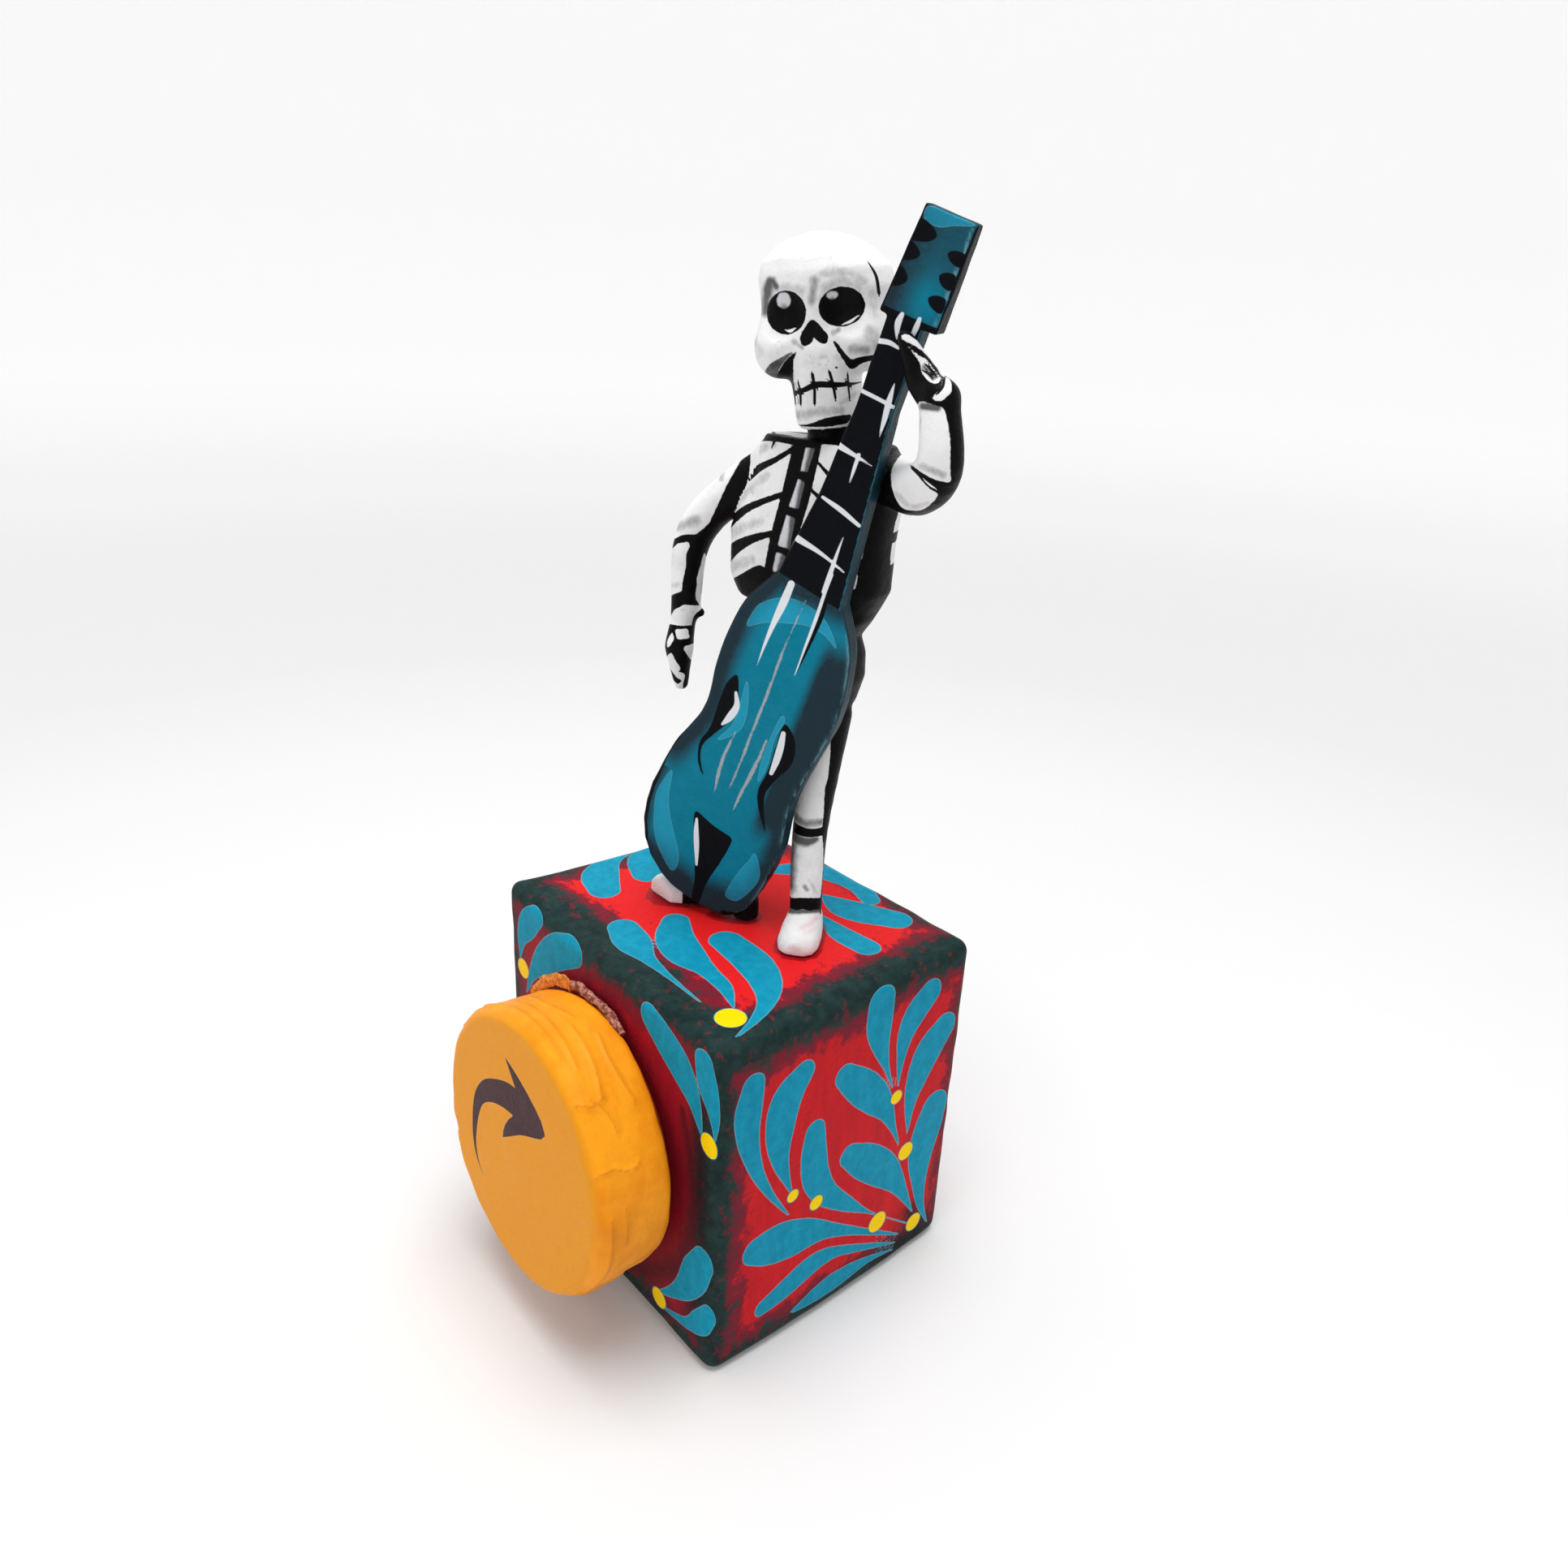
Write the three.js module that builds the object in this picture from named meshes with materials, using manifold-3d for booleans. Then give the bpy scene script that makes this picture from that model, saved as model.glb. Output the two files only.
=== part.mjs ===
// Day of the dead skeleton with a double bass, standing on a painted music box with a winding knob.
// Millimetres, +Z up. The origin is the middle of the box's underside, and the knob faces -Y.
import * as THREE from 'three';
import { mergeVertices } from 'three/addons/utils/BufferGeometryUtils.js';
import Module from 'manifold-3d';

// Fits shared by every piece
const GLUE_GAP = 0.3; // between pieces that touch
const SHAFT_CLEARANCE = 0.4; // all round the turning shaft
const KNOB_CLEARANCE = 0.4; // between the drum's nearest edge and the box

// Music box: a hollow box of pasted paper
const BOX_WIDTH = 85.2;
const BOX_DEPTH = 74.2;
const BOX_HEIGHT = 86;
const BOX_WALL = 4;
const BOX_EDGE_RADIUS = 3.2;
const BOX_FACE_SWELL = 0.9; // how far each side face bellies out

// Winding knob: a drum on a short shaft through the front wall
const KNOB_RADIUS = 33.2;
const KNOB_THICKNESS = 19;
const KNOB_RIM_RADIUS = 2.6;
const KNOB_WOBBLE = 0.6; // how far the hand-cut rim leaves a true circle
const KNOB_HEIGHT = 43.8; // of its shaft above the underside
const KNOB_LIFT_DEGREES = 3.5; // the drum's face looks up a little
const SHAFT_RADIUS = 4;
const SHAFT_TAIL = 3; // how far the shaft ends inside the hollow

// Double bass: a flat cut-out with a bellied front, set at a slant
const BASS_FACING_DEGREES = 27;
const BASS_LEAN_BACK_DEGREES = -2;
const BASS_ROLL_DEGREES = 18.8;
const BASS_FOOT = [-6.9, -8.9, 3.3]; // bottom of its centre line: x, y and height above the box top
const BASS_BODY_LENGTH = 83;
const BASS_NECK_LENGTH = 53;
const BASS_HEAD_LENGTH = 19;
const BASS_BODY_THICKNESS = 6;
const BASS_BELLY = 1.2; // rise of the front in the middle
const BASS_EDGE_RELIEF = 0.8; // how far the front and back edges are worn away
const BASS_LOWER_BOUT = 34;
const BASS_LOWER_BOUT_HEIGHT = 24;
const BASS_WAIST = 27.6;
const BASS_WAIST_HEIGHT = 48;
const BASS_UPPER_BOUT = 29.3;
const BASS_UPPER_BOUT_HEIGHT = 60;
const BASS_BOTTOM_DRIFT = 4.8; // its lowest place lies this far to its own left
const BASS_LOWER_DRIFT = -0.9; // how far its widest place lies to its own left
const BASS_UPPER_DRIFT = 1.5; // the same for waist and upper bout
const BASS_NECK_BASE_WIDTH = 15.2;
const BASS_NECK_MIDDLE_WIDTH = 10.3;
const BASS_NECK_TOP_WIDTH = 7.3;
const BASS_NECK_DRIFT = -1; // how far the top of the neck lies to the bass's own left
const BASS_NECK_THICKNESS = 6.4;
const BASS_HEAD_BASE_WIDTH = 11.7;
const BASS_HEAD_TOP_WIDTH = 10.3;
const BASS_HEAD_BASE_THICKNESS = 6.2;
const BASS_HEAD_TOP_THICKNESS = 4.2;
const BASS_PIN_RADIUS = 3;
const BASS_PIN_PLACE = 12; // across the body from its centre line

// Skeleton: joints as x, y and height above the box top
const TORSO_FACING_DEGREES = 15;
const SKULL_FACING_DEGREES = 37;
const SKULL_TILT_DEGREES = 8;
const SKULL_HEIGHT = 36;
const SKULL_WIDTH = 25.4;
const LEFT_FOOT_POINTING_DEGREES = 38;
const RIGHT_FOOT_POINTING_DEGREES = -44;
const FOOT_LENGTH = 17.6;
const FOOT_WIDTH = 9.6;
const LEFT_ANKLE = [16.2, 7.7, 8.2];
const LEFT_KNEE = [13, 10.6, 23];
const LEFT_HIP = [12.4, 15, 51];
const RIGHT_ANKLE = [-10.6, -2.1, 8.2];
const RIGHT_KNEE = [-2, 3.5, 28];
const RIGHT_HIP = [5, 13.2, 51];
const PELVIS = [9, 14.5, 60];
const WAIST = [8.9, 14.5, 70];
const RIBS = [3.9, 14.4, 80];
const SHOULDERS = [7.3, 15, 109];
const RIGHT_SHOULDER = [-6.5, 10.9, 102.5];
const RIGHT_ELBOW = [-22.2, 3.2, 86];
const RIGHT_WRIST = [-22.6, 0.8, 68];
const RIGHT_PALM = [-22.4, -0.8, 60];
const RIGHT_FINGERTIPS = [-21.2, -1, 51.6];
const RIGHT_THUMB = [-19.6, 3, 68];
const LEFT_SHOULDER = [20.5, 18.5, 103];
const LEFT_ELBOW = [44, 8.4, 103.6];
const LEFT_WRIST = [42, 8.4, 120];
const CHIN = [7.2, 14.9, 111.6];
const LEG_RADII = [5, 4, 3.7, 3.6]; // hip, knee, ankle and sole
const RIGHT_ARM_RADII = [4.8, 4.3, 3.3]; // shoulder, elbow and wrist
const RIGHT_HAND_RADII = [2.7, 3.4, 1.7]; // wrist, palm and fingertips
const THUMB_RADII = [1.8, 1.1];
const LEFT_ARM_RADII = [5, 4.9, 4.8, 4.2, 3.6]; // from shoulder round the elbow to wrist
const LEFT_HAND_RADII = [3.6, 3.3, 1.5]; // wrist, palm and fingertips
const NECK_RADII = [4.6, 4.4];
const GRIP_BELOW_HEAD = 7.5; // from the headstock down to the left palm
const FINGERTIPS_BELOW_HEAD = 2;

const wasm = await Module();
wasm.setup();

const { lerp, clamp, smoothstep, degToRad } = THREE.MathUtils;
const onBoxTop = ([x, y, height]) => new THREE.Vector3(x, y, BOX_HEIGHT + height);

// Unit vectors to a figure's own left, its front and up, when its front looks `facing` degrees from -Y
function standingAxes(facing) {
  const angle = degToRad(facing);
  return {
    side: new THREE.Vector3(Math.cos(angle), Math.sin(angle), 0),
    front: new THREE.Vector3(Math.sin(angle), -Math.cos(angle), 0),
    up: new THREE.Vector3(0, 0, 1),
  };
}

// The same axes leant back and then rolled towards the figure's own left
function leaningAxes(facing, leanBack, roll) {
  const { side, front, up } = standingAxes(facing);
  up.applyAxisAngle(side, -degToRad(leanBack));
  front.applyAxisAngle(side, -degToRad(leanBack));
  side.applyAxisAngle(front, -degToRad(roll));
  up.applyAxisAngle(front, -degToRad(roll));
  return { side, front, up };
}

// Closed solid of a geometry whose shared corners are merged
function solidOf(geometry) {
  const bare = geometry.clone();
  bare.deleteAttribute('normal');
  bare.deleteAttribute('uv');
  const merged = mergeVertices(bare, 1e-4);
  const vertProperties = Float32Array.from(merged.attributes.position.array);
  const triVerts = Uint32Array.from(merged.index.array);
  return new wasm.Manifold(new wasm.Mesh({ numProp: 3, vertProperties, triVerts }));
}

function meshOf(solid, name, color, roughness) {
  const { vertProperties, triVerts } = solid.getMesh();
  const geometry = new THREE.BufferGeometry();
  geometry.setAttribute('position', new THREE.BufferAttribute(vertProperties, 3));
  geometry.setIndex(new THREE.BufferAttribute(triVerts, 1));
  geometry.computeVertexNormals();
  const material = new THREE.MeshStandardMaterial({ color, roughness, metalness: 0 });
  const mesh = new THREE.Mesh(geometry, material);
  mesh.name = name;
  return mesh;
}

const joined = (solids) => solids.reduce((whole, solid) => whole.add(solid));

// Closed skin over a row of rings that all have as many points, with a fan on each end
function skinOf(rings) {
  const count = rings[0].length;
  const middle = (ring) => ring
    .reduce((sum, point) => sum.add(point), new THREE.Vector3())
    .divideScalar(count);
  const first = rings[0];
  const last = rings[rings.length - 1];
  const points = [...rings.flat(), middle(first), middle(last)];
  const index = [];
  for (let row = 0; row < rings.length - 1; row += 1) {
    for (let column = 0; column < count; column += 1) {
      const next = (column + 1) % count;
      const a = row * count + column;
      const b = row * count + next;
      index.push(a, b, b + count, a, b + count, a + count);
    }
  }
  const start = rings.length * count;
  const lastRow = (rings.length - 1) * count;
  for (let column = 0; column < count; column += 1) {
    const next = (column + 1) % count;
    index.push(start, next, column);
    index.push(start + 1, lastRow + column, lastRow + next);
  }
  const across = first[1].clone().sub(first[0]);
  const inward = middle(first).sub(first[0]);
  const ahead = middle(last).sub(middle(first));
  const turnsOutward = across.cross(inward).dot(ahead) > 0;
  const geometry = new THREE.BufferGeometry().setFromPoints(points);
  geometry.setIndex(turnsOutward ? index : index.reverse());
  return solidOf(geometry);
}

// Rounded-square section: power 2 is an ellipse and a higher power is boxier
function sectionAt(centre, { side, front }, { half, ahead, behind }, sides, power) {
  const ring = [];
  for (let step = 0; step < sides; step += 1) {
    const angle = (2 * Math.PI * step) / sides;
    const across = Math.sign(Math.cos(angle)) * Math.abs(Math.cos(angle)) ** (2 / power);
    const along = Math.sign(Math.sin(angle)) * Math.abs(Math.sin(angle)) ** (2 / power);
    const depth = along > 0 ? ahead : behind;
    ring.push(centre.clone().addScaledVector(side, across * half).addScaledVector(front, along * depth));
  }
  return ring;
}

// Round limb along a smooth path, with a radius at each point of the path and round ends
function limb(points, radii, sides, steps) {
  const curve = new THREE.CatmullRomCurve3(points, false, 'centripetal');
  const { tangents, normals, binormals } = curve.computeFrenetFrames(steps, false);
  const radiusAt = (share) => {
    const place = share * (radii.length - 1);
    const low = Math.min(Math.floor(place), radii.length - 2);
    return lerp(radii[low], radii[low + 1], place - low);
  };
  const ringAt = (centre, frame, radius) => {
    const axes = { side: normals[frame], front: binormals[frame] };
    return sectionAt(centre, axes, { half: radius, ahead: radius, behind: radius }, sides, 2);
  };
  const roundEnd = (point, frame, radius, direction, angle) => {
    const reach = direction * Math.sin(degToRad(angle)) * radius;
    const centre = point.clone().addScaledVector(tangents[frame], reach);
    return ringAt(centre, frame, Math.cos(degToRad(angle)) * radius);
  };
  const rings = [75, 50, 25].map((angle) => roundEnd(points[0], 0, radii[0], -1, angle));
  for (let step = 0; step <= steps; step += 1) {
    rings.push(ringAt(curve.getPoint(step / steps), step, radiusAt(step / steps)));
  }
  const end = points[points.length - 1];
  for (const angle of [25, 50, 75]) {
    rings.push(roundEnd(end, steps, radii[radii.length - 1], 1, angle));
  }
  return skinOf(rings);
}

// Egg with its own axes and half sizes
function egg(centre, axes, halfWidth, halfDepth, halfHeight) {
  const rows = 8;
  const rings = [];
  for (let row = 1; row < rows; row += 1) {
    const angle = -Math.PI / 2 + (Math.PI * row) / rows;
    const reach = Math.cos(angle);
    const place = centre.clone().addScaledVector(axes.up, Math.sin(angle) * halfHeight);
    const depth = halfDepth * reach;
    rings.push(sectionAt(place, axes, { half: halfWidth * reach, ahead: depth, behind: depth }, 16, 2));
  }
  return skinOf(rings);
}

// Knob: its axis leaves the front wall and looks up a little
const knobLift = degToRad(KNOB_LIFT_DEGREES);
const knobAxis = new THREE.Vector3(0, -Math.cos(knobLift), Math.sin(knobLift));
const knobRoot = new THREE.Vector3(0, -BOX_DEPTH / 2, KNOB_HEIGHT);

// Turns a solid of revolution about +Y on to the knob's axis, measured from the front wall
function ontoKnobAxis(geometry) {
  const turn = new THREE.Quaternion().setFromUnitVectors(new THREE.Vector3(0, 1, 0), knobAxis);
  return geometry.applyQuaternion(turn).translate(knobRoot.x, knobRoot.y, knobRoot.z);
}

// Stretches a cube's grid over the box so that the outer cells follow its rounded edges,
// then bellies the four side faces
function boxShell() {
  const half = new THREE.Vector3(BOX_WIDTH, BOX_DEPTH, BOX_HEIGHT).divideScalar(2);
  const segments = 10;
  const flatShare = 0.6; // share of the segments that lie on the flat of a face
  const shell = new THREE.BoxGeometry(2, 2, 2, segments, segments, segments);
  const place = shell.attributes.position;
  const point = new THREE.Vector3();
  const core = new THREE.Vector3();
  const spread = (share, reach) => {
    const flat = reach - BOX_EDGE_RADIUS;
    const size = Math.abs(share);
    const far = flat + ((size - flatShare) / (1 - flatShare)) * BOX_EDGE_RADIUS;
    return Math.sign(share) * (size <= flatShare ? (size / flatShare) * flat : far);
  };
  for (let index = 0; index < place.count; index += 1) {
    point.fromBufferAttribute(place, index);
    point.set(spread(point.x, half.x), spread(point.y, half.y), spread(point.z, half.z));
    for (const axis of ['x', 'y', 'z']) {
      const limit = half[axis] - BOX_EDGE_RADIUS;
      core[axis] = clamp(point[axis], -limit, limit);
    }
    const outward = point.clone().sub(core).normalize();
    point.copy(core).addScaledVector(outward, BOX_EDGE_RADIUS);
    const belly = (axis) => 1 - (point[axis] / half[axis]) ** 2;
    const rise = BOX_FACE_SWELL * belly('z');
    point.x += outward.x ** 3 * rise * belly('y');
    point.y += outward.y ** 3 * rise * belly('x');
    place.setXYZ(index, point.x, point.y, point.z + half.z);
  }
  return solidOf(shell);
}

function musicBox() {
  const walls = 2 * BOX_WALL;
  const hollow = new THREE.BoxGeometry(BOX_WIDTH - walls, BOX_DEPTH - walls, BOX_HEIGHT - walls);
  hollow.translate(0, 0, BOX_HEIGHT / 2);
  const boreRadius = SHAFT_RADIUS + SHAFT_CLEARANCE;
  const boreLength = 2 * (BOX_WALL + BOX_FACE_SWELL) + boreRadius;
  const bore = ontoKnobAxis(new THREE.CylinderGeometry(boreRadius, boreRadius, boreLength, 24));
  return boxShell().subtract(solidOf(hollow)).subtract(solidOf(bore));
}

function windingKnob() {
  const back = KNOB_CLEARANCE + BOX_FACE_SWELL + KNOB_RADIUS * Math.sin(knobLift);
  const face = back + KNOB_THICKNESS;
  const tail = -(BOX_WALL + SHAFT_TAIL);
  const flat = KNOB_RADIUS - KNOB_RIM_RADIUS;
  const profile = [
    new THREE.Vector2(0, tail),
    new THREE.Vector2(SHAFT_RADIUS, tail),
    new THREE.Vector2(SHAFT_RADIUS, back),
  ];
  const rimAt = (angle, level, direction) => new THREE.Vector2(
    flat + Math.sin(degToRad(angle)) * KNOB_RIM_RADIUS,
    level + direction * (1 - Math.cos(degToRad(angle))) * KNOB_RIM_RADIUS,
  );
  profile.push(...[0, 30, 60, 90].map((angle) => rimAt(angle, back, 1)));
  profile.push(...[90, 60, 30, 0].map((angle) => rimAt(angle, face, -1)));
  profile.push(new THREE.Vector2(0, face));
  const drum = new THREE.LatheGeometry(profile, 48);
  const place = drum.attributes.position;
  for (let index = 0; index < place.count; index += 1) {
    const x = place.getX(index);
    const z = place.getZ(index);
    const fromShaft = Math.max(0, Math.hypot(x, z) - SHAFT_RADIUS) / (KNOB_RADIUS - SHAFT_RADIUS);
    const angle = Math.atan2(z, x);
    const wobble = KNOB_WOBBLE * (Math.cos(2 * angle + 0.7) + 0.5 * Math.cos(5 * angle));
    const scale = 1 + (fromShaft * wobble) / KNOB_RADIUS;
    place.setX(index, x * scale);
    place.setZ(index, z * scale);
  }
  return solidOf(ontoKnobAxis(drum));
}

// Bass: a point at `across` to its own left, `up` its centre line and `out` in front of its flat front
const bassAxes = leaningAxes(BASS_FACING_DEGREES, BASS_LEAN_BACK_DEGREES, BASS_ROLL_DEGREES);
const bassNeckTop = BASS_BODY_LENGTH + BASS_NECK_LENGTH;
function onBass(across, up, out) {
  return onBoxTop(BASS_FOOT)
    .addScaledVector(bassAxes.side, across)
    .addScaledVector(bassAxes.up, up)
    .addScaledVector(bassAxes.front, out);
}

// Slices of the bass body from bottom to top: height, half width, sideways shift, thickness and belly
function bassSlices() {
  const bowl = [0.985, 0.95, 0.88, 0.76, 0.6, 0.4, 0.2].map((share) => ({
    up: BASS_LOWER_BOUT_HEIGHT * (1 - share),
    half: (BASS_LOWER_BOUT / 2) * (1 - share ** 2.4) ** (1 / 2.4),
    shift: lerp(BASS_LOWER_DRIFT, BASS_BOTTOM_DRIFT, share ** 3.5),
    thick: BASS_BODY_THICKNESS,
    belly: BASS_BELLY * (1 - share ** 2),
  }));
  const flankHeight = lerp(BASS_LOWER_BOUT_HEIGHT, BASS_WAIST_HEIGHT, 0.5);
  const flankHalf = lerp(BASS_LOWER_BOUT, BASS_WAIST, 0.58) / 2;
  const shoulderHeight = lerp(BASS_UPPER_BOUT_HEIGHT, BASS_BODY_LENGTH, 0.6);
  const shoulderHalf = lerp(BASS_UPPER_BOUT, BASS_NECK_BASE_WIDTH, 0.28) / 2;
  const outline = new THREE.CatmullRomCurve3([
    new THREE.Vector3(BASS_LOWER_BOUT_HEIGHT, BASS_LOWER_BOUT / 2, BASS_LOWER_DRIFT),
    new THREE.Vector3(flankHeight, flankHalf, BASS_LOWER_DRIFT),
    new THREE.Vector3(BASS_WAIST_HEIGHT, BASS_WAIST / 2, BASS_UPPER_DRIFT),
    new THREE.Vector3(BASS_UPPER_BOUT_HEIGHT, BASS_UPPER_BOUT / 2, BASS_UPPER_DRIFT),
    new THREE.Vector3(shoulderHeight, shoulderHalf, BASS_UPPER_DRIFT / 2),
    new THREE.Vector3(BASS_BODY_LENGTH, BASS_NECK_BASE_WIDTH / 2, 0),
  ]);
  const steps = 14;
  const waistUp = outline.getPoints(steps).map((point, step) => {
    const fade = smoothstep(step / steps, 0.75, 1);
    return {
      up: point.x,
      half: point.y,
      shift: point.z,
      thick: lerp(BASS_BODY_THICKNESS, BASS_NECK_THICKNESS, fade),
      belly: BASS_BELLY * (1 - fade),
    };
  });
  return [...bowl, ...waistUp];
}

// Cross-section of the cut-out, square behind and bellied in front
function bassSection({ up, half, shift, thick, belly }, grow) {
  const reach = half + grow;
  const backReach = Math.max(reach - BASS_EDGE_RELIEF, reach / 2);
  const backEdge = BASS_EDGE_RELIEF - thick - grow;
  const frontEdge = grow - BASS_EDGE_RELIEF;
  const front = [0.9, 0.55, 0.2, -0.2, -0.55, -0.9].map((share) => (
    onBass(shift + share * reach, up, belly * (1 - share * share) + grow)));
  return [
    onBass(shift - reach, up, backEdge),
    onBass(shift - backReach, up, -thick - grow),
    onBass(shift + backReach, up, -thick - grow),
    onBass(shift + reach, up, backEdge),
    onBass(shift + reach, up, frontEdge),
    ...front,
    onBass(shift - reach, up, frontEdge),
  ];
}

// The whole bass, its surface moved out by `grow`
function doubleBass(grow) {
  const body = skinOf(bassSlices().map((slice) => bassSection(slice, grow)));
  const slab = (stations) => skinOf(stations.map(({ up, width, shift, thick }) => {
    const half = width / 2 + grow;
    return [
      onBass(shift - half, up, grow),
      onBass(shift - half, up, -thick - grow),
      onBass(shift + half, up, -thick - grow),
      onBass(shift + half, up, grow),
    ];
  }));
  const neckMiddle = BASS_BODY_LENGTH + BASS_NECK_LENGTH * 0.35;
  const neckUpper = BASS_BODY_LENGTH + BASS_NECK_LENGTH * 0.7;
  const overlap = 1; // of neck, head and body inside the one solid
  const thick = BASS_NECK_THICKNESS;
  const neck = slab([
    { up: BASS_BODY_LENGTH - overlap, width: BASS_NECK_BASE_WIDTH, shift: 0.4, thick },
    { up: neckMiddle, width: BASS_NECK_MIDDLE_WIDTH, shift: BASS_NECK_DRIFT * -0.35, thick },
    { up: neckUpper, width: BASS_NECK_TOP_WIDTH, shift: BASS_NECK_DRIFT * 0.5, thick },
    { up: bassNeckTop + overlap, width: BASS_NECK_TOP_WIDTH, shift: BASS_NECK_DRIFT, thick },
  ]);
  const headFoot = { up: bassNeckTop - grow, width: BASS_HEAD_BASE_WIDTH, shift: BASS_NECK_DRIFT / 2 };
  const headTop = { up: bassNeckTop + BASS_HEAD_LENGTH + grow, width: BASS_HEAD_TOP_WIDTH, shift: 0 };
  const head = slab([
    { ...headFoot, thick: BASS_HEAD_BASE_THICKNESS },
    { ...headTop, thick: BASS_HEAD_TOP_THICKNESS },
  ]);
  const pinDepth = BASS_PIN_RADIUS / 2 - BASS_BODY_THICKNESS; // it sits by the back of the body
  const pinTop = onBass(BASS_PIN_PLACE, BASS_LOWER_BOUT_HEIGHT / 4, pinDepth);
  const pinFloor = BOX_HEIGHT + GLUE_GAP;
  const pinRadius = BASS_PIN_RADIUS + grow;
  const pin = new THREE.CylinderGeometry(pinRadius, pinRadius, pinTop.z - pinFloor, 16);
  pin.rotateX(Math.PI / 2).translate(pinTop.x, pinTop.y, (pinTop.z + pinFloor) / 2);
  return joined([body, neck, head, solidOf(pin)]);
}

// Hips, waist, rib cage and shoulders as one rounded body
function torso() {
  const axes = standingAxes(TORSO_FACING_DEGREES);
  const stations = [
    { at: PELVIS, lift: -10, half: 5.5, depth: 4.5 },
    { at: PELVIS, lift: -6, half: 8, depth: 6.5 },
    { at: PELVIS, lift: 0, half: 9.8, depth: 7.4 },
    { at: PELVIS, lift: 5, half: 9.6, depth: 7.2 },
    { at: WAIST, lift: -1, half: 8.4, depth: 6.4 },
    { at: WAIST, lift: 3, half: 11, depth: 7.6 },
    { at: RIBS, lift: -5.4, half: 16.2, depth: 9 },
    { at: RIBS, lift: -1, half: 18.6, depth: 9.8 },
    { at: RIBS, lift: 9, half: 18.8, depth: 9.8 },
    { at: SHOULDERS, lift: -8, half: 17, depth: 8.4 },
    { at: SHOULDERS, lift: -1.5, half: 15.4, depth: 6.8 },
    { at: SHOULDERS, lift: 0, half: 14.6, depth: 6 },
  ];
  return skinOf(stations.map(({ at, lift, half, depth }) => {
    const centre = onBoxTop([at[0], at[1], at[2] + lift]);
    return sectionAt(centre, axes, { half, ahead: depth, behind: depth }, 24, 2.8);
  }));
}

// Foot with a flat sole, its heel behind the ankle; sizes are shares of its length, width and height
function foot(ankle, pointing) {
  const { side, front } = standingAxes(pointing);
  const sole = onBoxTop([ankle[0], ankle[1], GLUE_GAP]);
  const stations = [
    { ahead: -0.3, wide: 0.45, high: 0.55 },
    { ahead: -0.22, wide: 0.8, high: 0.85 },
    { ahead: 0, wide: 0.92, high: 0.98 },
    { ahead: 0.23, wide: 1, high: 0.82 },
    { ahead: 0.46, wide: 1, high: 0.7 },
    { ahead: 0.62, wide: 0.83, high: 0.56 },
    { ahead: 0.7, wide: 0.42, high: 0.37 },
  ];
  const soleEdge = 1; // height of the thin wall round the sole
  return skinOf(stations.map(({ ahead, wide, high }) => {
    const centre = sole.clone().addScaledVector(front, ahead * FOOT_LENGTH);
    const half = (wide * FOOT_WIDTH) / 2;
    const rise = high * ankle[2] - soleEdge;
    const instep = [0, 30, 60, 90, 120, 150, 180].map((angle) => centre.clone()
      .addScaledVector(side, Math.cos(degToRad(angle)) * half)
      .setZ(sole.z + soleEdge + Math.sin(degToRad(angle)) * rise));
    const underside = [-0.85, 0.85].map((share) => centre.clone().addScaledVector(side, share * half));
    return [...instep, ...underside];
  }));
}

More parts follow.
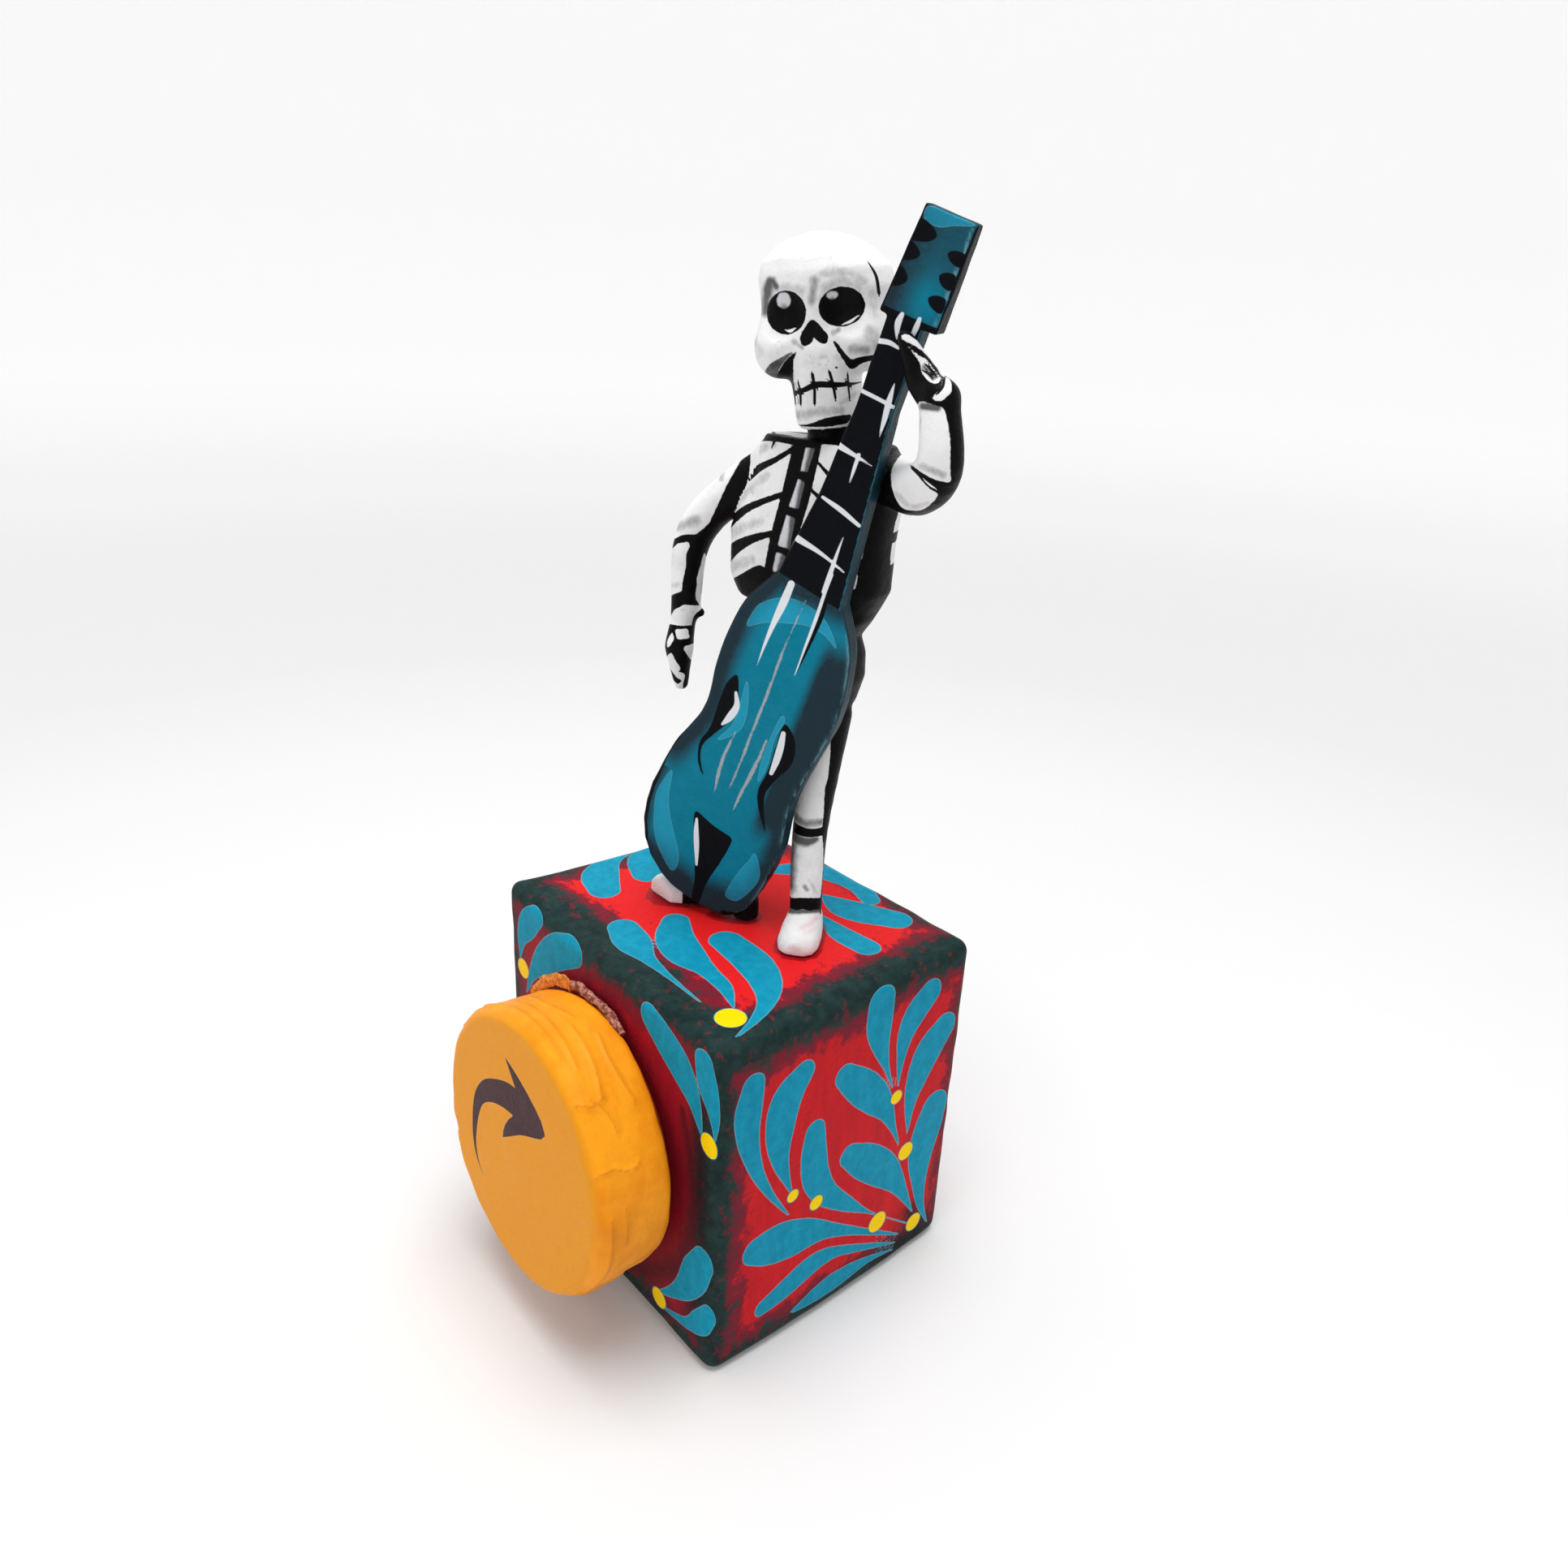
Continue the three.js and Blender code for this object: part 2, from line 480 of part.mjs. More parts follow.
// Skull: sizes are shares of its half width and of its height
function skull() {
  const axes = leaningAxes(SKULL_FACING_DEGREES, 0, -SKULL_TILT_DEGREES);
  const chin = onBoxTop(CHIN);
  const unit = SKULL_WIDTH / 2;
  const inSkull = (across, ahead, high) => chin.clone()
    .addScaledVector(axes.side, across * unit)
    .addScaledVector(axes.front, ahead * unit)
    .addScaledVector(axes.up, high * SKULL_HEIGHT);
  const loft = (stations, power) => skinOf(stations.map(({ high, wide, ahead, behind }) => {
    const sizes = { half: wide * unit, ahead: ahead * unit, behind: behind * unit };
    return sectionAt(inSkull(0, 0, high), axes, sizes, 24, power);
  }));
  const cranium = loft([
    { high: 0.27, wide: 0.5, ahead: 0.5, behind: 0.35 },
    { high: 0.3, wide: 0.72, ahead: 0.66, behind: 0.6 },
    { high: 0.36, wide: 0.9, ahead: 0.76, behind: 0.8 },
    { high: 0.46, wide: 0.96, ahead: 0.8, behind: 0.9 },
    { high: 0.58, wide: 0.93, ahead: 0.81, behind: 0.97 },
    { high: 0.7, wide: 0.97, ahead: 0.86, behind: 1 },
    { high: 0.8, wide: 0.94, ahead: 0.84, behind: 1 },
    { high: 0.88, wide: 0.83, ahead: 0.75, behind: 0.9 },
    { high: 0.945, wide: 0.63, ahead: 0.57, behind: 0.7 },
    { high: 0.985, wide: 0.36, ahead: 0.32, behind: 0.4 },
    { high: 1, wide: 0.12, ahead: 0.1, behind: 0.14 },
  ], 2.2);
  const jaw = loft([
    { high: 0, wide: 0.44, ahead: 0.62, behind: 0.3 },
    { high: 0.03, wide: 0.51, ahead: 0.7, behind: 0.36 },
    { high: 0.17, wide: 0.53, ahead: 0.76, behind: 0.4 },
    { high: 0.22, wide: 0.54, ahead: 0.79, behind: 0.4 },
    { high: 0.33, wide: 0.53, ahead: 0.85, behind: 0.4 },
    { high: 0.42, wide: 0.46, ahead: 0.86, behind: 0.4 },
    { high: 0.49, wide: 0.36, ahead: 0.78, behind: 0.4 },
    { high: 0.55, wide: 0.24, ahead: 0.6, behind: 0.4 },
  ], 2.6);
  const cheek = (hand) => (
    egg(inSkull(hand * 0.66, 0.34, 0.43), axes, unit * 0.38, unit * 0.48, SKULL_HEIGHT * 0.155));
  const socket = (hand) => (
    egg(inSkull(hand * 0.52, 0.96, 0.595), axes, unit * 0.46, unit * 0.3, SKULL_HEIGHT * 0.155));
  const neckFoot = onBoxTop([SHOULDERS[0], SHOULDERS[1], SHOULDERS[2] - 3]);
  const neck = limb([neckFoot, inSkull(0, -0.05, 0.1)], NECK_RADII, 12, 2);
  return joined([cranium, cheek(-1), cheek(1)])
    .subtract(socket(-1))
    .subtract(socket(1))
    .add(jaw)
    .add(neck);
}

// Left hand round the neck of the bass, its fingers over the front
function leftHand() {
  const palm = onBass(BASS_NECK_DRIFT + BASS_NECK_TOP_WIDTH, bassNeckTop - GRIP_BELOW_HEAD, -0.5);
  const fingertips = onBass(0.6, bassNeckTop - FINGERTIPS_BELOW_HEAD, LEFT_HAND_RADII[2]);
  return limb([onBoxTop(LEFT_WRIST), palm, fingertips], LEFT_HAND_RADII, 10, 6);
}

// The whole figure in one piece, hollowed where the bass leans on it
function skeleton() {
  const along = (joints, radii, sides, steps) => limb(joints.map(onBoxTop), radii, sides, steps);
  const leg = (hip, knee, ankle) => (
    along([hip, knee, ankle, [ankle[0], ankle[1], ankle[2] / 2]], LEG_RADII, 12, 8));
  const elbowBend = [LEFT_SHOULDER, LEFT_WRIST].map((end) => (
    LEFT_ELBOW.map((value, axis) => lerp(value, end[axis], 0.34))));
  const whole = joined([
    torso(),
    skull(),
    leg(LEFT_HIP, LEFT_KNEE, LEFT_ANKLE),
    leg(RIGHT_HIP, RIGHT_KNEE, RIGHT_ANKLE),
    foot(LEFT_ANKLE, LEFT_FOOT_POINTING_DEGREES),
    foot(RIGHT_ANKLE, RIGHT_FOOT_POINTING_DEGREES),
    along([RIGHT_SHOULDER, RIGHT_ELBOW, RIGHT_WRIST], RIGHT_ARM_RADII, 12, 10),
    along([RIGHT_WRIST, RIGHT_PALM, RIGHT_FINGERTIPS], RIGHT_HAND_RADII, 10, 6),
    along([RIGHT_WRIST, RIGHT_THUMB], THUMB_RADII, 8, 2),
    along([LEFT_SHOULDER, ...elbowBend, LEFT_WRIST], LEFT_ARM_RADII, 12, 12),
    leftHand(),
  ]);
  return whole.subtract(doubleBass(GLUE_GAP));
}

const object = new THREE.Group();
object.add(meshOf(musicBox(), 'music_box', 0xb02a2e, 0.75));
object.add(meshOf(windingKnob(), 'winding_knob', 0xe09a35, 0.6));
object.add(meshOf(skeleton(), 'skeleton', 0xf2f0ec, 0.55));
object.add(meshOf(doubleBass(0), 'double_bass', 0x1f7c92, 0.5));

export default object;
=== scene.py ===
"""Looks of a painted skeleton that plays a double bass on top of a music box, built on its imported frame.

Every size is a real size in millimetres and becomes metres where a mesh is made. The figure and the bass grow
as fields of distances on a grid, the box from a fine net of points, and the knob from Geometry Nodes. The paint
is drawn as distances from each brush stroke, kept at the points of the meshes, which the finishes read.
"""

import logging
from collections.abc import Iterator, Sequence
from dataclasses import dataclass, field
from enum import Enum

import bmesh
import bpy
import numpy as np
from mathutils import Matrix, Vector


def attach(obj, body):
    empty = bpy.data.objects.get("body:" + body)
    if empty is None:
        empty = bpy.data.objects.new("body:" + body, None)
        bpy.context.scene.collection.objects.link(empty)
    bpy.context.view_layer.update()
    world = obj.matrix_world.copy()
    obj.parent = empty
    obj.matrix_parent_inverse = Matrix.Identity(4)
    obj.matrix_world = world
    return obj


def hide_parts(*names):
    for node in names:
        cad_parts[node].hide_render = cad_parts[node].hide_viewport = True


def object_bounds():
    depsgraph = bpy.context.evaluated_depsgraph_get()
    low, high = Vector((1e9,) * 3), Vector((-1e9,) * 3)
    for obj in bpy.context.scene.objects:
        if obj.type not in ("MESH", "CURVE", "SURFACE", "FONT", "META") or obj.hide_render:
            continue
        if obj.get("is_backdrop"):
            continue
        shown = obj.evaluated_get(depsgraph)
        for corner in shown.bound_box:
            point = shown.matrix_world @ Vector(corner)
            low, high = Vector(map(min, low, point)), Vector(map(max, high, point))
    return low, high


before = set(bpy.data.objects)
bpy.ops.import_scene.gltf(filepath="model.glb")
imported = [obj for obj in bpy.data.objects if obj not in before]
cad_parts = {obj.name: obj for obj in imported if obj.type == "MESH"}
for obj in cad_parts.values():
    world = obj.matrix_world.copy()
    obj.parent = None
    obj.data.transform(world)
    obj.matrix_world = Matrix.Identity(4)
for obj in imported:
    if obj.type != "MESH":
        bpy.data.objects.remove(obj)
CAD_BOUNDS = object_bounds()

LOG = logging.getLogger("music_box_figure")
MM = 0.001
BOX_TOP = 86.0
GLUE_GAP = 0.3
FAR = 9.0
# Half width under which a stroke keeps its offset, and what stands for the half width of the others
THIN, NOT_THIN = 0.8, -3.0
# Reach of the distances round a shape, and round a stroke
SHAPE_REACH, STROKE_REACH = 3.0, 4.0
BLOCK_POINTS = 400_000
SPINE_STEPS = 6

# An outline holds across and up of its corners; a spine holds across, up and half width along a brush stroke
Array = np.ndarray
Outline = Sequence[tuple[float, float]]
Place = Colour = tuple[float, float, float]
Spine = Places = Sequence[Place]
Outlines, Spines = Sequence[Outline], Sequence[Spine]
Number = "Value | float"
Piece = bpy.types.Object
Material = bpy.types.Material
Socket = bpy.types.NodeSocket


class Body(Enum):
    """The two bodies that pieces ride on."""

    CASE = "case"
    KNOB = "knob"


class Slot(Enum):
    """Names of material slots."""

    BOX = "painted_box"
    PAPER = "ochre_paper"
    BONE = "bone_white"
    BASS = "bass_blue"


class Side(Enum):
    """Side faces of the box, by the direction that they look in."""

    TOP = "top"
    RIGHT = "right"
    FRONT = "front"
    LEFT = "left"
    BACK = "back"


def smoothstep(value: Array, low: float, high: float) -> Array:
    """Eases numbers from 0 at one limit to 1 at the other."""
    share = np.clip((value - low) / (high - low), 0, 1)
    return share * share * (3 - 2 * share)


def unit(vector: Array) -> Array:
    """Scales a vector to length 1."""
    return vector / np.linalg.norm(vector)


@dataclass(frozen=True)
class Axes:
    """A place with its own side, up and front directions."""

    origin: Array
    side: Array
    up: Array
    front: Array

    @classmethod
    def leaning(cls, origin: Sequence[float], facing: float, lean_back: float = 0.0, roll: float = 0.0) -> "Axes":
        """Axes that face a compass direction, then lean back and roll to the side.

        Args:
            origin: Place in millimetres.
            facing: Degrees that the front turns from -Y towards +X.
            lean_back: Degrees that the top leans away from the front.
            roll: Degrees that the top rolls towards the side.

        Returns:
            The axes.
        """
        turn, lean, tip = np.radians([facing, lean_back, roll])
        side = np.array([np.cos(turn), np.sin(turn), 0])
        ahead = np.array([np.sin(turn), -np.cos(turn), 0])
        vertical = np.array([0, 0, 1])
        front = ahead * np.cos(lean) + vertical * np.sin(lean)
        up = vertical * np.cos(lean) - ahead * np.sin(lean)
        rolled_side = side * np.cos(tip) - up * np.sin(tip)
        rolled_up = up * np.cos(tip) + side * np.sin(tip)
        return cls(np.asarray(origin, float), rolled_side, rolled_up, front)

    def place(self, across: float, up: float, out: float) -> Array:
        """Point at distances along the three directions."""
        return self.origin + self.side * across + self.up * up + self.front * out

    def world(self, points: Array) -> Array:
        """Places of points that are given along the three directions."""
        return self.origin + points @ np.stack([self.side, self.up, self.front])

    def seen(self, points: Array, flat: float, slant: tuple[float, float]) -> tuple[Array, Array, Array]:
        """Local places, across and up carried by a slant to the plane `flat` that strokes were drawn on."""
        across, up, out = self.local(points)
        return across + (flat - out) * slant[0], up + (flat - out) * slant[1], out

    def local(self, points: Array) -> tuple[Array, Array, Array]:
        """Distances of points along the side, up and front directions."""
        offset = points - self.origin
        return offset @ self.side, offset @ self.up, offset @ self.front


def smooth_path(points: Sequence[Sequence[float]], steps: int) -> Array:
    """Centripetal curve through points, at even steps of its share.

    Args:
        points: Two or more points of any dimension.
        steps: Number of stretches of the result.

    Returns:
        Array of steps + 1 points.
    """
    knots = np.asarray(points, float)
    padded = np.vstack([2 * knots[0] - knots[1], knots, 2 * knots[-1] - knots[-2]])
    result = []
    for step in range(steps + 1):
        place = (len(knots) - 1) * step / steps
        index = min(int(place), len(knots) - 2)
        share = place - index
        before, start, end, after = padded[index:index + 4]
        gaps = [max(np.linalg.norm(b - a) ** 0.5, 1e-4) for a, b in ((before, start), (start, end), (end, after))]
        leave = (start - before) / gaps[0] - (end - before) / (gaps[0] + gaps[1]) + (end - start) / gaps[1]
        arrive = (end - start) / gaps[1] - (after - start) / (gaps[1] + gaps[2]) + (after - end) / gaps[2]
        leave, arrive = leave * gaps[1], arrive * gaps[1]
        square, cube = share * share, share ** 3
        result.append(start * (2 * cube - 3 * square + 1) + leave * (cube - 2 * square + share)
                      + end * (3 * square - 2 * cube) + arrive * (cube - square))
    return np.array(result)


def value_noise(points: Array, size: float, seed: int) -> Array:
    """Smooth random numbers over space.

    Args:
        points: Places in millimetres, the last axis of length 3.
        size: Distance between two random values.
        seed: Chooses another pattern.

    Returns:
        Numbers between -1 and 1.
    """
    table = np.random.default_rng(seed).uniform(-1, 1, (32, 32, 32))
    cell = points / size
    base = np.floor(cell).astype(int)
    share = cell - base
    share = share * share * (3 - 2 * share)
    total = np.zeros(points.shape[:-1])
    for corner in np.ndindex(2, 2, 2):
        weight = np.ones(points.shape[:-1])
        for axis, step in enumerate(corner):
            weight = weight * (share[..., axis] if step else 1 - share[..., axis])
        spots = tuple((base[..., axis] + step) % 32 for axis, step in enumerate(corner))
        total += weight * table[spots]
    return total


def lumps(points: Array, broad: float, fine: float, seed: int) -> Array:
    """Noise of two sizes that dents more than it lifts, as a column."""
    return (0.6 * value_noise(points, broad, seed) + 0.4 * value_noise(points, fine, seed + 1))[:, None] - 0.4


class Volume:
    """Signed distances on a grid, from which a solid's skin is drawn: negative inside, in millimetres."""

    def __init__(self, low: Sequence[float], high: Sequence[float], cell: float, axes: Axes | None = None) -> None:
        """Starts with nothing inside.

        Args:
            low: Lowest corner of the grid.
            high: Highest corner of the grid.
            cell: Distance between two points of the grid.
            axes: Axes that the grid is laid along, if not those of the box.
        """
        self.cell = cell
        self.axes = axes
        self.low = np.asarray(low, float)
        size = np.ceil((np.asarray(high) - self.low) / cell).astype(int) + 1
        self.field = np.full(size, FAR, np.float32)

    def _placed(self, points: Array) -> Array:
        """Points of the grid in the frame of the box."""
        return self.axes.world(points) if self.axes else points

    def _blocks(self, shape: "Shape", margin: float) -> Iterator[tuple[tuple[slice, ...], Array]]:
        """Yields slices and points of blocks of the grid round a shape.

        Args:
            shape: Shape that the blocks have to hold.
            margin: Room left round it.

        Returns:
            Slices of each block and the places of its points.
        """
        low, high = shape.reach()
        size = np.array(self.field.shape)
        start, stop = np.zeros(3, int), size
        if self.axes is None:
            start = np.clip(np.floor((low - margin - self.low) / self.cell).astype(int), 0, size)
            stop = np.clip(np.ceil((high + margin - self.low) / self.cell).astype(int) + 1, 0, size)
        depth = max(BLOCK_POINTS // max(int((stop - start)[0] * (stop - start)[1]), 1), 1)
        for level in range(start[2], stop[2], depth):
            part = (slice(start[0], stop[0]), slice(start[1], stop[1]), slice(level, min(level + depth, stop[2])))
            ranges = [self.low[axis] + self.cell * np.arange(part[axis].start, part[axis].stop) for axis in range(3)]
            yield part, self._placed(np.stack(np.meshgrid(*ranges, indexing="ij"), axis=-1))

    def add(self, shape: "Shape", blend: float = 0.0) -> None:
        """Joins a shape to the solid.

        Args:
            shape: Shape with its reach and distances.
            blend: Width over which the two skins flow together.
        """
        for part, points in self._blocks(shape, SHAPE_REACH):
            new, old = shape.distance(points), self.field[part]
            joined = np.minimum(old, new)
            if blend:
                joined = joined - np.maximum(blend - np.abs(old - new), 0) ** 2 / (4 * blend)
            self.field[part] = joined

    def cut(self, shape: "Shape", margin: float = 0.0) -> None:
        """Takes a shape, grown by a margin, away from the solid."""
        for part, points in self._blocks(shape, SHAPE_REACH + margin):
            self.field[part] = np.maximum(self.field[part], margin - shape.distance(points))

    def soften(self, passes: int) -> None:
        """Rounds the edges of the solid by averaging neighbours along each axis."""
        for _ in range(passes):
            for axis in range(3):
                before, after = np.roll(self.field, 1, axis), np.roll(self.field, -1, axis)
                self.field = 0.25 * before + 0.5 * self.field + 0.25 * after

    def skin(self) -> tuple[Array, Array]:
        """Draws the skin with one point in each cell that the surface crosses.

        Returns:
            Points in millimetres and quads that face outwards.
        """
        values = self.field
        inside = values < 0
        count = np.zeros(np.array(values.shape) - 1, np.int8)
        for corner in np.ndindex(2, 2, 2):
            count += inside[tuple(slice(step, size - 1 + step) for step, size in zip(corner, values.shape))]
        cells = np.argwhere((count > 0) & (count < 8))
        index = np.full(count.shape, -1, np.int64)
        index[tuple(cells.T)] = np.arange(len(cells))
        total = np.zeros((len(cells), 3))
        crossed = np.zeros(len(cells))
        for axis in range(3):
            for first in np.ndindex(2, 2):
                start = np.insert(first, axis, 0)
                stop = np.insert(first, axis, 1)
                low, high = values[tuple((cells + start).T)], values[tuple((cells + stop).T)]
                cross = (low < 0) != (high < 0)
                share = np.where(cross, low / np.where(cross, low - high, 1), 0)
                total += np.where(cross[:, None], start + share[:, None] * (stop - start), 0)
                crossed += cross
        points = self._placed(self.low + self.cell * (cells + total / crossed[:, None]))
        quads = []
        for axis in range(3):
            one, two = (axis + 1) % 3, (axis + 2) % 3
            low = np.take(inside, range(values.shape[axis] - 1), axis)
            high = np.take(inside, range(1, values.shape[axis]), axis)
            edges = np.argwhere(low != high)
            edges = edges[(edges[:, one] > 0) & (edges[:, two] > 0)]
            leaving = low[tuple(edges.T)]
            ring = []
            for step_one, step_two in ((1, 1), (0, 1), (0, 0), (1, 0)):
                spot = edges.copy()
                spot[:, one] -= step_one
                spot[:, two] -= step_two
                spot = np.minimum(spot, np.array(index.shape) - 1)
                ring.append(index[tuple(spot.T)])
            ring = np.stack(ring, axis=1)
            quads.append(np.where(leaving[:, None], ring, ring[:, ::-1]))
        return points, np.concatenate(quads)


    def piece(self, name: str, roughening: float) -> Piece:
        """Turns the skin into a piece with an uneven surface.

        Args:
            name: Name of the piece.
            roughening: Depth of the unevenness.

        Returns:
            The piece.
        """
        points, quads = self.skin()
        points = smoothed(points, quads, 2)
        points += unevenness(points, quads, roughening)
        points[:, 2] = np.maximum(points[:, 2], BOX_TOP + GLUE_GAP / 3)
        return new_piece(name, points, quads)


class Shape:
    """Something that a volume can grow or lose, measured in millimetres, its distances negative inside."""

    def reach(self) -> tuple[Array, Array]:
        """Lowest and highest corner."""
        raise NotImplementedError

    def distance(self, points: Array) -> Array:
        """Signed distance of points."""
        raise NotImplementedError


@dataclass(frozen=True)
class Limb(Shape):
    """Round limb along a smooth path, with a radius at each point of the path."""

    points: Sequence[Sequence[float]]
    radii: Sequence[float]
    steps: int = 16

    def rod(self) -> tuple[Array, Array]:
        """Centres and radii along the limb."""
        path = smooth_path(self.points, self.steps)
        share = np.linspace(0, len(self.radii) - 1, self.steps + 1)
        return path, np.interp(share, range(len(self.radii)), self.radii)

    def reach(self) -> tuple[Array, Array]:
        """Lowest and highest corner."""
        path, radii = self.rod()
        return (path - radii[:, None]).min(0), (path + radii[:, None]).max(0)

    def distance(self, points: Array) -> Array:
        """Signed distance of points."""
        return self.measure(points)[0]

    def measure(self, points: Array) -> tuple[Array, Array]:
        """Signed distance and the place along the limb.

        Args:
            points: Places in millimetres.

        Returns:
            Signed distance, and the share of the path from 0 to 1 at the nearest point.
        """
        path, radii = self.rod()
        nearest = np.full(points.shape[:-1], np.inf)
        along = np.zeros(points.shape[:-1])
        for step in range(self.steps):
            start, stretch = path[step], path[step + 1] - path[step]
            share = np.clip((points - start) @ stretch / (stretch @ stretch), 0, 1)
            gap = np.linalg.norm(points - start - share[..., None] * stretch, axis=-1)
            gap = gap - (radii[step] + share * (radii[step + 1] - radii[step]))
            closer = gap < nearest
            nearest = np.where(closer, gap, nearest)
            along = np.where(closer, (step + share) / self.steps, along)
        return nearest, along


@dataclass(frozen=True)
class Egg(Shape):
    """Egg with its own axes and half sizes."""

    axes: Axes
    half_width: float
    half_height: float
    half_depth: float

    def reach(self) -> tuple[Array, Array]:
        """Lowest and highest corner."""
        most = max(self.half_width, self.half_height, self.half_depth)
        return self.axes.origin - most, self.axes.origin + most

    def distance(self, points: Array) -> Array:
        """Signed distance.

        Args:
            points: Places in millimetres.

        Returns:
            One distance for each place.
        """
        across, up, out = self.axes.local(points)
        scaled = np.sqrt((across / self.half_width) ** 2 + (up / self.half_height) ** 2
                         + (out / self.half_depth) ** 2)
        return (scaled - 1) * min(self.half_width, self.half_height, self.half_depth)


@dataclass(frozen=True)
class Loft(Shape):
    """Rounded-square sections stacked along the up direction of its axes.

    Each station holds its height, its shift to the side and to the front, its half width, and its depth
    ahead and behind.
    """

    axes: Axes
    stations: Sequence[tuple[float, float, float, float, float, float]]
    power: float

    def reach(self) -> tuple[Array, Array]:
        """Lowest and highest corner."""
        table = np.array(self.stations)
        wide = np.abs(table[:, 1:]).max() + 3
        ends = [self.axes.place(0, height, 0) for height in (table[0, 0], table[-1, 0])]
        return np.min(ends, axis=0) - wide, np.max(ends, axis=0) + wide

    def section(self, up: Array) -> list[Array]:
        """Shifts and sizes of the section at heights."""
        table = np.array(self.stations)
        return [np.interp(up, table[:, 0], table[:, column]) for column in range(1, 6)]

    def distance(self, points: Array) -> Array:
        """Signed distance.

        Args:
            points: Places in millimetres.

        Returns:
            One distance for each place.
        """
        across, up, out = self.axes.local(points)
        shift, ahead_shift, half, ahead, behind = self.section(up)
        out = out - ahead_shift
        depth = np.where(out > 0, ahead, behind)
        round_part = (np.abs((across - shift) / half) ** self.power
                      + np.abs(out / depth) ** self.power) ** (1 / self.power)
        ends = np.maximum(up - self.stations[-1][0], self.stations[0][0] - up)
        return np.maximum((round_part - 1) * np.minimum(half, depth), ends)


@dataclass(frozen=True)
class Foot(Shape):
    """Foot with a flat sole, its heel behind the ankle."""

    ankle: Place
    pointing: float
    length: float = 17.6
    width: float = 9.6
    sole_edge: float = 1.0
    stations: Places = (
        (-0.3, 0.45, 0.55), (-0.22, 0.8, 0.85), (0, 0.92, 0.98), (0.23, 1, 0.82), (0.46, 1, 0.7),
        (0.62, 0.83, 0.56), (0.7, 0.42, 0.37))

    def axes(self) -> Axes:
        """Axes on the sole under the ankle."""
        return Axes.leaning((self.ankle[0], self.ankle[1], BOX_TOP + GLUE_GAP), self.pointing)

    def reach(self) -> tuple[Array, Array]:
        """Lowest and highest corner."""
        sole = self.axes().origin
        return sole - self.length, sole + np.array([self.length, self.length, self.ankle[2] + 1])

    def distance(self, points: Array) -> Array:
        """Signed distance.

        Args:
            points: Places in millimetres.

        Returns:
            One distance for each place.
        """
        across, up, out = self.axes().local(points)
        table = np.array(self.stations)
        ahead = table[:, 0] * self.length
        half = np.interp(out, ahead, table[:, 1]) * self.width / 2
        rise = np.interp(out, ahead, table[:, 2]) * self.ankle[2] - self.sole_edge
        dome = np.sqrt((across / half) ** 2 + (np.maximum(up - self.sole_edge, 0) / rise) ** 2)
        ends = np.maximum(out - ahead[-1], ahead[0] - out)
        return np.maximum.reduce([(dome - 1) * np.minimum(half, rise), -up, ends])


def smoothed(points: Array, quads: Array, passes: int) -> Array:
    """Evens a skin without shrinking it.

    Args:
        points: Points of the skin.
        quads: Its faces.
        passes: Number of pairs of a shrinking and a growing step.

    Returns:
        The moved points.
    """
    ends = np.concatenate([quads[:, [side, (side + 1) % 4]] for side in range(4)])
    count = np.bincount(ends[:, 0], minlength=len(points)) + np.bincount(ends[:, 1], minlength=len(points))
    count = np.maximum(count, 1)[:, None]
    for step in [0.5, -0.52] * passes:
        total = np.stack([
            np.bincount(ends[:, 0], points[ends[:, 1], axis], len(points))
            + np.bincount(ends[:, 1], points[ends[:, 0], axis], len(points)) for axis in range(3)], axis=1)
        points = points + step * (total / count - points)
    return points


def unevenness(points: Array, quads: Array, depth: float) -> Array:
    """Moves of a skin along its directions that give it the uneven surface of pasted and brushed paper.

    Args:
        points: Points of the skin.
        quads: Its faces.
        depth: Largest move in millimetres.

    Returns:
        One move for each point.
    """
    one, two, three, four = (points[quads[:, corner]] for corner in range(4))
    tilt = np.cross(three - one, four - two)
    outward = np.stack([sum(np.bincount(quads[:, corner], tilt[:, axis], len(points)) for corner in range(4))
                        for axis in range(3)], axis=1)
    outward /= np.maximum(np.linalg.norm(outward, axis=1, keepdims=True), 1e-9)
    return outward * lumps(points, 5.5, 2.2, 21) * depth


def ring_faces(rows: int, sides: int) -> list[Sequence[int]]:
    """Faces between rows of points that lie in rings."""
    return [(row + a, row + (a + 1) % sides, row + sides + (a + 1) % sides, row + sides + a)
            for row in range(0, (rows - 1) * sides, sides) for a in range(sides)]


def new_piece(name: str, points: Array, faces: Sequence[Sequence[int]], edges: Sequence[Sequence[int]] = ()) -> Piece:
    """Makes a smooth mesh object at the origin.

    Args:
        name: Name of the object.
        points: Places in millimetres.
        faces: Corners of each face, counter-clockwise from outside.
        edges: Ends of each edge, where there are no faces yet.

    Returns:
        The object.
    """
    mesh = bpy.data.meshes.new(name)
    mesh.from_pydata((np.asarray(points) * MM).tolist(), edges, [list(map(int, face)) for face in faces])
    mesh.polygons.foreach_set("use_smooth", np.ones(len(mesh.polygons), bool))
    mesh.update()
    piece = bpy.data.objects.new(name, mesh)
    bpy.context.scene.collection.objects.link(piece)
    return piece


def places(piece: Piece) -> Array:
    """Points of a piece in millimetres."""
    flat = np.zeros(len(piece.data.vertices) * 3, np.float32)
    piece.data.vertices.foreach_get("co", flat)
    return flat.reshape(-1, 3).astype(float) / MM


def directions(piece: Piece) -> Array:
    """Outward directions at the points of a piece."""
    flat = np.zeros(len(piece.data.vertices) * 3, np.float32)
    piece.data.vertices.foreach_get("normal", flat)
    return flat.reshape(-1, 3).astype(float)


def move_points(piece: Piece, points: Array) -> None:
    """Puts the points of a piece at new places in millimetres."""
    piece.data.vertices.foreach_set("co", (points * MM).astype(np.float32).ravel())
    piece.data.update()


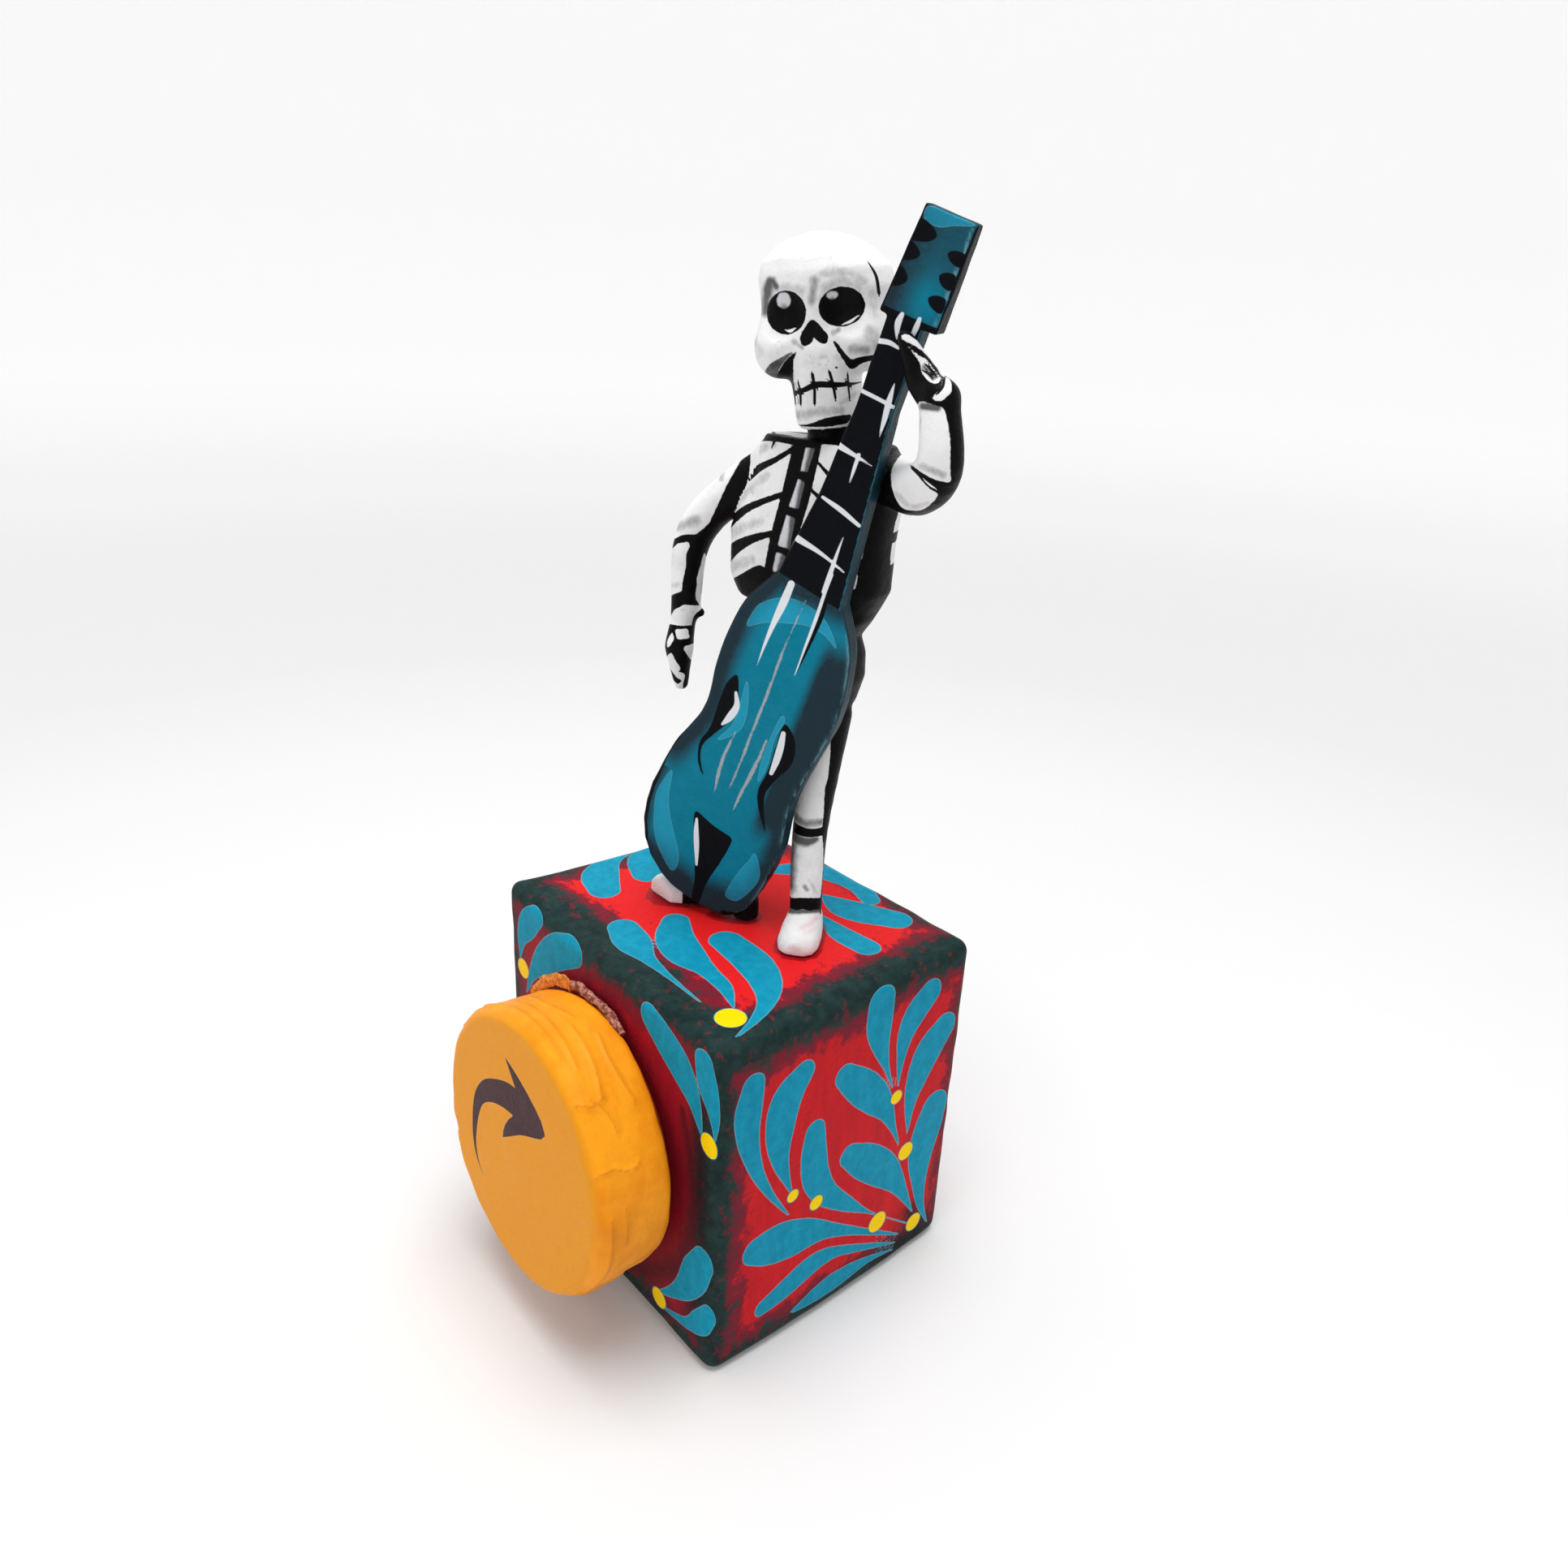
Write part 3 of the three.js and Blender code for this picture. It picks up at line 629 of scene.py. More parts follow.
def write_paint(piece: Piece, layers: dict[str, Array]) -> None:
    """Keeps one number a point for each layer of paint."""
    for name, values in layers.items():
        attribute = piece.data.attributes.new(name, "FLOAT", "POINT")
        attribute.data.foreach_set("value", np.clip(values, -FAR, FAR).astype(np.float32))


def hand_over(piece: Piece, body: Body, node: str | None, slot: Slot) -> None:
    """Puts a finished piece on its body, in the place of its solid if it has one."""
    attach(piece, body.value)
    if node:
        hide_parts(node)
    LOG.info("%s: %d points, %d faces", piece.name, len(piece.data.vertices), len(piece.data.polygons))


def closed_path(corners: Sequence[Sequence[float]], steps: int) -> Array:
    """Smooth closed line through corners.

    Args:
        corners: Three or more corners.
        steps: Stretches between two corners.

    Returns:
        Points of the line, the first not repeated.
    """
    knots = np.asarray(corners, float)
    share = (np.arange(steps) / steps)[:, None]
    result = []
    for index in range(len(knots)):
        before, start, end, after = (knots[(index + step) % len(knots)] for step in (-1, 0, 1, 2))
        bend = 2 * before - 5 * start + 4 * end - after
        result.append(0.5 * (2 * start + (end - before) * share + bend * share ** 2
                             + (3 * start - before - 3 * end + after) * share ** 3))
    return np.concatenate(result)


class Canvas:
    """Layers of paint on a piece: one number at each of its points for each layer."""

    def __init__(self, points: Array, names: Sequence[str] = (), thin: Sequence[str] = ()) -> None:
        """Starts with bare layers.

        Args:
            points: Places of the points in millimetres.
            names: Names of the layers that hold distances, negative under the paint.
            thin: Those which also keep the offset and half width of hairlines.
        """
        self.points = points
        self.layers = {name: np.full(len(points), FAR) for name in (*names, *thin)}
        for name in thin:
            self.layers[name + "_offset"] = np.full(len(points), FAR)
            self.layers[name + "_half"] = np.full(len(points), NOT_THIN)

    def tint(self, name: str) -> Array:
        """Adds a layer of soft shade that starts at 0."""
        return self.layers.setdefault(name, np.zeros(len(self.points)))

    def face(self, chosen: Array, across: Array, up: Array) -> "Face":
        """Chosen points of the canvas, with the places of all points across and up it."""
        spots = np.flatnonzero(chosen)
        return Face(self, spots, np.stack([across[spots], up[spots]], axis=1))


@dataclass
class Face:
    """Part of a canvas that strokes are painted on, in millimetres across and up."""

    canvas: Canvas
    spots: Array
    flat: Array

    def _near(self, line: Array, margin: float) -> Array:
        """Numbers of the points whose box reaches a line."""
        inside = np.all((self.flat > line.min(0) - margin) & (self.flat < line.max(0) + margin), axis=1)
        return np.flatnonzero(inside)

    @staticmethod
    def _measure(flat: Array, starts: Array, ends: Array) -> tuple[Array, Array, Array]:
        """Distance to each stretch, share along it and side that a point lies on.

        Args:
            flat: Across and up of the points.
            starts: Where the stretches start.
            ends: Where they end.

        Returns:
            Three arrays, a row for each point.
        """
        stretch = ends - starts
        offset = flat[:, None, :] - starts[None]
        length = np.maximum((stretch ** 2).sum(-1), 1e-9)
        share = np.clip((offset * stretch).sum(-1) / length, 0, 1)
        gap = np.linalg.norm(offset - share[..., None] * stretch, axis=-1)
        side = np.sign(stretch[:, 0] * offset[..., 1] - stretch[:, 1] * offset[..., 0])
        return gap, share, side

    def strokes(self, layer: str, spines: Spines) -> None:
        """Paints brush strokes, each given by across, up and half width along it."""
        for spine in spines:
            self.stroke(layer, spine)

    def stroke(self, layer: str, spine: Spine) -> None:
        """Paints a brush stroke.

        Where the stroke is thin and the canvas has a layer for it, its sideways offset and half width are
        kept too, so that a hairline stays whole between two points.

        Args:
            layer: Layer to paint on.
            spine: Across, up and half width along the stroke.
        """
        line = smooth_path(spine, max(SPINE_STEPS * (len(spine) - 1), 8)) if len(spine) > 2 else np.array(spine, float)
        near = self._near(line[:, :2], STROKE_REACH + line[:, 2].max())
        gap, share, side = self._measure(self.flat[near], line[:-1, :2], line[1:, :2])
        half = np.maximum(line[:-1, 2] + share * (line[1:, 2] - line[:-1, 2]), 0.05)
        best = np.argmin(gap - half, axis=1)
        rows = np.arange(len(near))
        gap, half, side = gap[rows, best], half[rows, best], side[rows, best]
        spots, layers = self.spots[near], self.canvas.layers
        closer = gap - half < layers[layer][spots]
        layers[layer][spots[closer]] = (gap - half)[closer]
        if layer + "_half" in layers:
            layers[layer + "_offset"][spots[closer]] = (gap * side)[closer]
            layers[layer + "_half"][spots[closer]] = np.where(half < THIN, half, NOT_THIN)[closer]

    def dot(self, layer: str, across: float, up: float, radius: float) -> None:
        """Paints a round dot."""
        self.stroke(layer, [(across - 0.01, up, radius), (across + 0.01, up, radius)])

    def patches(self, layer: str, outlines: Outlines, curved: bool = True) -> None:
        """Paints patches, smooth or straight-sided ones."""
        for outline in outlines:
            self.patch(layer, outline, curved)

    def patch(self, layer: str, corners: Outline, curved: bool = True) -> None:
        """Paints a patch.

        Args:
            layer: Layer to paint on.
            corners: Across and up of the corners of its outline.
            curved: True for a smooth outline, False for a straight-sided one.
        """
        line = closed_path(corners, 5) if curved else np.asarray(corners, float)
        near = self._near(line, STROKE_REACH)
        ends = np.roll(line, -1, axis=0)
        gap = self._measure(self.flat[near], line, ends)[0].min(axis=1)
        level = self.flat[near, 1][:, None]
        crosses = (line[:, 1] > level) != (ends[:, 1] > level)
        rise = np.where(ends[:, 1] == line[:, 1], 1e-9, ends[:, 1] - line[:, 1])
        at = line[:, 0] + (level - line[:, 1]) / rise * (ends[:, 0] - line[:, 0])
        inside = (crosses & (self.flat[near, 0][:, None] < at)).sum(axis=1) % 2 == 1
        values = np.where(inside, -gap, gap)
        spots = self.spots[near]
        self.canvas.layers[layer][spots] = np.minimum(self.canvas.layers[layer][spots], values)

    def haze(self, layer: str, spine: Spine, amount: float = 1.0) -> None:
        """Breathes soft shade along a line, each point of which holds across, up and how far the shade reaches.

        Args:
            layer: Layer to shade.
            spine: The line.
            amount: Strength of the shade on it.
        """
        spine = spine if len(spine) > 1 else (*spine, *spine)
        line = smooth_path(spine, SPINE_STEPS * (len(spine) - 1))
        near = self._near(line[:, :2], 2.5 * line[:, 2].max())
        gap, share, _ = self._measure(self.flat[near], line[:-1, :2], line[1:, :2])
        reach = line[:-1, 2] + share * (line[1:, 2] - line[:-1, 2])
        soft = amount * np.exp(-((gap / reach) ** 2).min(axis=1))
        spots = self.spots[near]
        tint = self.canvas.tint(layer)
        tint[spots] = np.maximum(tint[spots], soft)


    def shades(self, *rows: tuple[Spine, float]) -> None:
        """Breathes several hazes of shade, each with its strength."""
        for spine, amount in rows:
            self.haze("shade", spine, amount)


def paint(red: int, green: int, blue: int) -> Colour:
    """Colour as light from the strengths of red, green and blue on a screen, 0 to 255."""
    shares = np.array([red, green, blue]) / 255
    light = np.where(shares <= 0.04045, shares / 12.92, ((shares + 0.055) / 1.055) ** 2.4)
    return tuple(float(part) for part in light)


class Tree:
    """Node tree that is built call by call."""

    tree: bpy.types.NodeTree

    def node(self, kind: str, settings: dict[str, object] | None = None,
             inputs: dict[str | int, object] | None = None) -> bpy.types.Node:
        """Adds a node.

        Args:
            kind: Type of the node.
            settings: Its properties, set first.
            inputs: What `feed` gives it.

        Returns:
            The node.
        """
        node = self.tree.nodes.new(kind)
        for name, value in (settings or {}).items():
            setattr(node, name, value)
        self.feed(node, inputs or {})
        return node

    def feed(self, node: bpy.types.Node, inputs: dict[str | int, object]) -> None:
        """Gives inputs of a node their numbers or links.

        Args:
            node: The node.
            inputs: Numbers, values or sockets by the name or number of an input.
        """
        for name, value in inputs.items():
            source = value.socket if isinstance(value, Value) else value
            if isinstance(source, Socket):
                self.tree.links.new(source, node.inputs[name])
            else:
                node.inputs[name].default_value = source


class Value:
    """A number that varies over a surface or a geometry, for Python's own arithmetic."""

    def __init__(self, tree: Tree, socket: Socket) -> None:
        """Wraps a socket of a tree."""
        self.tree, self.socket = tree, socket

    def math(self, operation: str, *others: "Number", first: bool = True) -> "Value":
        """Adds a Math node on this value and others."""
        values = dict(enumerate([self, *others] if first else [*others, self]))
        return Value(self.tree, self.tree.node("ShaderNodeMath", {"operation": operation}, values).outputs[0])

    def __add__(self, other: "Number") -> "Value":
        """Sum."""
        return self.math("ADD", other)

    __radd__ = __add__

    def __sub__(self, other: "Number") -> "Value":
        """Difference."""
        return self.math("SUBTRACT", other)

    def __rsub__(self, other: float) -> "Value":
        """Difference from a number."""
        return self.math("SUBTRACT", other, first=False)

    def __mul__(self, other: "Number") -> "Value":
        """Product."""
        return self.math("MULTIPLY", other)

    __rmul__ = __mul__

    def __truediv__(self, other: "Number") -> "Value":
        """Quotient."""
        return self.math("DIVIDE", other)

    def __rtruediv__(self, other: float) -> "Value":
        """A number divided by this value."""
        return self.math("DIVIDE", other, first=False)

    def __abs__(self) -> "Value":
        """Size without its sign."""
        return self.math("ABSOLUTE")

    def least(self, other: "Number") -> "Value":
        """The smaller of two values."""
        return self.math("MINIMUM", other)

    def most(self, other: "Number") -> "Value":
        """The larger of two values."""
        return self.math("MAXIMUM", other)

    def clamped(self) -> "Value":
        """The value kept between 0 and 1."""
        return self.most(0).least(1)

    def covers(self, soft: float = 0.12) -> "Value":
        """Mask that is 1 where a distance is negative, with an edge as wide as `soft`."""
        return (0.5 - self / soft).clamped()

    def ease(self, low: float, high: float) -> "Value":
        """Mask that eases from 0 at one limit to 1 at the other."""
        node = self.tree.node("ShaderNodeMapRange", {"interpolation_type": "SMOOTHSTEP"},
                              {"Value": self, "From Min": low, "From Max": high})
        return Value(self.tree, node.outputs[0])


class Mixer(Tree):
    """One material, whose colour grows coat by coat."""

    def __init__(self, name: str) -> None:
        """Starts a material with a bare shader."""
        self.material = bpy.data.materials.new(name)
        self.material.use_nodes = True
        self.tree = self.material.node_tree
        self.shader = self.tree.nodes["Principled BSDF"]
        self.place = self.node("ShaderNodeTexCoord").outputs["Object"]

    def layer(self, name: str) -> Value:
        """Layer of paint of the piece, as distances in millimetres or as shade."""
        return Value(self, self.node("ShaderNodeAttribute", {"attribute_name": name}).outputs["Fac"])

    def strokes(self, name: str, reach: float = 0.42) -> Value:
        """Distances of a layer of strokes whose hairlines are kept whole within a reach."""
        distance = self.layer(name)
        return distance.least((abs(self.layer(name + "_offset")) - self.layer(name + "_half")).most(distance - reach))

    def noise(self, size: float, detail: float = 2, roughness: float = 0.5, stretch: Place = (1, 1, 1)) -> Value:
        """Cloudy pattern.

        Args:
            size: Size of its blotches in millimetres.
            detail: How many finer patterns lie in it.
            roughness: Strength of the finer patterns.
            stretch: Factors on the three directions, lower for longer blotches.

        Returns:
            Value from 0 to 1.
        """
        spot = self.node("ShaderNodeMapping", inputs={
            "Vector": self.place, "Scale": tuple(part / (size * MM) for part in stretch)})
        return Value(self, self.node("ShaderNodeTexNoise", inputs={
            "Vector": spot.outputs[0], "Scale": 1, "Detail": detail, "Roughness": roughness}).outputs[0])

    def blend(self, mask: Value, under: Colour | Socket, over: Colour | Socket) -> Socket:
        """Colour that goes from one to another where the mask is 1."""
        sides = [colour if isinstance(colour, Socket) else (*colour, 1) for colour in (under, over)]
        return self.node("ShaderNodeMix", {"data_type": "RGBA"}, {0: mask, 6: sides[0], 7: sides[1]}).outputs[2]

    def start(self, mask: Value, under: Colour | Socket, over: Colour | Socket) -> None:
        """Lays the first two colours."""
        self.colour = self.blend(mask, under, over)

    def coat(self, mask: Value, over: Colour | Socket) -> None:
        """Lays a coat over the colour where the mask is 1."""
        self.colour = self.blend(mask, self.colour, over)

    def finish(self, roughness: Value, height: Value, depth: float, specular: float) -> Material:
        """Closes the material.

        Args:
            roughness: Its roughness.
            height: Fine relief from 0 to 1.
            depth: Depth of the relief in millimetres.
            specular: Strength of its reflections.

        Returns:
            The material.
        """
        bump = self.node("ShaderNodeBump", inputs={"Height": height, "Distance": depth * MM, "Strength": 1})
        self.feed(self.shader, {"Base Color": self.colour, "Roughness": roughness, "Normal": bump.outputs[0],
                                "Specular IOR Level": specular})
        return self.material


@dataclass(frozen=True)
class BoxPaint:
    """Red and deep green sponged paint with blue leaves and yellow dots, with painted shade: deeper red on the side
    walls, black round the drum, and contact shadow in the glossy ring round the feet.
    """

    red: Colour = paint(226, 32, 34)
    # The side walls mix toward this deeper red, partly the paint's own and partly painted shade
    deep_red: Colour = paint(146, 22, 38)
    maroon: Colour = paint(122, 30, 46)
    green: Colour = paint(36, 58, 56)
    deep_green: Colour = paint(18, 36, 36)
    black: Colour = paint(22, 24, 28)
    leaf: Colour = paint(20, 152, 184)
    deep_leaf: Colour = paint(8, 126, 156)
    pale_edge: Colour = paint(136, 178, 190)
    yellow: Colour = paint(255, 214, 8)
    glue_and_shadow: Colour = paint(96, 6, 24)

    def make(self) -> Material:
        """Mixes the material."""
        mix = Mixer("painted paper box")
        broad = mix.noise(11, 3, 0.55)
        sponge = mix.noise(3.4, 5, 0.62)
        blotch = mix.noise(2.4, 4, 0.6, (1, 1.1, 0.9))
        fine = mix.noise(0.5, 3, 0.6)
        brushed = mix.noise(2.6, 4, 0.6, (1, 1, 0.16))
        edge = mix.layer("ground") + (broad - 0.5) * 7 + (sponge - 0.5) * 12 + (fine - 0.5) * 5
        under = mix.blend((sponge * 3 - 1.1).clamped(), self.green, self.deep_green)
        under = mix.blend((blotch + edge * 0.012).ease(0.5, 0.62) * 0.62, under, self.maroon)
        under = mix.blend(edge.ease(-3.2, 0.2), under, self.maroon)
        # Deeper red per wall, partly painted shade on the side walls, streaked by the brush
        bright = mix.blend((mix.layer("deep_paint_and_shade") + (brushed - 0.5) * 0.8).clamped(), self.red, self.deep_red)
        bright = mix.blend((0.56 - blotch - edge * 0.03).ease(0, 0.14) * 0.8, bright, self.maroon)
        bright = mix.blend((fine - 0.6).ease(0, 0.1) * 0.3, bright, self.maroon)
        mix.start(edge.ease(0.8, 3.4), under, bright)
        flecks = fine - 0.5
        # Black specks: painted shade round the drum on the front wall, and a patch low on the right wall
        mix.coat(mix.layer("smudge_and_shade").clamped() * (0.5 + flecks * 2 + sponge).clamped(), self.black)
        leaf = mix.strokes("leaf")
        wave = (leaf + (mix.noise(2.2, 2) - 0.5) * 0.25)
        blue = mix.blend((blotch * 0.6 + brushed * 0.4).ease(0.35, 0.65) * 0.6, self.leaf, self.deep_leaf)
        blue = mix.blend((fine - 0.63).ease(0, 0.06) * 0.4, blue, self.deep_green)
        mix.coat(wave.covers(0.14), blue)
        mix.coat((0.2 - abs(wave)).ease(0, 0.12) * 0.4, self.pale_edge)
        dots = mix.layer("dot")
        mix.coat((dots - 0.22).covers(0.1), self.deep_leaf)
        mix.coat(dots.covers(0.14), self.yellow)
        # Glossy deep red ring round the feet: adhesive, deepened as painted contact shadow
        glue_and_shadow = mix.layer("glue_and_shadow") + (broad - 0.5) * 1.2
        wet = glue_and_shadow.covers(0.35)
        mix.coat(wet * 0.6, self.glue_and_shadow)
        roughness = 0.5 + (fine - 0.5) * 0.25 - wet * 0.38
        fibres = mix.noise(0.9, 6, 0.65, (1, 0.35, 1))
        height = fibres * 0.55 + broad * 0.6 + (0.2 - leaf).ease(0, 0.3) * 0.12 + dots.covers(0.3) * 0.25
        return mix.finish(roughness, height, 0.32, 0.05)


@dataclass(frozen=True)
class OchrePaper:
    """Ochre paper pasted over the drum, varnished, with the winding arrow painted on it and painted shade along its
    folds.
    """

    ochre: Colour = paint(252, 160, 26)
    amber: Colour = paint(224, 126, 8)
    pale: Colour = paint(232, 150, 10)
    brown: Colour = paint(62, 26, 32)
    outline: Colour = paint(226, 176, 96)
    crease_shade: Colour = paint(166, 88, 16)
    lip: Colour = paint(150, 34, 34)

    def make(self) -> Material:
        """Mixes the material."""
        mix = Mixer("ochre paper")
        cloud = mix.noise(14, 4, 0.6)
        fine = mix.noise(0.7, 5, 0.65)
        streak = mix.noise(3.2, 5, 0.6, (1, 0.3, 1))
        mix.start(cloud.ease(0.35, 0.7) * 0.65, self.ochre, self.amber)
        mix.coat(mix.layer("face").clamped(), self.pale)
        mix.coat((fine - 0.56).ease(0, 0.16) * 0.3, self.amber)
        mix.coat((streak - 0.58).ease(0, 0.12) * 0.16, self.amber)
        # Darker ochre along the folds and the rim line: painted shade in the creases
        mix.coat((mix.layer("crease_shade") - 0.62).ease(0, 0.3) * 0.3, self.crease_shade)
        mix.coat((mix.layer("lip") + (cloud - 0.5) * 0.8).ease(0.3, 0.7) * 0.85, self.lip)
        arrow = mix.layer("arrow")
        mix.coat((0.3 - abs(arrow)).ease(0, 0.2) * 0.4, self.outline)
        mix.coat(arrow.covers(0.14), self.brown)
        roughness = 0.46 + (fine - 0.5) * 0.3
        height = fine * 0.35 + streak * 0.4 + cloud * 0.5
        return mix.finish(roughness, height, 0.3, 0.12)


@dataclass(frozen=True)
class TornFinish:
    """Torn paper whose bare fibres show."""

    name: str
    paper: Colour
    fibre: Colour

    def make(self) -> Material:
        """Mixes the material."""
        mix = Mixer(self.name)
        patches = mix.noise(1.1, 4, 0.7)
        fibres = mix.noise(0.4, 5, 0.7, (1, 0.3, 1))
        mix.start(patches.ease(0.42, 0.6), self.paper, self.fibre)
        return mix.finish(0.6 + (fibres - 0.5) * 0.3, fibres * 0.6 + patches * 0.4, 0.3, 0.2)


@dataclass(frozen=True)
class BonePaint:
    """White paint with grey shading and black bones, under a satin varnish."""

    white: Colour = paint(237, 237, 238)
    warm: Colour = paint(222, 220, 218)
    grey: Colour = paint(96, 95, 97)
    pale_grey: Colour = paint(214, 216, 220)
    ash: Colour = paint(104, 102, 104)
    black: Colour = paint(14, 13, 14)
    pink: Colour = paint(226, 170, 182)

    def make(self) -> Material:
        """Mixes the material."""
        mix = Mixer("painted bone")
        cloud = mix.noise(5, 4, 0.6)
        fine = mix.noise(0.8, 4, 0.6)
        drag = mix.noise(1.5, 6, 0.68, (1, 1, 0.75))
        mix.start(cloud.ease(0.42, 0.75) * 0.8, self.white, self.warm)
        shade = (mix.layer("shade") - (1 - drag) * 0.5) * 1.9
        mix.coat(shade.clamped(), self.grey)
        mix.coat(mix.layer("stain").clamped() * (fine * 1.4).clamped(), self.pink)
        rough_edge = (mix.noise(0.9, 3, 0.6) - 0.5) * 0.35
        black = (mix.layer("black") + rough_edge).covers(0.14)
        mix.coat(black, self.black)
        bone = (mix.layer("bone") + rough_edge).covers(0.16)
        mix.coat(bone, mix.blend(shade.clamped(), self.white, self.grey))
        grey = (mix.layer("grey") + rough_edge).covers(0.3)
        mix.coat(grey, mix.blend((shade * 1.2).clamped(), self.pale_grey, self.grey))
        ash = (mix.layer("ash") + rough_edge).covers(0.2)
        mix.coat(ash, mix.blend(drag.ease(0.4, 0.65) * 0.5, self.ash, self.black))
        line = mix.strokes("line", 0.34).covers(0.14)
        mix.coat(line, self.black)
        glint = mix.strokes("glint", 0.34).covers(0.14)
        mix.coat(glint, self.white)
        roughness = 0.42 + (fine - 0.5) * 0.25 - black * 0.06 - mix.layer("gloss").clamped() * 0.2
        height = mix.noise(1.6, 5, 0.6) * 0.6 + fine * 0.3
        return mix.finish(roughness, height, 0.22, 0.05)


@dataclass(frozen=True)
class BassPaint:
    """Blue paint airbrushed to slate at the sides, with black edges and white strings."""

    blue: Colour = paint(14, 122, 148)
    light: Colour = paint(40, 156, 188)
    slate: Colour = paint(36, 53, 62)
    black: Colour = paint(17, 18, 22)
    white: Colour = paint(226, 230, 234)
    grey: Colour = paint(160, 170, 176)
    edge_blue: Colour = paint(24, 52, 62)
    pale: Colour = paint(120, 178, 192)

    def make(self) -> Material:
        """Mixes the material."""
        mix = Mixer("painted bass")
        cloud = mix.noise(4, 4, 0.65)
        fine = mix.noise(0.7, 4, 0.6)
        mix.start((cloud * 0.7 + fine * 0.5 - 0.5).ease(0, 0.5) * 0.6, self.blue, self.light)
        leaf = mix.layer("leaf")
        mix.coat(leaf.covers(0.2) * (0.65 + cloud * 0.4).clamped(), self.light)
        rim = (0.14 - abs(leaf)).ease(0, 0.1) * 0.3
        slate = (mix.layer("slate") * 1.15 + (cloud - 0.5) * 0.44 + (fine - 0.5) * 0.4).clamped()
        mix.coat(slate, self.slate)
        mix.coat(rim, self.pale)
        mix.coat((mix.layer("edge") + (cloud - 0.5) * 0.6).covers(0.5), self.edge_blue)
        streaks = mix.noise(1.6, 4, 0.7, (1, 1, 0.3))
        # Pale streaks along the right edge: paint, and a painted highlight where the edge turns
        mix.coat((mix.layer("pale_edge_and_highlight") * streaks.ease(0.4, 0.62)).clamped() * 0.55, self.pale)
        mix.coat((mix.layer("black") + (cloud - 0.5) * 0.3).covers(0.14), self.black)
        broken = (fine - 0.5) * 0.5 + (streaks - 0.5) * 0.7
        mix.coat((mix.layer("grey") + broken).covers(0.2), self.grey)
        mix.coat(mix.layer("white").covers(0.14), self.white)
        roughness = 0.36 + (fine - 0.5) * 0.25 + (cloud - 0.5) * 0.15
        height = mix.noise(1.3, 5, 0.62) * 0.6 + fine * 0.3
        return mix.finish(roughness, height, 0.2, 0.03)


def outwards(piece: Piece, weld: float = 0.0) -> None:
    """Welds a mesh and turns its faces outwards.

    Args:
        piece: Closed mesh.
        weld: Distance in metres within which points become one.
    """
    mesh = bmesh.new()
    mesh.from_mesh(piece.data)
    if weld:
        bmesh.ops.remove_doubles(mesh, verts=mesh.verts, dist=weld)
    bmesh.ops.recalc_face_normals(mesh, faces=mesh.faces)
    mesh.to_mesh(piece.data)
    mesh.free()


def freeze(piece: Piece) -> None:
    """Turns what the modifiers of a piece make into its plain mesh."""
    graph = bpy.context.evaluated_depsgraph_get()
    graph.update()
    made = bpy.data.meshes.new_from_object(piece.evaluated_get(graph), depsgraph=graph)
    made.name = piece.data.name
    piece.modifiers.clear()
    piece.data = made


class Recipe(Tree):
    """Geometry Nodes that make a piece from the mesh that it starts with."""

    def __init__(self, name: str) -> None:
        """Starts a tree with a geometry in and a geometry out."""
        self.tree = bpy.data.node_groups.new(name, "GeometryNodeTree")
        for way in ("INPUT", "OUTPUT"):
            self.tree.interface.new_socket("Geometry", in_out=way, socket_type="NodeSocketGeometry")
        self.entry = self.tree.nodes.new("NodeGroupInput")
        self.values: dict[str, object] = {}

    def input(self, name: str, kind: str, value: object) -> Value:
        """Adds a named input with what the modifier gives it."""
        socket = self.tree.interface.new_socket(name, in_out="INPUT", socket_type="NodeSocket" + kind)
        self.values[socket.identifier] = value
        return Value(self, self.entry.outputs[name])

    def add(self, kind: str, settings: dict[str, object] | None = None, output: str | int = 0,
            **inputs: object) -> Value:
        """Adds a node whose inputs are named with _ for a space, and gives one of its outputs."""
        named = {name.replace("_", " "): value for name, value in inputs.items()}
        return Value(self, self.node(kind, settings, named).outputs[output])

    def run(self, piece: Piece, geometry: Value, material: Material) -> None:
        """Ends the tree at a geometry and bakes it into a piece.

        Args:
            piece: Object that gives the tree its geometry.
            geometry: Last geometry of the tree.
            material: What the result is dressed in.
        """
        real = self.add("GeometryNodeRealizeInstances", Geometry=geometry)
        dressed = self.add("GeometryNodeSetMaterial", Geometry=real, Material=material)
        self.tree.links.new(dressed.socket, self.tree.nodes.new("NodeGroupOutput").inputs[0])
        maker = piece.modifiers.new("maker", "NODES")
        maker.node_group = self.tree
        for identifier, value in self.values.items():
            maker[identifier] = value
        freeze(piece)


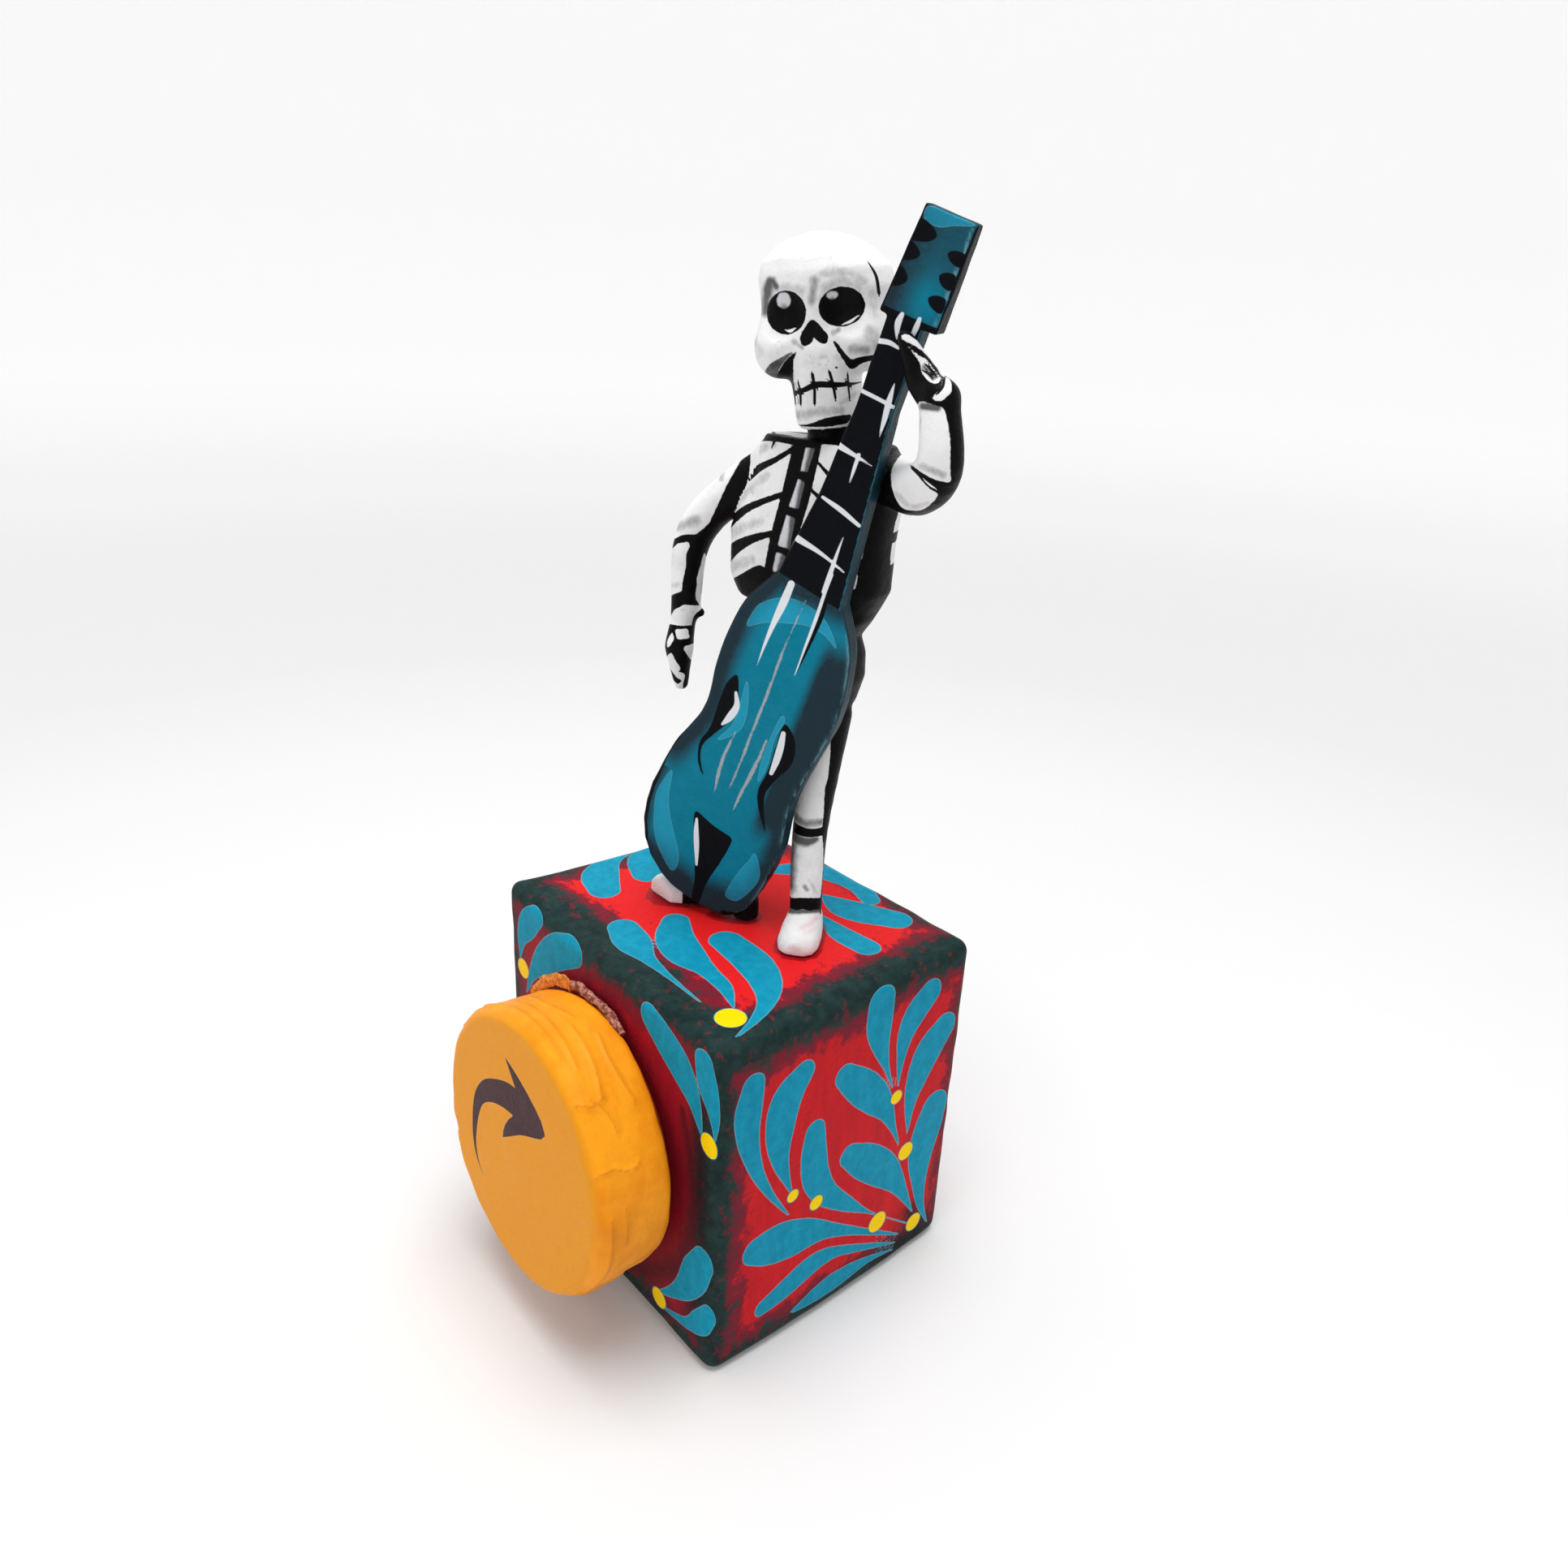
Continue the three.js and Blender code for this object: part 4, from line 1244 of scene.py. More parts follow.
@dataclass(frozen=True)
class BassShape(Shape):
    """The flat cut-out of the bass: body, neck, headstock and end pin, with its own axes at the body's foot."""

    axes: Axes = field(default_factory=lambda: Axes.leaning((-6.9, -8.9, BOX_TOP + 3.3), 27.0, -2.0, 18.8))
    body_length: float = 83.0
    neck_length: float = 53.0
    head_length: float = 19.0
    lower_height: float = 24.0
    lower_bout: float = 34.0
    waist_height: float = 48.0
    waist: float = 27.6
    upper_height: float = 60.0
    upper_bout: float = 29.3
    neck_base: float = 15.2
    neck_middle: float = 10.3
    neck_top: float = 7.3
    neck_drift: float = -1.0
    head_base: float = 11.7
    head_top: float = 10.3
    thickness: float = 6.0
    neck_thickness: float = 6.4
    head_base_thickness: float = 6.2
    head_top_thickness: float = 4.2
    belly: float = 1.2
    pin_radius: float = 3.0
    pin_place: float = 12.0

    @property
    def neck_end(self) -> float:
        """Height where the neck meets the headstock."""
        return self.body_length + self.neck_length

    def outline(self) -> Array:
        """Rows of height, half width and sideways shift of the body, from its bottom to its top."""
        lower_drift, bottom_drift, upper_drift, blunt = -0.9, 3.2, 1.5, 2.65
        rows = []
        for share in (1, 0.998, 0.985, 0.95, 0.88, 0.76, 0.6, 0.4, 0.2):
            rows.append((self.lower_height * (1 - share),
                         self.lower_bout / 2 * max(1 - share ** blunt, 0.0008) ** (1 / blunt),
                         lower_drift + (bottom_drift - lower_drift) * share ** 3.5))
        flank = (self.lower_height + self.waist_height) / 2
        shoulder = self.upper_height + (self.body_length - self.upper_height) * 0.6
        upper = smooth_path([
            (self.lower_height, self.lower_bout / 2, lower_drift),
            (flank, (self.lower_bout + (self.waist - self.lower_bout) * 0.58) / 2, lower_drift),
            (self.waist_height, self.waist / 2, upper_drift),
            (self.upper_height, self.upper_bout / 2, upper_drift),
            (shoulder, (self.upper_bout + (self.neck_base - self.upper_bout) * 0.28) / 2, upper_drift / 2),
            (self.body_length, self.neck_base / 2, 0)], 60)
        return np.vstack([rows, upper])

    def reach(self) -> tuple[Array, Array]:
        """Lowest and highest corner."""
        corners = [self.axes.place(across, up, out) for across in (-20, 20)
                   for up in (-3, self.neck_end + self.head_length) for out in (-8, 3)]
        return np.min(corners, axis=0), np.max(corners, axis=0)

    def distance(self, points: Array) -> Array:
        """Signed distance.

        Args:
            points: Places in millimetres.

        Returns:
            One distance for each place.
        """
        across, up, out = self.axes.local(points)
        rows = self.outline()
        half = np.interp(up, rows[:, 0], rows[:, 1])
        lean = np.interp(up, rows[1:, 0], np.abs(np.diff(rows[:, 1]) / np.maximum(np.diff(rows[:, 0]), 1e-3)))
        beside = np.abs(across - np.interp(up, rows[:, 0], rows[:, 2])) - half
        share = np.clip(1 + beside / np.maximum(half, 1), 0, 1)
        fade = smoothstep((up - self.lower_height) / (self.body_length - self.lower_height), 0.75, 1)
        rise = self.belly * (1 - fade) * smoothstep(up, 0, 12) * (1 - share ** 2)
        thick = self.thickness + (self.neck_thickness - self.thickness) * fade
        body = self._plate(beside / np.sqrt(1 + lean ** 2), np.maximum(-up, up - self.body_length),
                           out - rise, -thick - out, 1)
        neck = self._slab(across, up, out, (
            (self.body_length - 1, self.neck_base, 0.4, self.neck_thickness),
            (self.body_length + self.neck_length * 0.35, self.neck_middle, self.neck_drift * -0.35,
             self.neck_thickness),
            (self.body_length + self.neck_length * 0.7, self.neck_top, self.neck_drift * 0.5, self.neck_thickness),
            (self.neck_end + 1, self.neck_top, self.neck_drift, self.neck_thickness)))
        head = self._slab(across, up, out, (
            (self.neck_end, self.head_base, self.neck_drift / 2, self.head_base_thickness),
            (self.neck_end + self.head_length, self.head_top, 0, self.head_top_thickness)))
        top = self.axes.place(self.pin_place, self.lower_height / 4, self.pin_radius / 2 - self.thickness)
        round_pin = np.linalg.norm(points[..., :2] - top[:2], axis=-1) - self.pin_radius
        pin = np.maximum.reduce([round_pin, points[..., 2] - top[2], BOX_TOP + GLUE_GAP - points[..., 2]])
        return np.minimum.reduce([body, neck, head, pin])

    @staticmethod
    def _plate(beside: Array, ends: Array, front: Array, back: Array, relief: float) -> Array:
        """Distance to a plate whose edges are rounded by a relief."""
        parts = np.stack([np.maximum(beside, ends), np.maximum(front, back)]) + relief
        return (np.minimum(parts.max(axis=0), 0) - relief
                + np.linalg.norm(np.maximum(parts, 0), axis=0))

    def _slab(self, across: Array, up: Array, out: Array, stations: Sequence[tuple[float, ...]]) -> Array:
        """Distance to a straight-edged slab through stations of height, width, shift and thickness."""
        table = np.array(stations)
        width, shift, thick = (np.interp(up, table[:, 0], table[:, column]) for column in (1, 2, 3))
        beside = np.abs(across - shift) - width / 2
        return self._plate(beside, np.maximum(table[0, 0] - up, up - table[-1, 0]), out, -thick - out, 0.5)


SOUND_HOLES: Outlines = (
    ((-7.2, 59), (-8.7, 56.7), (-9.1, 52.7), (-9, 44.7), (-10, 40.7), (-9.3, 36.7), (-7.7, 34), (-6.3, 33.1),
     (-7.6, 34.9), (-8.8, 37.4), (-9.1, 40), (-7.7, 43.3), (-5.7, 47.3), (-4.8, 51.3), (-5.7, 56)),
    ((6.8, 54.2), (6, 52.7), (6.4, 48), (6.7, 42), (6.3, 36.7), (7.7, 32.7), (10, 29.3), (11.5, 27.2), (10.2, 30.2),
     (8.9, 33.2), (8.1, 36.7), (9, 40.7), (10.6, 44.7), (10.9, 48), (9.6, 51.7)))
TAILPIECE: Outline = (
    (-5.3, 23.7), (-2.6, 23.5), (-0.7, 23), (1.8, 22.6), (4.6, 22.2), (5.1, 20.3), (4.3, 14), (3.5, 10),
    (3, 6), (2.8, 0), (1, 0.4), (0, 7.3), (-2, 13.3), (-4.3, 19.3))
BASS_LEAVES: Outlines = (
    ((-14, 29.9), (-15.7, 23.3), (-15, 18.7), (-13, 12.7), (-10, 8.7), (-6, 5.5), (-5, 8), (-5.6, 11.2), (-8, 15),
     (-10.6, 18.9), (-12.6, 23.3)),
    ((11, 21.3), (13.3, 18), (14, 14.7), (12.7, 10), (11, 7), (8.3, 7), (8.5, 11), (9.3, 15.3), (10.4, 19)),
    ((-9, 70), (-8.8, 73.4), (-7.7, 76), (-4, 79), (0.7, 80), (6, 78.7), (10.3, 74.5), (7, 76), (3, 76.2), (-2, 74.4),
     (-6, 72.3)),
    ((-4.7, 59), (-2.6, 54), (-2, 49), (-3.6, 45.6), (-6.3, 43), (-4.4, 47.6), (-4.2, 52)),
    ((5, 55), (6.1, 54.6), (5.5, 50), (6.2, 43), (5.6, 38.5), (4.6, 45)),
    ((-4.6, 153.6), (-4.2, 154.5), (-2, 155), (1, 154.9), (4.5, 154.6), (1.3, 153.4), (-1.4, 152.2), (-4, 152.4)))
PEGS: Outlines = tuple(
    ((edge, high + thick), (tip * 0.6 + edge * 0.4, high + thick * 1.1), (tip, high + 0.3),
     (tip * 0.7 + edge * 0.3, high - thick * 0.8), (edge, high - thick * 1.1))
    for edge, tip, high, thick in ((-6.6, -1, 150.5, 1.6), (-6.8, -2.7, 146.8, 1.4), (-7, -3.2, 142.4, 1.6),
                                   (4.9, 1.8, 148.8, 1), (4.7, 1.9, 145, 1.15), (4.6, 1.5, 141, 1.1)))
STRINGS: Spines = (
    ((-3.4, 82.4, 0.75), (-3.5, 78, 0.85), (-3.8, 72, 0.5), (-3.9, 63, 0.05)),
    ((3.6, 88, 0.4), (3.7, 84, 0.35), (4.1, 77, 0.35), (4.5, 65.3, 0.1)),
    ((-6.1, 55.2, 0.35), (-4.9, 52.5, 0.7), (-5.5, 49.3, 0.8), (-6.6, 46.7, 0.25)),
    ((6.8, 52, 0.5), (7.3, 49, 0.75), (7.6, 45.5, 0.75), (7.6, 41.9, 0.45)),
    ((-4.4, 22.2, 0.3), (-3.6, 19.5, 0.6), (-2.3, 16, 0.65), (-0.6, 11, 0.3)),
    ((-1.9, 137.1, 0.4), (-2, 135.5, 0.6), (-1.2, 133, 0.15)),
    ((1.4, 137.6, 0.35), (1.4, 136.2, 0.5), (1.3, 134.6, 0.4)),
    ((-4.3, 131.4, 0.45), (-2.2, 131.9, 0.42), (-0.2, 131.7, 0.25)),
    ((-4.6, 122.3, 0.35), (0, 122.2, 0.35), (3.6, 122, 0.3)),
    ((-4.9, 111.5, 0.65), (-1, 111.1, 0.4), (3.1, 110.7, 0.08)),
    ((-3.7, 101.2, 0.3), (0.5, 100.5, 0.5), (5.1, 99.3, 0.35)),
    ((-5.5, 91.5, 0.7), (0, 90.9, 0.4), (5.7, 89.6, 0.18)),
    ((1.4, 125.9, 0.1), (1.7, 122.6, 0.55), (2.1, 119.6, 0.5), (2.4, 116.1, 0.08)),
    ((0, 111.5, 0.35), (0.1, 109, 0.35), (0.3, 105.9, 0.12)),
    ((3, 95.9, 0.12), (3.1, 92, 0.3), (3.3, 88, 0.48), (3.4, 84, 0.4)))
GREY_STRINGS: Spines = (
    ((0.7, 80.7, 0.05), (0.3, 70, 0.2), (0.5, 60, 0.3), (0.4, 50, 0.3), (0.4, 42, 0.22), (0.2, 33.3, 0.08)),
    ((-3.1, 46.7, 0.1), (-3.6, 40, 0.35), (-3.2, 34, 0.32), (-2.7, 30.7, 0.1)),
    ((4, 48.7, 0.15), (3.8, 42, 0.35), (3.1, 35, 0.3), (2.7, 28.7, 0.12)))
STRING_SHADOW: Spine = ((4.5, 83, 0.4), (4.9, 79, 0.5), (4.8, 72, 0.35), (4.6, 65.5, 0.08))


@dataclass(frozen=True)
class DoubleBass:
    """Painted bass, one flat cut-out of the same material as the figure."""

    shape: BassShape = field(default_factory=BassShape)
    cell: float = 0.33
    roughening: float = 0.13

    def dress(self, piece: Piece) -> None:
        """Paints strings, sound holes, leaves, frets and pegs, the airbrushed sides, and pale streaks with a painted
        highlight along the right edge.

        Args:
            piece: The bare bass.
        """
        shape, points, outward = self.shape, places(piece), directions(piece)
        across, up, out = shape.axes.local(points)
        ahead, beside = outward @ shape.axes.front, outward @ shape.axes.side
        canvas = Canvas(points, ("leaf", "black", "grey", "white", "edge"))
        face = canvas.face(ahead > 0.3, across, up)
        face.patches("black", (*SOUND_HOLES, TAILPIECE, *PEGS))
        face.patches("leaf", BASS_LEAVES)
        face.strokes("white", STRINGS)
        face.strokes("grey", GREY_STRINGS)
        face.stroke("black", STRING_SHADOW)
        rows = shape.outline()
        half, shift = (np.interp(up, rows[:, 0], rows[:, column]) for column in (1, 2))
        left_gap, right_gap = across - shift + half, shift + half - across
        body = up < shape.body_length
        self._airbrush(canvas, across, up, left_gap, right_gap)
        black = canvas.layers["black"]
        outline_width = np.interp(up, [0, 4, 10, 25, 32, 45, 83], [0.3, 0.8, 1.5, 1.2, 0.7, 0.45, 0.4])
        np.minimum(black, np.where(body, left_gap - outline_width, FAR), out=black)
        np.minimum(black, np.where(body, right_gap - 0.5 + np.abs(up - 17) * 0.25, FAR), out=black)
        fretboard = np.maximum(83.5 - 0.0955 * (across + 7) - up, up - shape.neck_end - 0.9)
        np.minimum(black, np.where(beside < 0.55, fretboard, FAR), out=black)
        nut, top = shape.neck_end, shape.neck_end + shape.head_length
        head = np.abs(across - np.interp(up, [nut, top], [-0.5, 0])) - np.interp(up, [nut, top], [5.85, 5.15])
        head_rim = np.maximum(np.where(across < 0, -0.55 - head, FAR), nut - up)
        np.minimum(black, np.where(up > nut, np.minimum(head_rim, up - nut - 1.3), FAR), out=black)
        np.minimum(black, np.where((beside < -0.5) & (ahead < 0.5), -1, FAR), out=black)
        pin = shape.axes.place(shape.pin_place, shape.lower_height / 4, shape.pin_radius / 2 - shape.thickness)
        on_pin = (np.linalg.norm(points[:, :2] - pin[:2], axis=1) < shape.pin_radius + 0.3) & (right_gap < 1)
        black[on_pin | ((points[:, 2] < BOX_TOP + 3) & (across > shape.pin_place - 3.5))] = -1
        canvas.layers["edge"] = np.maximum((ahead - 0.35) * 1.5, -1)
        # Pale line where the right edge of the body turns, partly a painted highlight, and a pale line inside the
        # headstock's right edge
        on_head = (head < -0.3) & (across > 0) & (ahead > 0.6) & (up > nut + 1.5) & (up < top - 0.8)
        canvas.layers["pale_edge_and_highlight"] = np.maximum(np.exp(-((ahead - 0.62) / 0.2) ** 2) * (beside > 0.2) * (0.3 + 0.7 * body),
                                            np.exp(-((head + 0.85) / 0.3) ** 2) * on_head * 1.6)
        on_wall = (up > shape.body_length) & (beside > 0.5)
        black[on_wall & (up > shape.neck_end)] = -1
        canvas.layers["slate"][on_wall] = 0.65
        write_paint(piece, canvas.layers)
        piece.data.materials.append(BassPaint().make())

    def _airbrush(self, canvas: Canvas, across: Array, up: Array, left_gap: Array, right_gap: Array) -> None:
        """Shades the sides, the shoulders and the bottom of the body to slate.

        Args:
            canvas: Canvas of the bass.
            across: Places of its points across the bass.
            up: Places up it.
            left_gap: Distances from the left edge.
            right_gap: Distances from the right edge.
        """
        tall = smoothstep(up, 26, 38)
        left = (1 - smoothstep(left_gap, 1.5, 7.5)) * tall
        right = smoothstep(across, 6.6, 9.8) * smoothstep(-up, -78, -70) * smoothstep(up, 22, 32)
        low_right = (1 - smoothstep(right_gap, 1.5, 6)) * (up < 50)
        top = smoothstep(up, 76.5, 82) * (up < self.shape.body_length)
        low_left = (1 - smoothstep(left_gap, 0.8, 4)) * (up < 30) * 0.8
        bottom = 1 - smoothstep(up - np.abs(across) * 0.3, 3, 12)
        bright = np.exp(-((across - 1.5) / 3.6) ** 2 - ((up - 140.5) / 4.5) ** 2)
        head = (0.62 + 0.2 * smoothstep(-across, -1, 4.5) - 0.6 * bright) * (up > self.shape.neck_end)
        slate = np.maximum.reduce([left, right, low_right * 0.9, top * 0.85, bottom, low_left, head])
        canvas.layers["slate"] = np.where(canvas.layers["leaf"] < 0, slate * 0.35, slate)

    def build(self) -> None:
        """Grows and dresses the bass."""
        top = self.shape.neck_end + self.shape.head_length
        volume = Volume((-18.5, -3, -8), (20, top + 1, 2.5), self.cell, self.shape.axes)
        volume.add(self.shape)
        volume.soften(1)
        piece = volume.piece("double_bass_painted", self.roughening)
        self.dress(piece)
        hand_over(piece, Body.CASE, "double_bass", Slot.BASS)


# Arms and legs are painted on planes that face this compass direction
LIMB_FACING = 48.0
RIGHT_ARM_BLACK: Outline = (
    (7.6, 104), (5.6, 102.6), (4.3, 100.1), (2.8, 97.3), (0.9, 92.9), (-0.7, 89.2), (-1.9, 87.9), (-3.5, 86.5),
    (-6.6, 86.2), (-8.4, 85.3), (-9.6, 82.4), (-7.6, 84.2), (-5.4, 84.7), (-4.9, 83.9), (-5.7, 82), (-5.7, 79.5),
    (-6.5, 75.1), (-6.6, 73.6), (-8.5, 72.7), (-10.4, 71.4), (-10.4, 67), (-9.2, 67.3), (-8.2, 69.2), (-6, 70.5),
    (-2.4, 70.4), (-3.4, 72), (-3.5, 73.2), (-3.2, 75.1), (-3.2, 77), (-2.4, 79.8), (-1.75, 82.6), (-0.4, 80.7),
    (0.6, 79.6), (1.6, 82.6), (0.6, 83.6), (0.4, 85.4), (2.1, 87.75), (4, 89.5), (5.6, 92.6), (6.6, 96.4),
    (7.4, 99.5))
RIGHT_HAND_WHITE: Outlines = (
    ((-7.9, 64.6), (-6.2, 64.9), (-5.2, 65), (-4.9, 63.9), (-4.6, 62.9), (-6, 62.6), (-7.3, 62.5), (-7.7, 63.4)),
    ((-9.7, 61.9), (-9, 63.4), (-8.6, 63.9), (-8.2, 62.6), (-8.7, 61.4), (-9.6, 60.4)),
    ((-6, 60.6), (-4.6, 61.2), (-3.2, 61.5), (-3.1, 59.6), (-4, 57.6), (-4.9, 58.6)),
    ((-10, 57.6), (-8.8, 59.2), (-7.9, 57.6), (-6.6, 55.6), (-7.2, 54.9), (-5.7, 54.3), (-5.9, 52.9), (-7.4, 53.4),
     (-9, 55.4), (-9.9, 56.8)),
    ((-10.4, 55.8), (-9.2, 52.9), (-7.4, 50.6), (-6.2, 50.4), (-5.9, 52.2), (-5.8, 53.3), (-7.2, 51.8), (-9, 53.6)))
THUMB_TIP: Outline = ((-3.8, 67.9), (-1.3, 70.2), (1.5, 70.8), (1.5, 67), (-1.9, 67.1), (-2.6, 66.9), (-4, 65.6))
LEFT_UPPER_ARM: Outline = (
    (-4.75, 111.75), (-7, 111.6), (-8.25, 110), (-9.1, 107.5), (-8.5, 104.5), (-6.75, 101.5), (-4.5, 100.75),
    (-2, 101.4), (0.1, 104), (-1.5, 105.1), (-4, 107.5), (-5, 109.5))
LEFT_FOREARM: Outline = (
    (-4.9, 119.8), (-5.2, 116), (-5.6, 111), (-5.2, 109.3), (-4, 108.4), (-3, 107.75), (-0.5, 106.75),
    (2, 106.5), (2, 108), (1.75, 109.5), (1.25, 114), (0.25, 117.5), (-0.5, 119), (-2, 119.4))
LEFT_HAND_WHITE: Outlines = (
    ((-9, 130.9), (-8, 131.2), (-6, 130.3), (-4.2, 129.1), (-2.4, 127.2), (-0.7, 125), (-1, 124.4), (-2.6, 126.3),
     (-4.4, 128.2), (-6.4, 129.4), (-8.4, 130.2)),
    ((-7.7, 129.3), (-5.7, 127.9), (-4, 127.1), (-2.4, 125.4), (-1.4, 124), (-2.1, 123), (-3.5, 123.6), (-4.8, 125),
     (-5.3, 126.6), (-6.8, 128.3)),
    ((-2.5, 120.6), (-1.25, 122.1), (-0.7, 124.3), (0.4, 123.7), (0.7, 122), (0, 120.9), (-1, 120.1)))
LEFT_HAND_LINES: Spines = (
    ((-4.2, 126.4, 0.15), (-3.2, 125.5, 0.3), (-2.2, 124.4, 0.2)),
    ((-4.6, 125.3, 0.12), (-3.6, 124.8, 0.22), (-2.8, 123.9, 0.15)),
    ((-3.6, 127, 0.1), (-2.4, 125.9, 0.2), (-1.6, 124.7, 0.12)),
    ((-1.6, 121.4, 0.2), (-0.9, 122.6, 0.3), (-0.7, 124, 0.2)))
RIGHT_ARM_SHADES = (
    (((-7.6, 88, 1.6), (-3.8, 89.5, 1.8)), 0.55), (((1.6, 98.5, 1), (1.8, 100.6, 0.9)), 0.5),
    (((-9, 82, 1.2), (-8.6, 79, 1)), 0.3), (((-9.6, 74.6, 1), (-7.6, 75, 1.2)), 0.4),
    (((-1.4, 77, 0.9), (-2, 73.4, 0.8)), 0.5), (((2.6, 84.6, 0.9), (4.4, 87.4, 0.9)), 0.6),
    (((-6.6, 69.4, 0.6), (-3.8, 68.9, 0.6)), 0.35))
ANKLE_BAND: Outline = (
    (-6, 9.3), (-3.4, 9.3), (0, 9.6), (6, 9.8), (6, 7.2), (2.8, 6.7), (1.4, 6.3), (0, 6.7), (-1.7, 6.2),
    (-3.6, 6.9), (-6, 7.4))
STERNUM: Outline = (
    (-3, 109.5), (-4.2, 104), (-5.5, 98), (-7.2, 91.5), (-8.2, 86.7), (-9.2, 80.5), (-6, 79), (-2.4, 88),
    (-0.4, 91.5), (1.4, 98), (2.6, 104), (3.6, 109.5))
STERNUM_BONES: Outlines = (
    ((-0.2, 108), (2, 108), (0.5, 103.2), (-1.1, 103.3)), ((-1.6, 101.5), (0.1, 101.2), (-1.2, 95.6), (-3.5, 95.8)),
    ((-4, 94), (-1.8, 93.7), (-2.8, 87.2), (-5.8, 87.5)), ((-6.1, 86), (-3.6, 85.8), (-5, 82), (-6.8, 81.9)))
RIBS: Spines = (
    ((-2.2, 108.1, 0.5), (-7.25, 104.9, 0.6), (-11.6, 102.6, 0.8), (-14.5, 100.4, 1), (-19, 96.5, 1)),
    ((-4.8, 98.2, 0.55), (-9.1, 96.4, 0.65), (-13.5, 94.3, 0.8), (-16.6, 92.2, 0.95), (-20, 89, 1)),
    ((-7.4, 89.8, 0.6), (-12.25, 87.9, 0.9), (-16.6, 85.4, 1.3), (-20, 82, 1.5)),
    ((3, 105.3, 0.3), (5.5, 103.4, 0.5), (10, 100.8, 0.8), (15, 98.2, 1.4)),
    ((1.2, 100, 0.3), (6, 97.4, 0.7), (11, 95.4, 1.2), (15, 94.2, 1.8)),
    ((-0.5, 91.6, 0.3), (5, 89, 0.8), (10, 87.2, 1.2), (15, 86.3, 1.6)),
    ((-2, 84.6, 0.5), (5, 81.6, 1), (15, 78.4, 1.6)))
LOWEST_RIB: Outline = (
    (-8.4, 82), (-10.4, 82.6), (-13.5, 80.9), (-18.5, 77.2), (-19.5, 73), (-15.7, 73.6), (-14.2, 73.8),
    (-12.4, 75.4), (-9.8, 77.8), (-7.2, 80.2))
BACK_RIBS: Spines = tuple(
    tuple((hand * across, high - fall, half)
          for across, fall, half in ((1.8, 0, 1.2), (8, 0.8, 1.7), (15, 3.4, 2.1), (20, 5.6, 2.2)))
    for hand in (-1, 1) for high in (105, 98, 91))
MOUTH: Spine = ((-6.2, 6.8, 0.25), (-3, 7.7, 0.5), (-0.5, 8.5, 0.6), (2.9, 8.2, 0.55), (5.8, 8, 0.35), (8.3, 7.9, 0.12))
STITCHES: Spines = (
    ((-5, 8.9, 0.15), (-5.05, 5, 0.18)), ((-4.1, 9.3, 0.15), (-3.8, 7.6, 0.25), (-3.9, 5.1, 0.25)),
    ((-1.1, 10.4, 0.35), (-0.9, 8, 0.3), (-1.1, 5.1, 0.3)), ((2.3, 10.5, 0.3), (2.8, 8.2, 0.3), (3.1, 5.6, 0.25)),
    ((5.8, 9.8, 0.2), (5.8, 7.8, 0.22), (5.9, 5.2, 0.18)))
NOSE: Outline = (
    (-0.5, 20.2), (-1.9, 19), (-3, 17.2), (-2.6, 15.9), (-1.6, 15.7), (-0.6, 16.4), (-0.3, 17), (0.3, 16.5),
    (1.2, 15.8), (2.2, 15.9), (2.5, 17.2), (1.6, 18.4), (0.5, 19.8))
CHEEK_HOLLOW: Outline = (
    (-3.9, 14.8), (-4.6, 13.2), (-4.8, 11.6), (-5, 9.8), (-5.2, 7.2), (-6.6, 7.9), (-9.6, 8.6), (-8.4, 10.6),
    (-7.2, 12.2), (-5.6, 13.8))
CHEEK_GREY: Outline = (
    (-4.6, 14.8), (-6.8, 14.1), (-9.2, 13), (-10.8, 11.2), (-11, 9), (-9.4, 8.7), (-8.2, 10.8), (-6.8, 12.8))
CHEEK_FOLD: Outline = (
    (4.8, 14), (6.2, 12.2), (8, 12.6), (11.5, 12.9), (11.5, 12.1), (8.8, 11.7), (6.9, 10.7), (5.6, 11.6))
CHIN: Outline = ((-5, 0.9), (-2.2, 1.3), (0.2, 2), (3.4, 2.4), (6, 2.2), (5.2, 0.8), (2.6, 0.5), (0.2, 0.45))
# Shade on the face: along each line across, up and reach, then its strength
FACE_SHADES = (
    (((-9, 26.4, 1), (-8, 28, 0.8), (-6.8, 26.6, 0.9)), 0.85),
    (((-9.6, 22.4, 1.2), (-8.8, 25.4, 1.5), (-7.4, 27.8, 0.9)), 0.8),
    (((0.8, 27, 1.4), (-0.3, 23.4, 1.1)), 0.6), (((2, 27.9, 1.3), (6.4, 27.8, 1.5), (10.2, 26, 1.2)), 0.42),
    (((-3, 32, 4.2), (5, 32, 4.2)), 0.24), (((11.8, 14.8, 2.2), (10.4, 17.4, 2)), 0.42),
    (((7, 14.4, 1.3), (9.6, 14, 1.2)), 0.6), (((-4.2, 16.6, 0.9), (-2.6, 15.4, 0.6)), 0.55),
    (((3.6, 17.6, 0.8), (4.6, 18, 0.7)), 0.6), (((-4.6, 3, 1.6), (0, 3.4, 1.4), (4, 3.2, 1.4)), 0.5),
    (((-5.6, 6, 0.9), (-5.4, 10.4, 1)), 0.5), (((-2.4, 12.4, 1.5), (1.2, 13.6, 1.6), (4.4, 13, 1.2)), 0.3),
    (((-11, 15, 1.6), (-12.4, 18, 1.8)), 0.35), (((11.4, 24, 1.3), (11.8, 20, 1.4)), 0.35),
    (((4, 4.6, 0.9), (7.4, 6, 1)), 0.4))
# For each eye: its oval, the oval of its light spot, and the crescent of light below it
EYES = (
    ((-5.3, 21.9, 3.9, 3.9), (-5.6, 24.1, 1.35, 1.4), ((-5.4, 18.7, 0.15), (-4.7, 18.6, 0.3), (-4, 18.9, 0.15))),
    ((5.5, 22, 4.5, 3.5), (3.8, 24.2, 1.1, 0.65), ((5.6, 18.95, 0.12), (7, 19.3, 0.25), (8.4, 20.1, 0.1))))
